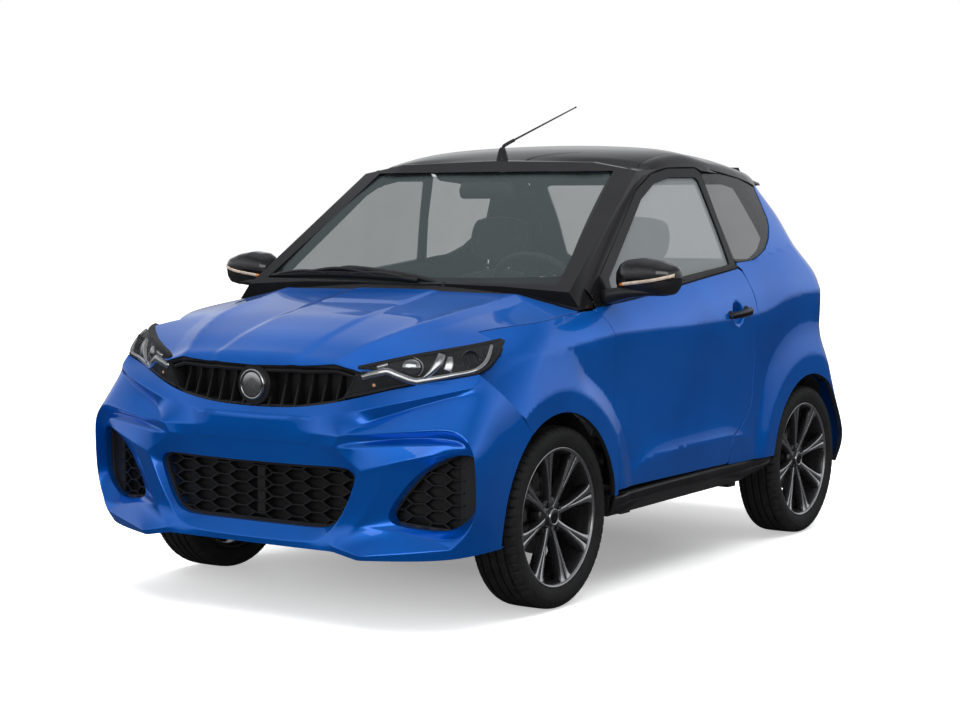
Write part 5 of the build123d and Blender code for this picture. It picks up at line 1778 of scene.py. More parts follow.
rim0 = rim("rim_master", 0, 0, 0, 1)
tyre0 = tyre("tyre_master", 0, 0, 0, 1)
for end, cy in (("front", -876.0), ("rear", 931.0)):
    for sd, sg in (("left", 1), ("right", -1)):
        for src, nm, node, slot in ((rim0, "rim", "wheel", "alloy"), (tyre0, "tyre", "tyre", "tyre")):
            me = src.data.copy()
            nmn = "%s_%s_%s" % (nm, end, sd)
            me.name = nmn
            if sg < 0:
                me.transform(Matrix.Scale(-1, 4, Vector((1, 0, 0)))); me.flip_normals()
            me.transform(Matrix.Translation(Vector((sg * 647.0, cy, 283.0)) * K))
            o = bpy.data.objects.new(nmn, me)
            bpy.context.scene.collection.objects.link(o)
            put(o, "%s_%s_wheel_body" % (end, sd), slot, ["%s_%s_%s" % (end, sd, node)])
bpy.data.objects.remove(rim0); bpy.data.objects.remove(tyre0)


def caliper(name, cy, ang, front):
    """Brake caliper over the disc edge: two ribbed halves and a bridge."""
    parts = []
    for x0, x1, mat in ((-34, -24, "steel"), (-8, 6, "steel")):
        a0, a1 = ang - 26, ang + 26
        n = 16
        V, F = [], []
        for i in range(n + 1):
            t = math.radians(a0 + (a1 - a0) * i / n)
            ri = 84 + 4 * math.cos(math.pi * (i / n - 0.5) * 2); ro = 127 - 5 * abs(i / n - 0.5) * 2
            for (x, r) in ((x0, ri), (x1, ri + 2), (x1, ro), (x0, ro)):
                V.append((647 + x, cy + r * math.cos(t), 283 + r * math.sin(t)))
        for i in range(n):
            for j in range(4):
                F.append([i * 4 + j, (i + 1) * 4 + j, (i + 1) * 4 + (j + 1) % 4, i * 4 + (j + 1) % 4])
        F += [[0, 1, 2, 3], [n * 4 + 3, n * 4 + 2, n * 4 + 1, n * 4]]
        parts.append(obj_from("c", V, F, "disc" if x1 > 0 else "steel", smooth=False))
    V, F = [], []
    n = 10
    for i in range(n + 1):
        t = math.radians(ang - 17 + 34 * i / n)
        for (x, r) in ((-33, 121.5), (5, 121.5), (3, 130), (-31, 130)):
            V.append((647 + x, cy + r * math.cos(t), 283 + r * math.sin(t)))
    for i in range(n):
        for j in range(4):
            F.append([i * 4 + j, (i + 1) * 4 + j, (i + 1) * 4 + (j + 1) % 4, i * 4 + (j + 1) % 4])
    F += [[0, 1, 2, 3], [n * 4 + 3, n * 4 + 2, n * 4 + 1, n * 4]]
    parts.append(obj_from("c", V, F, "disc", smooth=False))
    for s in (-12, 12):
        t = math.radians(ang + s)
        parts.append(lathe("p", [(-50, 0.01), (-50, 13), (-47, 15), (-30, 15.5)], "steel", "x", (647, cy + 102 * math.cos(t), 283 + 102 * math.sin(t)), 24))
    o = join(name, parts)
    bm = bmesh.new(); bm.from_mesh(o.data); bmesh.ops.recalc_face_normals(bm, faces=bm.faces); bm.to_mesh(o.data); bm.free()
    m = o.modifiers.new("bevel", "BEVEL"); m.width = 0.0022; m.segments = 2; m.limit_method = "ANGLE"
    return sharpen(apply_mods(o), 40)


cal = caliper("caliper_front_left", -876.0, 158, True)
calr = mirrored(cal, "caliper_front_right")
put(cal, "left_knuckle_body", "steel"); put(calr, "right_knuckle_body", "steel")
cal = caliper("caliper_rear_left", 931.0, 22, False)
calr = mirrored(cal, "caliper_rear_right")
put(cal, "root", "steel"); put(calr, "root", "steel")


# ================================================================= door mirrors
def mirror_head():
    """Shell lofted from the glass side forwards; a lamp strip runs round its waist."""
    out = [(716, 964), (706, 998), (708, 1030), (722, 1056), (745, 1070), (800, 1077), (860, 1068), (912, 1050), (924, 1038), (927, 1010), (922, 982), (905, 962), (870, 955), (790, 954)]
    loop = rounded(out, 14, 3)
    L = lerp_rows(loop + [loop[0]], 73)[:-1]
    c = np.array([812.0, 1014.0])
    st = [(-480, 0.95), (-481, 0.985), (-484, 1.0), (-500, 1.0), (-516, 0.985), (-530, 0.94), (-541, 0.86), (-549, 0.75), (-554.5, 0.60), (-557.5, 0.42), (-559, 0.22), (-559.4, 0.0)]
    n = len(L)
    V, F, I = [], [], []
    for y, s in st:
        q = c + (L - c) * np.array([s ** 0.9 if s else 0, s])
        # the nose leans inwards, so that the outer end sweeps back
        for x, z in q:
            V.append((x, y + 30 * ((x - 812) / 115) * (1 - s) * 0.4 + (8 * (max(x - 812, 0) / 115) ** 2 if y < -500 else 0), z))
    for i in range(len(st) - 1):
        for k in range(n):
            F.append([i * n + k, i * n + (k + 1) % n, (i + 1) * n + (k + 1) % n, (i + 1) * n + k])
            zc_ = (V[i * n + k][2] + V[(i + 1) * n + (k + 1) % n][2]) / 2
            xc_ = (V[i * n + k][0] + V[(i + 1) * n + (k + 1) % n][0]) / 2
            I.append(0 if zc_ > 995 + (xc_ - 812) * 0.12 else 1)
    o = obj_from("mh", V, F, ["shell", "satin"], idx=I)
    bm = bmesh.new(); bm.from_mesh(o.data)
    bmesh.ops.remove_doubles(bm, verts=bm.verts, dist=1e-6)
    bmesh.ops.recalc_face_normals(bm, faces=bm.faces)
    bm.to_mesh(o.data); bm.free()
    parts = [sharpen(o, 60)]
    # reflecting glass in a thin black bezel
    g = np.stack([c[0] + (L[:, 0] - c[0]) * 0.93, np.full(n, -480.6), c[1] + (L[:, 1] - c[1]) * 0.91], 1)
    g2 = np.stack([c[0] + (L[:, 0] - c[0]) * 0.955, np.full(n, -480.0), c[1] + (L[:, 1] - c[1]) * 0.955], 1)
    V = np.concatenate([g2, g, g + np.array([0, -4.0, 0])])
    F = [[k, (k + 1) % n, n + (k + 1) % n, n + k] for k in range(n)] + [[n + k, n + (k + 1) % n, 2 * n + (k + 1) % n, 2 * n + k] for k in range(n)]
    parts.append(obj_from("mb", V, F, "satin"))
    parts.append(obj_from("mg", g + np.array([0, -2.6, 0]), [list(range(n))], "mirror"))
    # indicator strip, proud of the shell
    shell = BVHTree.FromPolygons([v.co for v in parts[0].data.vertices], [list(p_.vertices) for p_ in parts[0].data.polygons])
    xs = np.linspace(738, 921, 40)
    rows = []
    for dz, out_ in ((-5.5, -1.0), (-4.2, 1.6), (0, 2.6), (4.2, 1.6), (5.5, -1.0)):
        pts = []
        for x in xs:
            zz_ = 1000 + (x - 812) * 0.13 + 9 * ((x - 812) / 110) ** 3 * (x > 812) + dz * min(1.0, (x - 730) / 14)
            # distance forward of the shell at that point
            s_here = max(0.0, min(1.0, abs(x - 812) / 112.0))
            yy_ = -559.4 + 77 * (1 - math.sqrt(max(0.0, 1 - s_here ** 2.35)))
            yy_ = max(-559.4, min(yy_, -486)) + (8 * (max(x - 812, 0) / 115) ** 2) + 30 * ((x - 812) / 115) * (1 - s_here) * 0.4
            hit_ = shell.ray_cast(Vector((min(x, 918), -900.0, zz_)) * K, Vector((0, 1, 0)))
            if hit_[0] is not None and hit_[0].y / K < -482:
                yy_ = hit_[0].y / K
            pts.append((x, yy_ - out_, zz_))
        rows.append(pts)
    V = [p for r in rows for p in r]; m = len(xs)
    F = [[r * m + i, r * m + i + 1, (r + 1) * m + i + 1, (r + 1) * m + i] for r in range(4) for i in range(m - 1)]
    I = [1 if xs[i] < 752 else 0 for r in range(4) for i in range(m - 1)]
    o = obj_from("mi", V, F, ["strip_lens", "amber"], idx=I)
    bm = bmesh.new(); bm.from_mesh(o.data); bmesh.ops.recalc_face_normals(bm, faces=bm.faces)
    bm.faces.ensure_lookup_table()
    if bm.faces[20].normal.y > 0:
        bmesh.ops.reverse_faces(bm, faces=bm.faces)
    bm.to_mesh(o.data); bm.free()
    parts.append(o)
    # foot: a short arm from the door's corner
    secs = [((686, -544, 950), 38, 27), ((706, -541, 954), 38, 25), ((736, -535, 961), 36, 22), ((776, -526, 966), 34, 17), ((826, -518, 966), 30, 11), ((868, -512, 964), 24, 6)]
    V, F = [], []
    n = 20
    for (x, y, z), a, b in secs:
        for k in range(n):
            t = 2 * math.pi * k / n
            ca, sa = math.cos(t), math.sin(t)
            e = 0.62
            V.append((x, y + a * math.copysign(abs(ca) ** e, ca), z + b * math.copysign(abs(sa) ** e, sa)))
    for i in range(len(secs) - 1):
        for k in range(n):
            F.append([i * n + k, i * n + (k + 1) % n, (i + 1) * n + (k + 1) % n, (i + 1) * n + k])
    F += [list(range(n))[::-1]]
    o = obj_from("mf", V, F, "satin")
    bm = bmesh.new(); bm.from_mesh(o.data); bmesh.ops.recalc_face_normals(bm, faces=bm.faces); bm.to_mesh(o.data); bm.free()
    parts.append(sharpen(o, 50))
    return join("mirror_shell_left", parts)


M["mirror"] = metal("mirror_glass", (0.82, 0.84, 0.85), 0.02)
M["strip_lens"] = lamp_glass("indicator_lens", (0.72, 0.58, 0.46), 0.95)
mh = mirror_head()
mr = mirrored(mh, "mirror_shell_right")
put(mh, "left_door", "mirror_housing", ["mirror_left"]); put(mr, "right_door", "mirror_housing", ["mirror_right"])

# window seals along the belt and the outer sill of the door glass
def tube_along(name, pts, w, h, mats, n=None, up=(0, 0, 1)):
    """A rounded bar along a line of points (n, 3)."""
    P = np.asarray(pts, float)
    T = np.gradient(P, axis=0); T /= np.linalg.norm(T, axis=1)[:, None]
    U = np.array(up, float)
    S = np.cross(T, U); S /= np.linalg.norm(S, axis=1)[:, None]
    Nn = np.cross(S, T)
    rows = []
    m = 12
    for k in range(m):
        t = 2 * math.pi * k / m
        ca, sa = math.cos(t), math.sin(t)
        rows.append(P + S * (w / 2 * math.copysign(abs(ca) ** 0.6, ca)) + Nn * (h / 2 * math.copysign(abs(sa) ** 0.6, sa)))
    V = np.stack(rows, 1).reshape(-1, 3)
    q = len(P)
    F = [[i * m + k, i * m + (k + 1) % m, (i + 1) * m + (k + 1) % m, (i + 1) * m + k] for i in range(q - 1) for k in range(m)]
    F += [list(range(m)), [(q - 1) * m + k for k in range(m)][::-1]]
    o = obj_from(name, V, F, mats)
    bm = bmesh.new(); bm.from_mesh(o.data); bmesh.ops.recalc_face_normals(bm, faces=bm.faces); bm.to_mesh(o.data); bm.free()
    return sharpen(o, 60)


# door handle: a bar on two feet across the round recess
def handle():
    ys = np.linspace(236, 402, 34)
    rows = []
    P = []
    for y in ys:
        t = (y - 236) / 166.0
        z = 866 + (y - 312) * 0.075
        x = float(W(y, z)) + 12 + 9 * math.sin(math.pi * t) ** 0.8
        P.append((x, y, z))
    P = np.array(P)
    V = []
    m = 16
    for i, p in enumerate(P):
        t = i / (len(P) - 1)
        h = 12.5 * min(1.0, (min(t, 1 - t) * 9 + 0.35)) ** 0.5 + 2.5 * t
        d = 7.0 * min(1.0, (min(t, 1 - t) * 9 + 0.35)) ** 0.5
        for k in range(m):
            a = 2 * math.pi * k / m
            V.append((p[0] + d * math.copysign(abs(math.cos(a)) ** 0.75, math.cos(a)), p[1], p[2] + h * math.copysign(abs(math.sin(a)) ** 0.75, math.sin(a))))
    q = len(P)
    F = [[i * m + k, i * m + (k + 1) % m, (i + 1) * m + (k + 1) % m, (i + 1) * m + k] for i in range(q - 1) for k in range(m)]
    F += [list(range(m)), [(q - 1) * m + k for k in range(m)][::-1]]
    bar = obj_from("hb", V, F, "dark_chrome")
    parts = [bar]
    for y0, r in ((252, 15), (378, 19)):
        z0 = 866 + (y0 - 312) * 0.075
        x0 = float(W(y0, z0))
        parts.append(lathe("hf", [(-6, r + 1.5), (0.5, r + 1.5), (2.5, r), (8, r * 0.72), (16, r * 0.6), (17, 0.01)], "satin", "x", (x0, y0, z0), 28))
    x0 = float(W(384, 871)) + 20
    parts.append(lathe("hk", [(-2, 7.5), (1.4, 7.2), (2.0, 6), (1.2, 4.5), (0.6, 0.01)], "chrome", "x", (x0, 383, 871), 24))
    o = join("door_handle_left", parts)
    bm = bmesh.new(); bm.from_mesh(o.data); bmesh.ops.recalc_face_normals(bm, faces=bm.faces); bm.to_mesh(o.data); bm.free()
    return sharpen(o, 45)


hd = handle(); hdr = mirrored(hd, "door_handle_right")
put(hd, "left_door", "gloss_black"); put(hdr, "right_door", "gloss_black")

# belt mouldings
ys = np.linspace(-498, 384, 60)
belt_pts = [(float(W(y, Z_BELT(y) + 3)) + 0.5, float(y), float(Z_BELT(y)) + 3) for y in ys]
bt = tube_along("belt_moulding_left", belt_pts, 9, 13, "satin")
btr = mirrored(bt, "belt_moulding_right")
put(bt, "left_door", "black_plastic"); put(btr, "right_door", "black_plastic")


# ================================================================= wiper
def wiper():
    def on_screen(x, z, off):
        return (x, float(screen_y(x, z)) - off, z)
    parts = []
    xs = np.linspace(-614, 70, 70)
    # blade: a thin rubber edge with a bowed back that follows the glass
    def zline(x):
        t = (x + 614) / 684.0
        return 992 + 12 * math.sin(math.pi * t) * 0.9
    blade = [on_screen(x, zline(x), 7) for x in xs]
    parts.append(tube_along("wb", blade, 9, 17, "seal", up=(0, -0.55, 0.8)))
    back = [on_screen(x, zline(x) + 3 + 9 * math.sin(math.pi * (x + 614) / 684.0), 13 + 6 * math.sin(math.pi * (x + 614) / 684.0)) for x in xs]
    parts.append(tube_along("wk", back, 15, 9, "satin", up=(0, -0.55, 0.8)))
    for a, b, h in ((-560, -330, 14), (-220, 10, 14), (-430, -120, 30)):
        q = np.linspace(a, b, 26)
        pts = [on_screen(x, zline(x) + 8 + h * 0.55 * math.sin(math.pi * (x - a) / (b - a)), 18 + 0.5 * h * math.sin(math.pi * (x - a) / (b - a))) for x in q]
        parts.append(tube_along("wf", pts, 13, 9, "satin", up=(0, -0.55, 0.8)))
    # arm: from the pivot up to the middle of the blade
    arm = [(170, -700, 981), (120, -706, 994), (40, -704, 1006), (-80, -697, 1020), (-190, -690, 1029), (-262, -686, 1031), (-290, -682, 1022)]
    arm = lerp_rows(arm, 60)
    for k in range(3):
        for _ in range(6):
            arm[1:-1] = (arm[:-2] + 2 * arm[1:-1] + arm[2:]) / 4
    T = np.linspace(0, 1, len(arm))
    parts.append(tube_along("wa", arm, 18, 12, "satin", up=(0, -0.55, 0.8)))
    parts.append(lathe("wp", [(-24, 15), (10, 15), (16, 13), (19, 8), (19.5, 0.01)], "satin", "z", (170, -702, 974), 28))
    return join("wiper_arm", parts)


wp = wiper()
put(wp, "root", "black_plastic", ["wiper"])

# scuttle: grained panel between the bonnet's rear edge and the glass
scx = np.linspace(-640, 640, 60)
V, F = [], []
for x in scx:
    yb = -745 + 16 * (abs(x) / 640) ** 2
    yf = float(screen_y(x, 992)) + 2
    zb = float(hood(x, yb)) - 14
    zf = 990.0
    for t in np.linspace(0, 1, 9):
        V.append((x, yb + (yf - yb) * t, zb + (zf - zb) * t - 5 * math.sin(math.pi * t)))
m = 9
F = [[i * m + k, (i + 1) * m + k, (i + 1) * m + k + 1, i * m + k + 1] for i in range(len(scx) - 1) for k in range(m - 1)]
sc = obj_from("scuttle", V, F, "plastic")
sm = sc.modifiers.new("thick", "SOLIDIFY"); sm.thickness = 0.003; sm.offset = -1
apply_mods(sc)
put(sc, "root", "black_plastic")

# aerial: rubber foot, jointed base and a thin wound mast
def aerial():
    parts = [lathe("af", [(-6, 22), (4, 22), (8, 21), (22, 18), (36, 14), (44, 10.5), (48, 7), (50, 0.01)], "satin", "z", (0, -99, 1403), 32)]
    a, b, c = np.array([0, -121, 1402.0]), np.array([0, -22, 1480.0]), np.array([0, 412, 1619.0])
    q = np.linspace(0, 1, 20)
    foot = [(0, -97, 1446), (0, -88, 1457), (0, -60, 1467.4), (0, -22, 1479.6)]
    parts.append(tube_along("a1", lerp_rows(foot, 20), 11, 11, "satin", up=(1, 0, 0)))
    rows = []
    n = 240
    P = np.array([b + (c - b) * t for t in np.linspace(-0.03, 1, n)])
    T = (c - b) / np.linalg.norm(c - b)
    U = np.array([1.0, 0, 0]); Wv = np.cross(T, U)
    V = []
    m = 10
    for i, p in enumerate(P):
        t = i / (n - 1)
        r = 3.4 - 1.3 * t + (0.45 if i % 4 < 2 else 0)
        if t > 0.985:
            r = 3.2
        for k in range(m):
            an = 2 * math.pi * k / m
            V.append(p + (U * math.cos(an) + Wv * math.sin(an)) * r)
    F = [[i * m + k, i * m + (k + 1) % m, (i + 1) * m + (k + 1) % m, (i + 1) * m + k] for i in range(n - 1) for k in range(m)]
    F += [list(range(m)), [(n - 1) * m + k for k in range(m)][::-1]]
    parts.append(obj_from("a2", V, F, "satin"))
    o = join("aerial_mast", parts)
    bm = bmesh.new(); bm.from_mesh(o.data); bmesh.ops.recalc_face_normals(bm, faces=bm.faces); bm.to_mesh(o.data); bm.free()
    return o


ae = aerial()
put(ae, "root", "black_plastic", ["aerial"])

# ================================================================= tail
def sx(x, z):
    return math.copysign(s_tail(abs(x), z), x)


def both_ways(half):
    """Close an outline given for positive s, from the middle bottom up to the middle top."""
    return half + [(-a, b) for a, b in half[::-1] if a > 1]


def gate_extra(ax, z):
    """Tailgate sculpture: a shelf below the glass, a hollow under it, and a handle scoop."""
    shelf = 15 * np.exp(-((z - 985) / 26.0) ** 2)
    hollow = -10 * np.exp(-((z - 905) / 46.0) ** 2) * np.clip(1 - (ax / 560) ** 4, 0, 1)
    low = 7 * np.exp(-((z - 770) / 52.0) ** 2) * np.clip(1 - (ax / 600) ** 6, 0, 1)
    scoop = -16 * np.clip(1 - ((ax / 125) ** 4 + ((z - 716) / 26.0) ** 4), 0, 1) ** 0.5
    return shelf * np.clip(1 - (ax / 640) ** 8, 0, 1) + hollow + low + scoop


GATEWRAP = wrap_tail(extra=gate_extra)
gl_low = [(s_tail(float(GATE_X(z)) - 3, z), float(z)) for z in np.linspace(674, 1024, 30)]
gate_out = both_ways([(0, 668), (300, 668), (s_tail(512, 669), 669)] + gl_low + [(s_tail(480, 1026), 1026), (300, 1024), (0, 1022)])
crA = [(s, 985.0) for s in np.linspace(-540, 540, 50)]
gate_p = panel("tailgate_skin", gate_out, GATEWRAP, creases=[crA], h=14, depth=14)
put(gate_p, "tailgate_body", "body_paint", ["tailgate"])

gl_up = [(s_tail(float(GATE_X(z)) - 3, z), float(z)) for z in np.linspace(1031, 1396, 30)]
glass_o = [(sx(x, z), z) for x, z in rounded([(-476, 1040), (476, 1040), (424, 1336), (398, 1346), (-398, 1346), (-424, 1336)], 26, 5)]
sur_out = both_ways([(0, 1027), (300, 1029), (s_tail(486, 1031), 1031)] + gl_up + [(s_tail(300, 1400), 1400), (0, 1402)])
sur = panel("tailgate_surround", sur_out, TAILWRAP, holes=[glass_o], h=18, depth=14, mats="gloss")
put(sur, "tailgate_body", "gloss_black")
rg = panel("tail_glass_pane", [tuple(p) for p in offset_loop(glass_o, -3.0)], wrap_tail(lift=-2.5), h=30, depth=4, edge=1.0, mats="privacy")
put(rg, "tailgate_body", "glass", ["rear_window"])

# spoiler: the roof line carried on over the glass, with a lip and a high brake lamp
def spoiler():
    e = 4.0
    us = np.linspace(-1, 1, 81)
    V = []
    prof = 22
    for u in us:
        hw0, hw1 = 539.0, 512.0
        rows = []
        y_end = 908 - 46 * u * u
        base = lambda x, y: float(roof(min(abs(x), 520), 741)) + (y - 741) * (-0.115 - 0.05 * u * u)
        a = np.linspace(0, 1, 12)
        for t in a:
            y = 745.5 + (y_end - 745.5) * t
            x = u * (hw0 + (hw1 - hw0) * t)
            drop = 12 * max(0, abs(u) - 0.9) / 0.1 * (max(0, abs(u) - 0.9) / 0.1)
            rows.append((x, y, base(x, y) - drop))
        x, y, z = rows[-1]
        rows += [(x, y + 3.5, z - 3.5), (x, y + 3.0, z - 9), (x * 0.995, y - 5, z - 21), (x * 0.99, y - 14, z - 26)]
        for t in np.linspace(0.2, 1, 6):
            yy = (y - 14) + (812 - (y - 14)) * t
            rows.append((x * 0.985, yy, z - 26 - 4 * t))
        V += rows
    m = len(V) // len(us)
    F = [[i * m + k, (i + 1) * m + k, (i + 1) * m + k + 1, i * m + k + 1] for i in range(len(us) - 1) for k in range(m - 1)]
    F += [list(range(m)), [(len(us) - 1) * m + k for k in range(m)][::-1]]
    F += [[i * m, i * m + m - 1, (i + 1) * m + m - 1, (i + 1) * m] for i in range(len(us) - 1)]
    o = obj_from("tail_spoiler", V, F, "gloss")
    bm = bmesh.new(); bm.from_mesh(o.data); bmesh.ops.recalc_face_normals(bm, faces=bm.faces); bm.to_mesh(o.data); bm.free()
    return sharpen(o, 40)


sp = spoiler()
put(sp, "tailgate_body", "gloss_black")
hb = tube_along("high_brake_lamp", [(x, 905.5 - 46 * (x / 512.0) ** 2, float(roof(min(abs(x), 520), 741)) + (905 - 741) * -0.115 - 14) for x in np.linspace(-130, 130, 26)], 7, 9, "red", up=(0, 0, 1))
put(hb, "tailgate_body", "red_lens")

# tail lamps: a red lens over a dark bowl, with a light guide and a clear lower part
def tail_lamp():
    out = refine(LAMP, 12)
    body = panel("tl", [tuple(p) for p in offset_loop(out, -2.0)], wrap_tail(lift=-1.0), h=14, depth=10, edge=3.0, mats="red_clear")
    dark = panel("td", [tuple(p) for p in offset_loop(out, -4.0)], wrap_tail(lift=-26.0), h=16, depth=4, edge=0.5, mats="lamp_black")
    c = np.mean(np.array(out), 0)
    ring = [tuple(c + (np.array(p) - c) * np.array((0.80, 0.72))) for p in out]
    ring2 = [tuple(c + (np.array(p) - c) * np.array((0.66, 0.46))) for p in out]
    guide = panel("tg", ring, wrap_tail(lift=-12.0), holes=[ring2], h=12, depth=8, edge=2.0, mats="red_glow")
    core = [tuple(c + (np.array(p) - c) * np.array((0.56, 0.30))) for p in out]
    clear = panel("tc", core, wrap_tail(lift=-12.5), h=12, depth=6, edge=2.0, mats="lamp_clear")
    return join("tail_lamp_left", [body, dark, guide, clear])


M["red_clear"] = lamp_glass("red_lens_outer", (0.50, 0.010, 0.012), 0.62)
M["red_glow"] = lamp_glass("red_light_guide", (0.62, 0.02, 0.02), 1.0)
M["lamp_clear"] = lamp_glass("clear_lamp_cell", (0.62, 0.60, 0.58), 1.0)
tl = tail_lamp(); tlr = mirrored(tl, "tail_lamp_right")
put(tl, "root", "red_lens", ["tail_lamps"]); put(tlr, "root", "red_lens")


# rear bumper, wrapped from arch to arch
def bump_extra(ax, z):
    ledge = 5 * np.exp(-((z - 640) / 15.0) ** 2)
    mid = -13 * np.clip((np.tanh((z - 385) / 5.0) - np.tanh((z - 512) / 5.0)) / 2, 0, 1) * np.clip((1 - np.tanh((ax - 292) / 5.0)) / 2, 0, 1)
    low = -26 * np.clip((372 - z) / 60.0, 0, 1) * np.clip((1 - np.tanh((ax - 440) / 12.0)) / 2, 0, 1)
    corner = 5 * np.exp(-(((ax - 520) / 60.0) ** 2)) * np.clip((560 - z) / 60.0, 0, 1)
    return ledge + mid + low + corner


BUMPWRAP = wrap_tail(extra=bump_extra)
b_arch = [p for p in arc(938, 331, 60, -7, 40)]
b_arch = side_pts(b_arch)
b_bump = side_pts([(1330, 657), (1260, 626), (1180, 594), (1104, 568)])
half_b = [(0, 376), (300, 376), (s_tail(430, 376), 376), (s_tail(468, 340), 340), (s_tail(500, 296), 296), (s_tail(560, 262), 262), (s_side(1400, 252), 252), (s_side(1330, 246), 246)]
half_b += b_arch[::-1] + b_bump[::-1][0:] + [(s_tail(600, 664), 664), (s_tail(560, 663), 663), (s_tail(524, 661), 661), (300, 660), (0, 660)]
rb_crease = [(sx(x, 612), 612.0) for x in np.linspace(-600, 600, 60)]
rbp = panel("rear_bumper_skin", both_ways(half_b), BUMPWRAP, creases=[rb_crease], h=14, depth=16)
put(rbp, "root", "body_paint", ["rear_bumper"])

ins_half = [(0, 236), (300, 236), (s_tail(470, 240), 240), (s_tail(556, 256), 256), (s_tail(495, 293), 293), (s_tail(463, 337), 337), (s_tail(426, 371), 371), (300, 372), (0, 372)]
ins = panel("rear_valance", both_ways(ins_half), wrap_tail(extra=bump_extra, lift=-6.0), h=16, depth=12, mats="plastic")
parts = [ins]
for x in (-330, -200, -70, 70, 200, 330):
    V = []
    for z in np.linspace(242, 362, 14):
        yt = float(tail_y(abs(x), z)) + float(bump_extra(np.array([abs(x)]), np.array([z]))[0])
        for dx, dy in ((-4.5, -10), (-3, 9 + 6 * math.sin((z - 242) / 120 * math.pi)), (3, 9 + 6 * math.sin((z - 242) / 120 * math.pi)), (4.5, -10)):
            V.append((x + dx, yt + dy, z))
    F = [[i * 4 + k, i * 4 + k + 1, (i + 1) * 4 + k + 1, (i + 1) * 4 + k] for i in range(13) for k in range(3)] + [[0, 1, 2, 3], [55, 54, 53, 52]]
    o = obj_from("fin", V, F, "plastic", smooth=False)
    bm = bmesh.new(); bm.from_mesh(o.data); bmesh.ops.recalc_face_normals(bm, faces=bm.faces); bm.to_mesh(o.data); bm.free()
    parts.append(o)
put(join("rear_valance_fins", parts), "root", "black_plastic")

# blank plate on its holder, with two screws
def tail_pt(x, z, out=0.0):
    return (x, float(tail_y(abs(x), z)) + float(bump_extra(np.array([abs(x)]), np.array([z]))[0]) + out, z)


def plate(name, pt, zc, w, h, mats, thick=3.0, r=8, out=0.0):
    """A flat plate bent a little to the bumper's bow."""
    loop = rounded([(-w / 2, zc - h / 2), (w / 2, zc - h / 2), (w / 2, zc + h / 2), (-w / 2, zc + h / 2)], r, 5)
    def f(x, z):
        return np.array([pt(0, zc)[1] + out - 18 * (xx / 260.0) ** 2 for xx in np.atleast_1d(x)])
    return panel(name, loop, surface(f, "rear"), h=20, depth=thick, edge=1.0, mats=mats)


M["blank_plate"] = grain("blank_plate", (0.62, 0.62, 0.60), 0.35, 500.0, 0.08)
holder = plate("ph", tail_pt, 446, 530, 120, "satin", 6, 8, 10)
pl = plate("pp", tail_pt, 446, 518, 108, "blank_plate", 3, 7, 13)
pp = [holder, pl]
for x in (-150, 150):
    y0 = tail_pt(0, 446)[1] + 13 - 18 * (x / 260.0) ** 2
    pp.append(lathe("ps", [(-1, 5.5), (1.2, 5.4), (2.2, 4.2), (1.3, 2.4), (1.3, 0.01)], "steel", "y", (x, y0, 446), 20))
put(join("rear_plate_blank", pp), "root", "black_plastic")

# red reflectors at the bumper's corners
def reflector():
    loop = rounded([(s_tail(452, 318), 330), (s_tail(560, 330), 330), (s_tail(566, 352), 352), (s_tail(462, 352), 352)], 6, 3)
    return panel("rear_reflector_left", [(a + 22, b) for a, b in loop], wrap_tail(extra=bump_extra, lift=2.6), h=10, depth=6, edge=1.2, mats="red_glow")


rf_l = reflector(); rf_r = mirrored(rf_l, "rear_reflector_right")
put(rf_l, "root", "red_lens"); put(rf_r, "root", "red_lens")

# plain round badge on the tailgate
bz = 872.0
by = float(tail_y(0, bz)) + float(gate_extra(np.array([0.0]), np.array([bz]))[0])
bd = lathe("rear_badge", [(-4, 34), (2, 34), (4.5, 32.5), (5.2, 30), (4.2, 28.6), (3.6, 28), (4.2, 20), (4.6, 0.01)], ["chrome", "silver"], "y", (0, by - 1, bz), 64, idx=[0, 0, 0, 0, 0, 1, 1], sharp=30)
put(bd, "tailgate_body", "steel")


# ================================================================= sills
def sill():
    """Sill trim below the door: moulded, with a crowned face and a groove along it."""
    ys = np.linspace(-562, 590, 70)
    V = []
    prof = [(0.0, -14), (0.05, -3), (0.14, 1.5), (0.42, 4.0), (0.50, 2.0), (0.55, 3.6), (0.88, 2.0), (0.96, -2), (1.0, -14)]
    lo = mono([(-562, 249), (390, 259), (560, 290), (590, 300)])
    hi = mono([(-562, 313), (250, 327), (560, 330), (590, 330)])
    for y in ys:
        a, b = float(lo(y)), float(hi(y))
        e = min(1.0, (y + 562) / 20.0 + 0.35, (590 - y) / 20.0 + 0.35)
        for t, d in prof:
            z = a + (b - a) * t
            V.append((float(W(y, max(z, 250))) - 6 + d * e, y, z))
    m = len(prof)
    F = [[i * m + k, (i + 1) * m + k, (i + 1) * m + k + 1, i * m + k + 1] for i in range(len(ys) - 1) for k in range(m - 1)]
    F += [list(range(m)), [(len(ys) - 1) * m + k for k in range(m)][::-1]]
    o = obj_from("sill_trim_left", V, F, "satin")
    bm = bmesh.new(); bm.from_mesh(o.data); bmesh.ops.recalc_face_normals(bm, faces=bm.faces)
    bm.faces.ensure_lookup_table()
    if bm.faces[(m - 1) * 30 + 3].normal.x < 0:
        bmesh.ops.reverse_faces(bm, faces=bm.faces)
    bm.to_mesh(o.data); bm.free()
    return sharpen(o, 35)


sl = sill(); slr = mirrored(sl, "sill_trim_right")
put(sl, "root", "black_plastic"); put(slr, "root", "black_plastic")

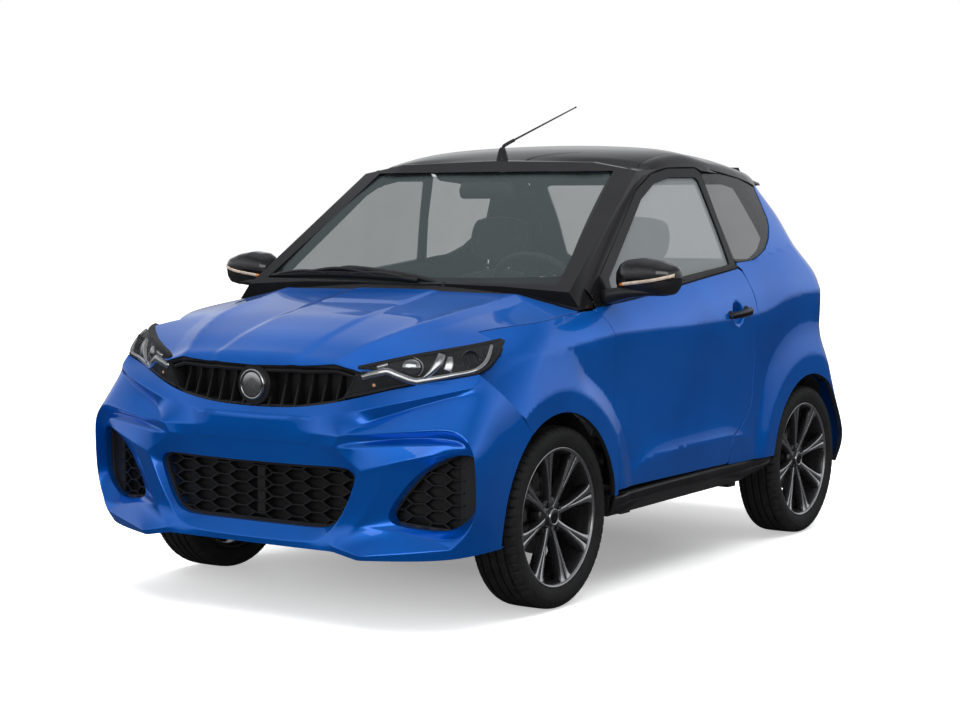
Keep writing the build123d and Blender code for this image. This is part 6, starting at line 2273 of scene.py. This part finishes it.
# ================================================================= cabin
def inflate(o, voxel=6.0, pressure=4.0, cap=18.0, frames=20):
    """Blow the pad up a little with Cloth, cap the movement, and keep the result as plain mesh."""
    m = o.modifiers.new("remesh", "REMESH"); m.mode = "VOXEL"; m.voxel_size = voxel * K; m.use_smooth_shade = True
    apply_mods(o)
    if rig.quick():
        return o
    rest = np.empty(len(o.data.vertices) * 3); o.data.vertices.foreach_get("co", rest); rest = rest.reshape(-1, 3)
    c = o.modifiers.new("cloth", "CLOTH"); s = c.settings
    s.quality = 4; s.mass = 0.3; s.use_pressure = True; s.uniform_pressure_force = pressure
    s.tension_stiffness = s.compression_stiffness = 18; s.shear_stiffness = 6; s.bending_stiffness = 0.6
    s.effector_weights.gravity = 0.0
    c.point_cache.frame_start, c.point_cache.frame_end = 1, frames
    sc_ = bpy.context.scene
    for f in range(1, frames + 1):
        sc_.frame_set(f)
    ev = o.evaluated_get(bpy.context.evaluated_depsgraph_get())
    me = ev.to_mesh()
    new = np.empty(len(me.vertices) * 3); me.vertices.foreach_get("co", new); new = new.reshape(-1, 3)
    ev.to_mesh_clear()
    o.modifiers.remove(c)
    sc_.frame_set(1)
    d = new - rest
    L = np.linalg.norm(d, axis=1)[:, None]
    lim = cap * K
    d = d * np.minimum(1.0, lim / np.maximum(L, 1e-9))
    o.data.vertices.foreach_set("co", (rest + d).ravel())
    o.data.update()
    return o


def press(o, lines, depth=7.0, width=6.0):
    """Draw seams into the pad: every line is a function of the local place (mm) giving a distance (mm) and a weight."""
    n = len(o.data.vertices)
    co = np.empty(n * 3); o.data.vertices.foreach_get("co", co); co = co.reshape(-1, 3)
    no = np.empty(n * 3); o.data.vertex_normals.foreach_get("vector", no); no = no.reshape(-1, 3)
    p = co / K
    a = np.zeros(n)
    for f in lines:
        d, w = f(p)
        a = np.maximum(a, w * np.exp(-(d / width) ** 2))
    o.data.vertices.foreach_set("co", (co - no * (a * depth * K)[:, None]).ravel())
    o.data.update()
    return o


def pad(name, w, l, t, bolster=0.0, crown=8.0, round_=0.5, taper=0.0, n=40, mats="cloth", bottom=0.45):
    """Closed pillow: x across, y along, z up; bolsters along both sides."""
    us = np.sin(np.linspace(-1, 1, n) * math.pi / 2); U, Vv = np.meshgrid(us, us, indexing="ij")
    px = U * np.sqrt(1 - round_ * Vv ** 2 / 2) * w / 2 * (1 - taper * (Vv + 1) / 2)
    py = Vv * np.sqrt(1 - round_ * U ** 2 / 2) * l / 2
    e = np.clip((1 - np.abs(U) ** 7) * (1 - np.abs(Vv) ** 7), 0, 1) ** 0.36
    bo = np.clip((np.abs(U) - 0.60) / 0.26, 0, 1); bo = bo * bo * (3 - 2 * bo)
    top = e * (t * (1 - bottom) + bolster * bo + crown * (1 - U ** 2) * (1 - Vv ** 2) - bolster * 0.25 * (1 - bo))
    bot = -e * t * bottom
    N = n * n
    Vt = np.concatenate([np.stack([px, py, top], -1).reshape(-1, 3), np.stack([px, py, bot], -1).reshape(-1, 3)])
    ids = np.arange(N).reshape(n, n)
    F = []
    for i in range(n - 1):
        for j in range(n - 1):
            q = [int(ids[i, j]), int(ids[i + 1, j]), int(ids[i + 1, j + 1]), int(ids[i, j + 1])]
            F.append(q); F.append([x + N for x in q[::-1]])
    o = obj_from(name, Vt, F, mats)
    bm = bmesh.new(); bm.from_mesh(o.data)
    bmesh.ops.remove_doubles(bm, verts=bm.verts, dist=0.0004)
    bmesh.ops.recalc_face_normals(bm, faces=bm.faces)
    bm.to_mesh(o.data); bm.free()
    return o


def place(o, origin, xa, ya, za):
    m = Matrix(((xa[0], ya[0], za[0], origin[0] * K), (xa[1], ya[1], za[1], origin[1] * K), (xa[2], ya[2], za[2], origin[2] * K), (0, 0, 0, 1)))
    o.data.transform(m)
    return o


def seat():
    # cushion, 450 wide: bolsters, two long seams and three cross channels
    c = inflate(pad("seat_cushion", 428, 424, 118, bolster=26, crown=10, round_=0.42), 6.0, 3.0, 12.0)
    press(c, [lambda p: (np.abs(np.abs(p[:, 0]) - 128), (p[:, 2] > 0) * 1.0),
              lambda p: (np.abs(p[:, 1] - 95), (p[:, 2] > 0) * (np.abs(p[:, 0]) < 128)),
              lambda p: (np.abs(p[:, 1] + 5), (p[:, 2] > 0) * (np.abs(p[:, 0]) < 128)),
              lambda p: (np.abs(p[:, 1] + 105), (p[:, 2] > 0) * (np.abs(p[:, 0]) < 128)),
              lambda p: (np.abs(p[:, 2] - 12), 0.8 + 0 * p[:, 0])], 6.5, 6.0)
    a = math.radians(-2.2)
    place(c, (0, -22, 425), (1, 0, 0), (0, math.cos(a), math.sin(a)), (0, -math.sin(a), math.cos(a)))
    # back, leaning 9 degrees
    b = inflate(pad("seat_back", 414, 600, 92, bolster=26, crown=8, round_=0.46, taper=0.10), 6.0, 3.0, 12.0)
    press(b, [lambda p: (np.abs(np.abs(p[:, 0]) - (122 - 0.02 * (p[:, 1] + 300))), (p[:, 2] > 0) * (p[:, 1] < 205)),
              lambda p: (np.abs(p[:, 1] - 205), (p[:, 2] > 0) * 1.0),
              lambda p: (np.abs(p[:, 1] - 85), (p[:, 2] > 0) * (np.abs(p[:, 0]) < 120)),
              lambda p: (np.abs(p[:, 1] + 30), (p[:, 2] > 0) * (np.abs(p[:, 0]) < 120)),
              lambda p: (np.abs(p[:, 1] + 145), (p[:, 2] > 0) * (np.abs(p[:, 0]) < 120)),
              lambda p: (np.abs(p[:, 2] + 4), 0.8 + 0 * p[:, 0])], 6.5, 6.0)
    t = math.radians(9.6)
    up = (0, math.sin(t), math.cos(t)); fwd = (0, -math.cos(t), math.sin(t))
    place(b, (0, 302, 722), (-1, 0, 0), up, fwd)
    h = inflate(pad("seat_head", 250, 168, 74, bolster=6, crown=10, round_=0.62), 6.0, 3.0, 9.0)
    press(h, [lambda p: (np.abs(p[:, 2] - 2), 0.9 + 0 * p[:, 0]), lambda p: (np.abs(np.abs(p[:, 0]) - 84), (p[:, 2] > 0) * 1.0)], 4.5, 5.0)
    place(h, (0, 362, 1122), (-1, 0, 0), up, fwd)
    posts = []
    for x in (-48, 48):
        posts.append(tube_along("hp", lerp_rows([(x, 340, 1000), (x, 352, 1060), (x, 358, 1100)], 12), 10, 10, "chrome", up=(1, 0, 0)))
        posts.append(lathe("hg", [(0, 13), (8, 13), (11, 10), (12, 5.5)], "satin", "z", (x, 341, 1014), 24))
    return c, b, h, join("seat_posts", posts)


pieces = seat()
for side_n, x0, node in (("driver", 300, "driver_seat"), ("passenger", -300, "passenger_seat")):
    for o, nm in zip(pieces, ("cushion", "back", "headrest", "posts")):
        me = o.data.copy(); me.transform(Matrix.Translation(Vector((x0, 0, 0)) * K))
        q = bpy.data.objects.new("%s_%s" % (side_n, nm), me)
        bpy.context.scene.collection.objects.link(q)
        put(q, "root", "steel" if nm == "posts" else "seat_cloth", [node] if nm == "cushion" else [], padded=None if nm == "posts" else 0.8)
for o in pieces:
    bpy.data.objects.remove(o)


# dashboard: one moulding swept across the cabin, with cowl, vents and screen
DP = [(-612, 640), (-618, 780), (-616, 900), (-590, 930), (-530, 950), (-470, 957), (-440, 953), (-408, 936), (-396, 908), (-402, 880), (-424, 858), (-414, 800), (-418, 760), (-446, 700), (-486, 650)]


def dash():
    P = lerp_rows(rounded([(y, z) for y, z in DP], 12, 4, closed=False) if False else DP, 64)
    xs = np.linspace(-1, 1, 81)
    V = []
    for u in xs:
        for y, z in P:
            hw = 556 - 40 * (z - 640) / 320.0
            x = u * hw
            cowl = 30 * math.exp(-((x - 300) / 125.0) ** 4) * max(0.0, min(1.0, (z - 900) / 40.0)) * (1 if -560 < y < -390 else 0) * math.sin(math.pi * max(0.0, min(1.0, (y + 560) / 170.0)))
            mid = 26 * math.exp(-((x + 0) / 120.0) ** 4) * max(0.0, min(1.0, (940 - z) / 60.0)) * (1 if y > -500 else 0)
            V.append((x, y + mid * 0.6 - 18 * (abs(u) ** 4) * (1 if y > -500 else 0), z + cowl))
    m = len(P)
    F = [[i * m + k, i * m + (k + 1) % m, (i + 1) * m + (k + 1) % m, (i + 1) * m + k] for i in range(80) for k in range(m)]
    F += [list(range(m))[::-1], [80 * m + k for k in range(m)]]
    o = obj_from("d", V, F, "trim")
    bm = bmesh.new(); bm.from_mesh(o.data); bmesh.ops.recalc_face_normals(bm, faces=bm.faces); bm.to_mesh(o.data); bm.free()
    parts = [sharpen(o, 60)]

    def face_y(x, z):
        return -400 + 26 * 0.6 * math.exp(-(x / 120.0) ** 4) - 18 * (abs(x) / 540.0) ** 4

    for x, z in ((-440, 862), (-92, 868), (92, 868), (470, 862)):
        parts.append(lathe("dv", [(-14, 0.01), (-14, 30), (-4, 33), (2, 35), (4.5, 38), (4, 41), (-4, 42), (-16, 41)], ["lamp_black", "satin"], "y", (x, face_y(x, z) - 6, z), 40, idx=[0, 0, 1, 1, 1, 1, 1]))
        for dz in (-18, -6, 6, 18):
            parts.append(tube_along("ds", [(x - math.sqrt(33 ** 2 - dz ** 2) * s_, face_y(x, z) - 6, z + dz) for s_ in np.linspace(-1, 1, 8)], 12, 2.4, "satin", up=(0, -0.35, 0.93)))
    # blank display and the switch row under it
    def slab(name, x0, x1, z0, z1, y, d, mats, r=8):
        loop = rounded([(x0, z0), (x1, z0), (x1, z1), (x0, z1)], r, 5)
        return panel(name, loop, surface(lambda a, b: np.full(np.shape(np.atleast_1d(a)), y) + 0.12 * (np.atleast_1d(b) - z0) * -1, "rear"), h=24, depth=d, edge=2.0, mats=mats)
    parts.append(slab("dd", -88, 88, 742, 838, -376, 14, "piano"))
    parts.append(slab("db", -72, 72, 690, 726, -372, 12, "satin"))
    parts.append(slab("dg", -470, -150, 700, 792, -398, 10, "trim", 14))
    for x in (-48, -16, 16, 48):
        parts.append(lathe("dk", [(-4, 12), (10, 11.4), (12, 10.2), (12.2, 0.01)], "satin", "y", (x, -372, 708), 28))
    # instruments: a hooded dark cluster behind the wheel
    parts.append(slab("dc", 212, 388, 882, 948, -424, 10, "piano", 16))
    for x, r in ((250, 26), (350, 26), (300, 20)):
        parts.append(lathe("dr", [(-2, r), (3, r), (4, r - 1.6), (1.6, r - 3), (1.4, 0.01)], ["dark_chrome", "lamp_black"], "y", (x, -420, 915), 40, idx=[0, 0, 0, 1]))
    return join("dashboard_moulding", parts)


put(dash(), "root", "trim_soft", ["dashboard"])


# steering wheel: stitched rim with thumb rests, three spokes and a soft hub
def steering():
    C = np.array([300.0, -330.0, 925.0])
    A = np.array([0, 0.906, 0.423]); A /= np.linalg.norm(A)
    U = np.array([1.0, 0, 0]); Wv = np.cross(A, U)
    R, r = 172.0, 14.0
    n, m = 144, 20
    V = []
    for i in range(n):
        t = 2 * math.pi * i / n
        fat = 1 + 0.10 * (math.exp(-((math.degrees(t) - 20) / 12) ** 2) + math.exp(-((math.degrees(t) - 160) / 12) ** 2))
        flat = 1 - 0.045 * math.exp(-((math.degrees(t) - 270) / 26) ** 2)
        d = U * math.cos(t) + Wv * math.sin(t)
        for k in range(m):
            a = 2 * math.pi * k / m
            rr = r * fat * (1 - (0.07 if k == 10 else 0))
            V.append(C + d * (R * flat + rr * math.cos(a)) + A * (rr * 0.92 * math.sin(a)))
    F = [[i * m + k, i * m + (k + 1) % m, ((i + 1) % n) * m + (k + 1) % m, ((i + 1) % n) * m + k] for i in range(n) for k in range(m)]
    parts = [obj_from("sr", V, F, "leather")]
    for ang, w0, w1 in ((4, 30, 22), (176, 30, 22), (270, 34, 26)):
        t = math.radians(ang)
        d = U * math.cos(t) + Wv * math.sin(t); s = np.cross(A, d)
        V = []
        q = 14
        for i in range(q):
            f = i / (q - 1)
            c = C + d * (50 + f * (R - 8 - 50)) - A * (14 * (1 - f))
            w = w0 + (w1 - w0) * f
            for k in range(16):
                a = 2 * math.pi * k / 16
                V.append(c + s * (w * math.copysign(abs(math.cos(a)) ** 0.6, math.cos(a))) + A * (7 * math.copysign(abs(math.sin(a)) ** 0.8, math.sin(a))))
        F = [[i * 16 + k, i * 16 + (k + 1) % 16, (i + 1) * 16 + (k + 1) % 16, (i + 1) * 16 + k] for i in range(q - 1) for k in range(16)]
        parts.append(obj_from("ss", V, F, "satin"))
    hub = lathe("sh", [(-58, 0.01), (-58, 26), (-34, 34), (-26, 58), (-6, 66), (4, 64), (9, 56), (12, 36), (13, 0.01)], "trim", "y", (0, 0, 0), 64, sharp=50)
    rot = Matrix(((U[0], A[0], -Wv[0], C[0] * K), (U[1], A[1], -Wv[1], C[1] * K), (U[2], A[2], -Wv[2], C[2] * K), (0, 0, 0, 1)))
    hub.data.transform(rot)
    parts.append(hub)
    o = join("steering_wheel_rim", parts)
    bm = bmesh.new(); bm.from_mesh(o.data); bmesh.ops.recalc_face_normals(bm, faces=bm.faces); bm.to_mesh(o.data); bm.free()
    return sharpen(o, 50)


put(steering(), "steering_wheel_body", "trim_soft", ["steering_wheel"])

# interior mirror on its foot at the top of the glass
def cabin_mirror():
    loop = rounded([(-112, 1268), (112, 1268), (118, 1300), (104, 1328), (-104, 1328), (-118, 1300)], 22, 5)
    c = np.array([0, 1298.0]); L = np.array(loop); n = len(L)
    V = []
    st = [(-192, 0.94), (-191, 1.0), (-198, 1.0), (-209, 0.93), (-216, 0.72), (-219, 0.4), (-220, 0.0)]
    for y, s in st:
        q = c + (L - c) * s
        V += [(x, y, z) for x, z in q]
    F = [[i * n + k, i * n + (k + 1) % n, (i + 1) * n + (k + 1) % n, (i + 1) * n + k] for i in range(len(st) - 1) for k in range(n)]
    o = obj_from("im", V, F, "satin")
    g = obj_from("ig", [(x, -192.4, z) for x, z in c + (L - c) * 0.945], [list(range(n))], "mirror")
    arm = tube_along("ia", lerp_rows([(0, -210, 1300), (0, -196, 1326), (0, -168, 1345), (0, -140, 1362)], 16), 14, 12, "satin", up=(1, 0, 0))
    o = join("cabin_mirror", [o, g, arm])
    return sharpen(o, 50)


put(cabin_mirror(), "root", "trim_soft")

# headlining under the roof, carpets on the floor and in the boot
hl = panel("headlining", [(x * 0.94, y) for x, y in [(-470, -88), (470, -88), (520, 200), (525, 480), (506, 738), (-506, 738), (-525, 480), (-520, 200)]],
           surface(lambda x, y: roof(x, y) - 30.0, "top"), h=40, depth=4, mats="trim")
hdr_x = np.linspace(-455, 455, 41)
rear_header = tube_along("rear_header", np.stack([hdr_x, np.full(41, 712.0), roof(hdr_x, np.full(41, 712.0)) - 48], 1), 40, 32, "trim")
put(rear_header, "root", "trim_soft")
put(hl, "root", "trim_soft")


def carpet(name, x0, x1, y0, y1, z):
    nx, ny = 34, 40
    V = []
    for i in range(nx):
        for j in range(ny):
            x = x0 + (x1 - x0) * i / (nx - 1); y = y0 + (y1 - y0) * j / (ny - 1)
            e = min(1.0, min(x - x0, x1 - x, y - y0, y1 - y) / 14.0)
            V.append((x, y, z + 1 + 5 * math.sqrt(max(e, 0)) + 1.2 * math.sin(x / 57.0) * math.sin(y / 71.0)))
    F = [[i * ny + j, (i + 1) * ny + j, (i + 1) * ny + j + 1, i * ny + j + 1] for i in range(nx - 1) for j in range(ny - 1)]
    return obj_from(name, V, F, "carpet")


put(carpet("floor_carpet", -515, 515, -600, 560, 300), "root", "trim_soft")
put(carpet("boot_carpet", -520, 520, 572, 1425, 345), "root", "trim_soft")

# ================================================================= linings, seen with the doors, bonnet and tailgate open
def door_lining():
    o_out = [tuple(p) for p in offset_loop(door_skin_outline, -13)]

    def inner(y, z):
        base = W(y, z) - 62
        arm = -34 * np.exp(-((z - 742) / 30.0) ** 2) * (1 / (1 + np.exp(-(y + 330) / 22))) * (1 / (1 + np.exp((y - 330) / 22)))
        pocket = -22 * np.exp(-((z - 470) / 60.0) ** 4) * (1 / (1 + np.exp(-(y + 430) / 20))) * (1 / (1 + np.exp((y - 150) / 20)))
        return base + arm + pocket
    s_in = surface(inner, "side", side=1)
    a = panel("dl", o_out, s_in, h=15, depth=-44, edge=3, mats="trim")
    # edge of the door: painted return between skin and lining
    n = len(o_out)
    L = refine(o_out, 16)
    yy = np.array([p[0] for p in L]); zz = np.array([p[1] for p in L])
    x1 = W(yy, zz) - 8; x0 = inner(yy, zz) - 1
    V = np.concatenate([np.stack([x1, yy, zz], 1), np.stack([x0, yy, zz], 1)])
    m = len(L)
    F = [[k, (k + 1) % m, m + (k + 1) % m, m + k] for k in range(m)]
    b = obj_from("de", V, F, "paint")
    bm = bmesh.new(); bm.from_mesh(b.data); bmesh.ops.recalc_face_normals(bm, faces=bm.faces); bm.to_mesh(b.data); bm.free()
    parts = [a, sharpen(b, 40)]
    # pull handle, release and speaker
    hp = [(float(inner(np.array([y]), np.array([790.0]))[0]) - 6 - 16 * math.sin(math.pi * (y + 250) / 180.0), y, 800 + (y + 250) * 0.08) for y in np.linspace(-250, -70, 24)]
    parts.append(tube_along("dh", hp, 14, 22, "satin"))
    x = float(inner(np.array([-330.0]), np.array([842.0]))[0])
    parts.append(lathe("dr", [(4, 30), (-3, 29), (-5, 26), (-1, 22), (0, 0.01)], ["satin", "satin", "satin", "dark_chrome"], "x", (x, -330, 842), 32))
    x = float(inner(np.array([-330.0]), np.array([560.0]))[0])
    parts.append(lathe("dq", [(6, 76), (-4, 75), (-6, 71), (-3, 68), (-4, 40), (-5, 0.01)], ["satin", "satin", "satin", "mesh", "mesh"], "x", (x, -330, 590), 48))
    return join("door_lining_left", parts)


dl = door_lining(); dlr = mirrored(dl, "door_lining_right")
put(dl, "left_door", "trim_soft"); put(dlr, "right_door", "trim_soft")

# tailgate lining below its glass
tg_l = panel("tailgate_lining", both_ways([(0, 684), (300, 684), (s_tail(490, 688), 688), (s_tail(520, 760), 760), (s_tail(548, 962), 962), (s_tail(540, 1004), 1004), (300, 1006), (0, 1006)]),
             wrap_tail(lift=-34.0), h=22, depth=-16, edge=3, mats="trim")
put(tg_l, "tailgate_body", "trim_soft")

# bonnet underside: a pressed frame of ribs
bo = [(x * 0.965, y * 0.985 - 14) for x, y in hood_outline]
cells = []
for x0, x1 in ((60, 240), (285, 440)):
    for y0, y1 in ((-1330, -1130), (-1090, -930), (-890, -790)):
        if x1 > 300 and y0 < -1300:
            y0, y1 = -1290, -1130
        for s in (1, -1):
            q = rounded([(s * x0, y0), (s * x1, y0), (s * x1, y1), (s * x0, y1)], 24, 4)
            cells.append(q if s > 0 else q[::-1])
bi = panel("bonnet_frame", bo, surface(lambda x, y: hood(x, y) - 26.0, "top"), holes=cells, h=20, depth=10, edge=4, mats="satin")
put(bi, "bonnet_body", "black_plastic")

# cabin side of the rear quarters
ql = panel("quarter_lining_left", [tuple(p) for p in offset_loop(refine(quarter_outline, 22), -3)], wrap_tail(lift=-36.0), h=26, depth=-14, edge=2, mats="trim")
qlr = mirrored(ql, "quarter_lining_right")
put(ql, "root", "trim_soft"); put(qlr, "root", "trim_soft")

# cant rails inside, between the door tops and the headlining
def cant_rail():
    ys = np.linspace(-128, 738, 60)
    V = []
    for y in ys:
        zt = float(np.interp(y, [-128, 0, 260, 450, 738], [1344, 1376, 1388, 1376, 1338]))
        x0 = float(W(y, zt)) - 24
        xe = min(float(side_roof_edge(y)[0][0]) - 70, 520.0)
        z1 = float(roof(xe, y)) - 31
        for t in np.linspace(0, 1, 7):
            V.append((x0 + (xe - x0) * t, y, zt - 4 + (z1 - zt + 4) * math.sin(t * math.pi / 2)))
        V.append((x0 - 4, y, zt - 16 - 24 * float(step(y, 268, 312))))
    m = 8
    F = []
    for i in range(len(ys) - 1):
        F.append([i * m + 7, (i + 1) * m + 7, (i + 1) * m, i * m])
        F += [[i * m + k, (i + 1) * m + k, (i + 1) * m + k + 1, i * m + k + 1] for k in range(6)]
    o = obj_from("cant_rail_left", V, F, "trim")
    t = o.modifiers.new("t", "SOLIDIFY"); t.thickness = 0.003
    apply_mods(o)
    return sharpen(o, 50)


cr = cant_rail(); crr = mirrored(cr, "cant_rail_right")
put(cr, "root", "trim_soft"); put(crr, "root", "trim_soft")

# ================================================================= finishes of the CAD nodes that stay
FINISH = {
    "body_frame": "gloss", "side_sills": "plastic", "floor_pan": "steel", "bulkhead": "steel", "wheel_houses": "plastic",
    "seat_frames": "steel", "engine": "engine", "front_subframe": "steel", "left_knuckle": "steel", "right_knuckle": "steel",
    "rear_axle": "steel", "exhaust": "steel", "aerial": "satin", "wiper": "satin", "dashboard": "trim", "steering_wheel": "leather",
    "driver_seat": "cloth", "passenger_seat": "cloth", "front_bumper": "paint", "rear_bumper": "paint", "tailgate": "paint",
    "lower_grilles": "mesh", "upper_grille": "mesh", "headlamps": "lens", "tail_lamps": "red", "mirror_left": "gloss", "mirror_right": "gloss",
    "rear_window": "privacy", "windscreen": "glass",
}
for name, o in frame["nodes"].items():
    fin = FINISH.get(name)
    if fin is None:
        fin = "rubber" if name.endswith("_tyre") else "wheel_black" if name.endswith("_wheel") else "plastic"
    if not o.material_slots:
        o.data.materials.append(M[fin])
    for s_ in o.material_slots:
        s_.material = M[fin]

# ================================================================= floor, lights, camera
bpy.ops.mesh.primitive_plane_add(size=60, location=(0, 0, 0))
floor = bpy.context.object
floor.name = "studio_floor"
fm = Mat("studio_floor_paper", (0.86, 0.86, 0.865), rough=0.55)
fm.link(fm.ramp(fm.noise(0.35, 3.0), [(0.3, (0.86, 0.86, 0.865)), (0.75, (0.885, 0.885, 0.89))]), fm.b.inputs["Base Color"])
# seen directly the sweep glows towards its far edge and meets the white surround with no line; its glow is kept low
# near the car, painted shade standing in for the car's shadow; in reflections it is a mid grey, painted shade in what
# the car reflects, as black flags round a studio car make it
fg = fm.new("ShaderNodeTexCoord")
fl = fm.new("ShaderNodeVectorMath"); fl.operation = "LENGTH"
fm.nt.links.new(fg.outputs["Object"], fl.inputs[0])
fe = fm.new("ShaderNodeEmission")
fe.inputs["Color"].default_value = (1, 1, 1, 1)
# painted shade: the glow is weakest under and round the car and climbs outwards
fm.link(fm.math("ADD", fm.range(fl.outputs["Value"], 0.27, 0.57, 0.5, 1.4), fm.range(fl.outputs["Value"], 0.0, 0.43, 1.4, 8.0)), fe.inputs["Strength"])
fa = fm.new("ShaderNodeAddShader")
fd = fm.new("ShaderNodeBsdfDiffuse")
fd.inputs["Color"].default_value = (0.035, 0.035, 0.037, 1)
flp = fm.new("ShaderNodeLightPath")
fx = fm.new("ShaderNodeMixShader")
fout = [n for n in fm.nt.nodes if n.type == "OUTPUT_MATERIAL"][0]
fm.nt.links.new(fm.b.outputs[0], fa.inputs[0])
fm.nt.links.new(fe.outputs[0], fa.inputs[1])
# painted shade: glossy rays see only the dark diffuse, diffuse rays a little over half of it
fh = fm.new("ShaderNodeMath"); fh.operation = "MULTIPLY_ADD"; fh.use_clamp = True
fh.inputs[1].default_value = 0.55
fm.nt.links.new(flp.outputs["Is Diffuse Ray"], fh.inputs[0])
fm.nt.links.new(flp.outputs["Is Glossy Ray"], fh.inputs[2])
fm.nt.links.new(fh.outputs[0], fx.inputs[0])
fm.nt.links.new(fa.outputs[0], fx.inputs[1])
fm.nt.links.new(fd.outputs[0], fx.inputs[2])
fm.nt.links.new(fx.outputs[0], fout.inputs["Surface"])
fm.done()
floor.data.materials.append(fm.m)
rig.stage(floor)


def area(name, loc, target, size, size_y, power, color=(1, 1, 1)):
    L = bpy.data.lights.new(name, "AREA")
    L.shape = "RECTANGLE"; L.size, L.size_y = size, size_y
    L.energy = power; L.color = color
    o = bpy.data.objects.new(name, L)
    bpy.context.scene.collection.objects.link(o)
    o.location = loc
    d = Vector(target) - Vector(loc)
    o.rotation_euler = d.to_track_quat("-Z", "Y").to_euler()
    return o


area("key_front", (3.6, -8.6, 3.6), (0, -0.4, 0.6), 8.0, 3.2, 120)
for L_ in (area("softbox_top", (0.2, 0.4, 5.2), (0.1, 0.2, 0.5), 6.5, 8.0, 560), area("fill_left", (7.6, 0.6, 3.2), (0, 0.2, 0.6), 6.5, 1.4, 30),
           area("fill_right", (-7.4, -1.5, 3.2), (0, 0, 0.6), 6.5, 1.4, 40), area("fill_back", (0.0, 7.6, 3.2), (0, 0, 0.6), 6.5, 1.4, 80)):
    L_.visible_glossy = False

world = bpy.data.worlds.new("studio")
bpy.context.scene.world = world
world.use_nodes = True
wn = world.node_tree
bgn = wn.nodes["Background"]
tc = wn.nodes.new("ShaderNodeTexCoord")
sx_ = wn.nodes.new("ShaderNodeSeparateXYZ")
wn.links.new(tc.outputs["Generated"], sx_.inputs[0])
rp = wn.nodes.new("ShaderNodeValToRGB")
e = rp.color_ramp.elements
e[0].position, e[0].color = 0.0, (0.22, 0.222, 0.228, 1)
e[1].position, e[1].color = 1.0, (0.42, 0.425, 0.435, 1)
for pos_, c_ in ((0.05, (0.42, 0.425, 0.435, 1)), (0.20, (0.80, 0.81, 0.825, 1)), (0.34, (0.56, 0.57, 0.585, 1)), (0.52, (0.34, 0.345, 0.355, 1)), (0.68, (0.20, 0.203, 0.21, 1)), (0.92, (0.42, 0.425, 0.435, 1))):
    q_ = e.new(pos_); q_.color = c_
wn.links.new(sx_.outputs[2], rp.inputs[0])
dfb = wn.nodes.new("ShaderNodeMixRGB")
dfb.inputs[1].default_value = (0.56, 0.57, 0.58, 1)
wn.links.new(rp.outputs[0], dfb.inputs[2])
lpg = wn.nodes.new("ShaderNodeLightPath")
wn.links.new(lpg.outputs["Is Glossy Ray"], dfb.inputs[0])
wn.links.new(dfb.outputs[0], bgn.inputs["Color"])
bgn.inputs["Strength"].default_value = 0.85
white = wn.nodes.new("ShaderNodeBackground")
white.inputs["Color"].default_value = (1, 1, 1, 1)
white.inputs["Strength"].default_value = 1.0
lp = wn.nodes.new("ShaderNodeLightPath")
mx = wn.nodes.new("ShaderNodeMixShader")
wn.links.new(lp.outputs["Is Camera Ray"], mx.inputs[0])
wn.links.new(bgn.outputs[0], mx.inputs[1])
wn.links.new(white.outputs[0], mx.inputs[2])
wo = [n for n in wn.nodes if n.type == "OUTPUT_WORLD"][0]
wn.links.new(mx.outputs[0], wo.inputs["Surface"])

cam = bpy.data.cameras.new("camera")
cam.sensor_width = 36.0
cam.lens = 1951.56 / 960 * 36.0
cam.clip_end = 200
co = bpy.data.objects.new("camera", cam)
bpy.context.scene.collection.objects.link(co)
co.matrix_world = Matrix(((0.8339, -0.0432, 0.5501, 3.78867), (0.5518, 0.0575, -0.8320, -5.96667), (0.0043, 0.9974, 0.0718, 1.1945), (0, 0, 0, 1)))
bpy.context.scene.camera = co

vt = bpy.context.scene.view_settings
try:
    vt.view_transform = "Standard"
except TypeError:
    pass

json.dump({"cad": CAD_BOX, "visual": [[float(c) for c in corner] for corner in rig.bounds()]}, open("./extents.json", "w"))
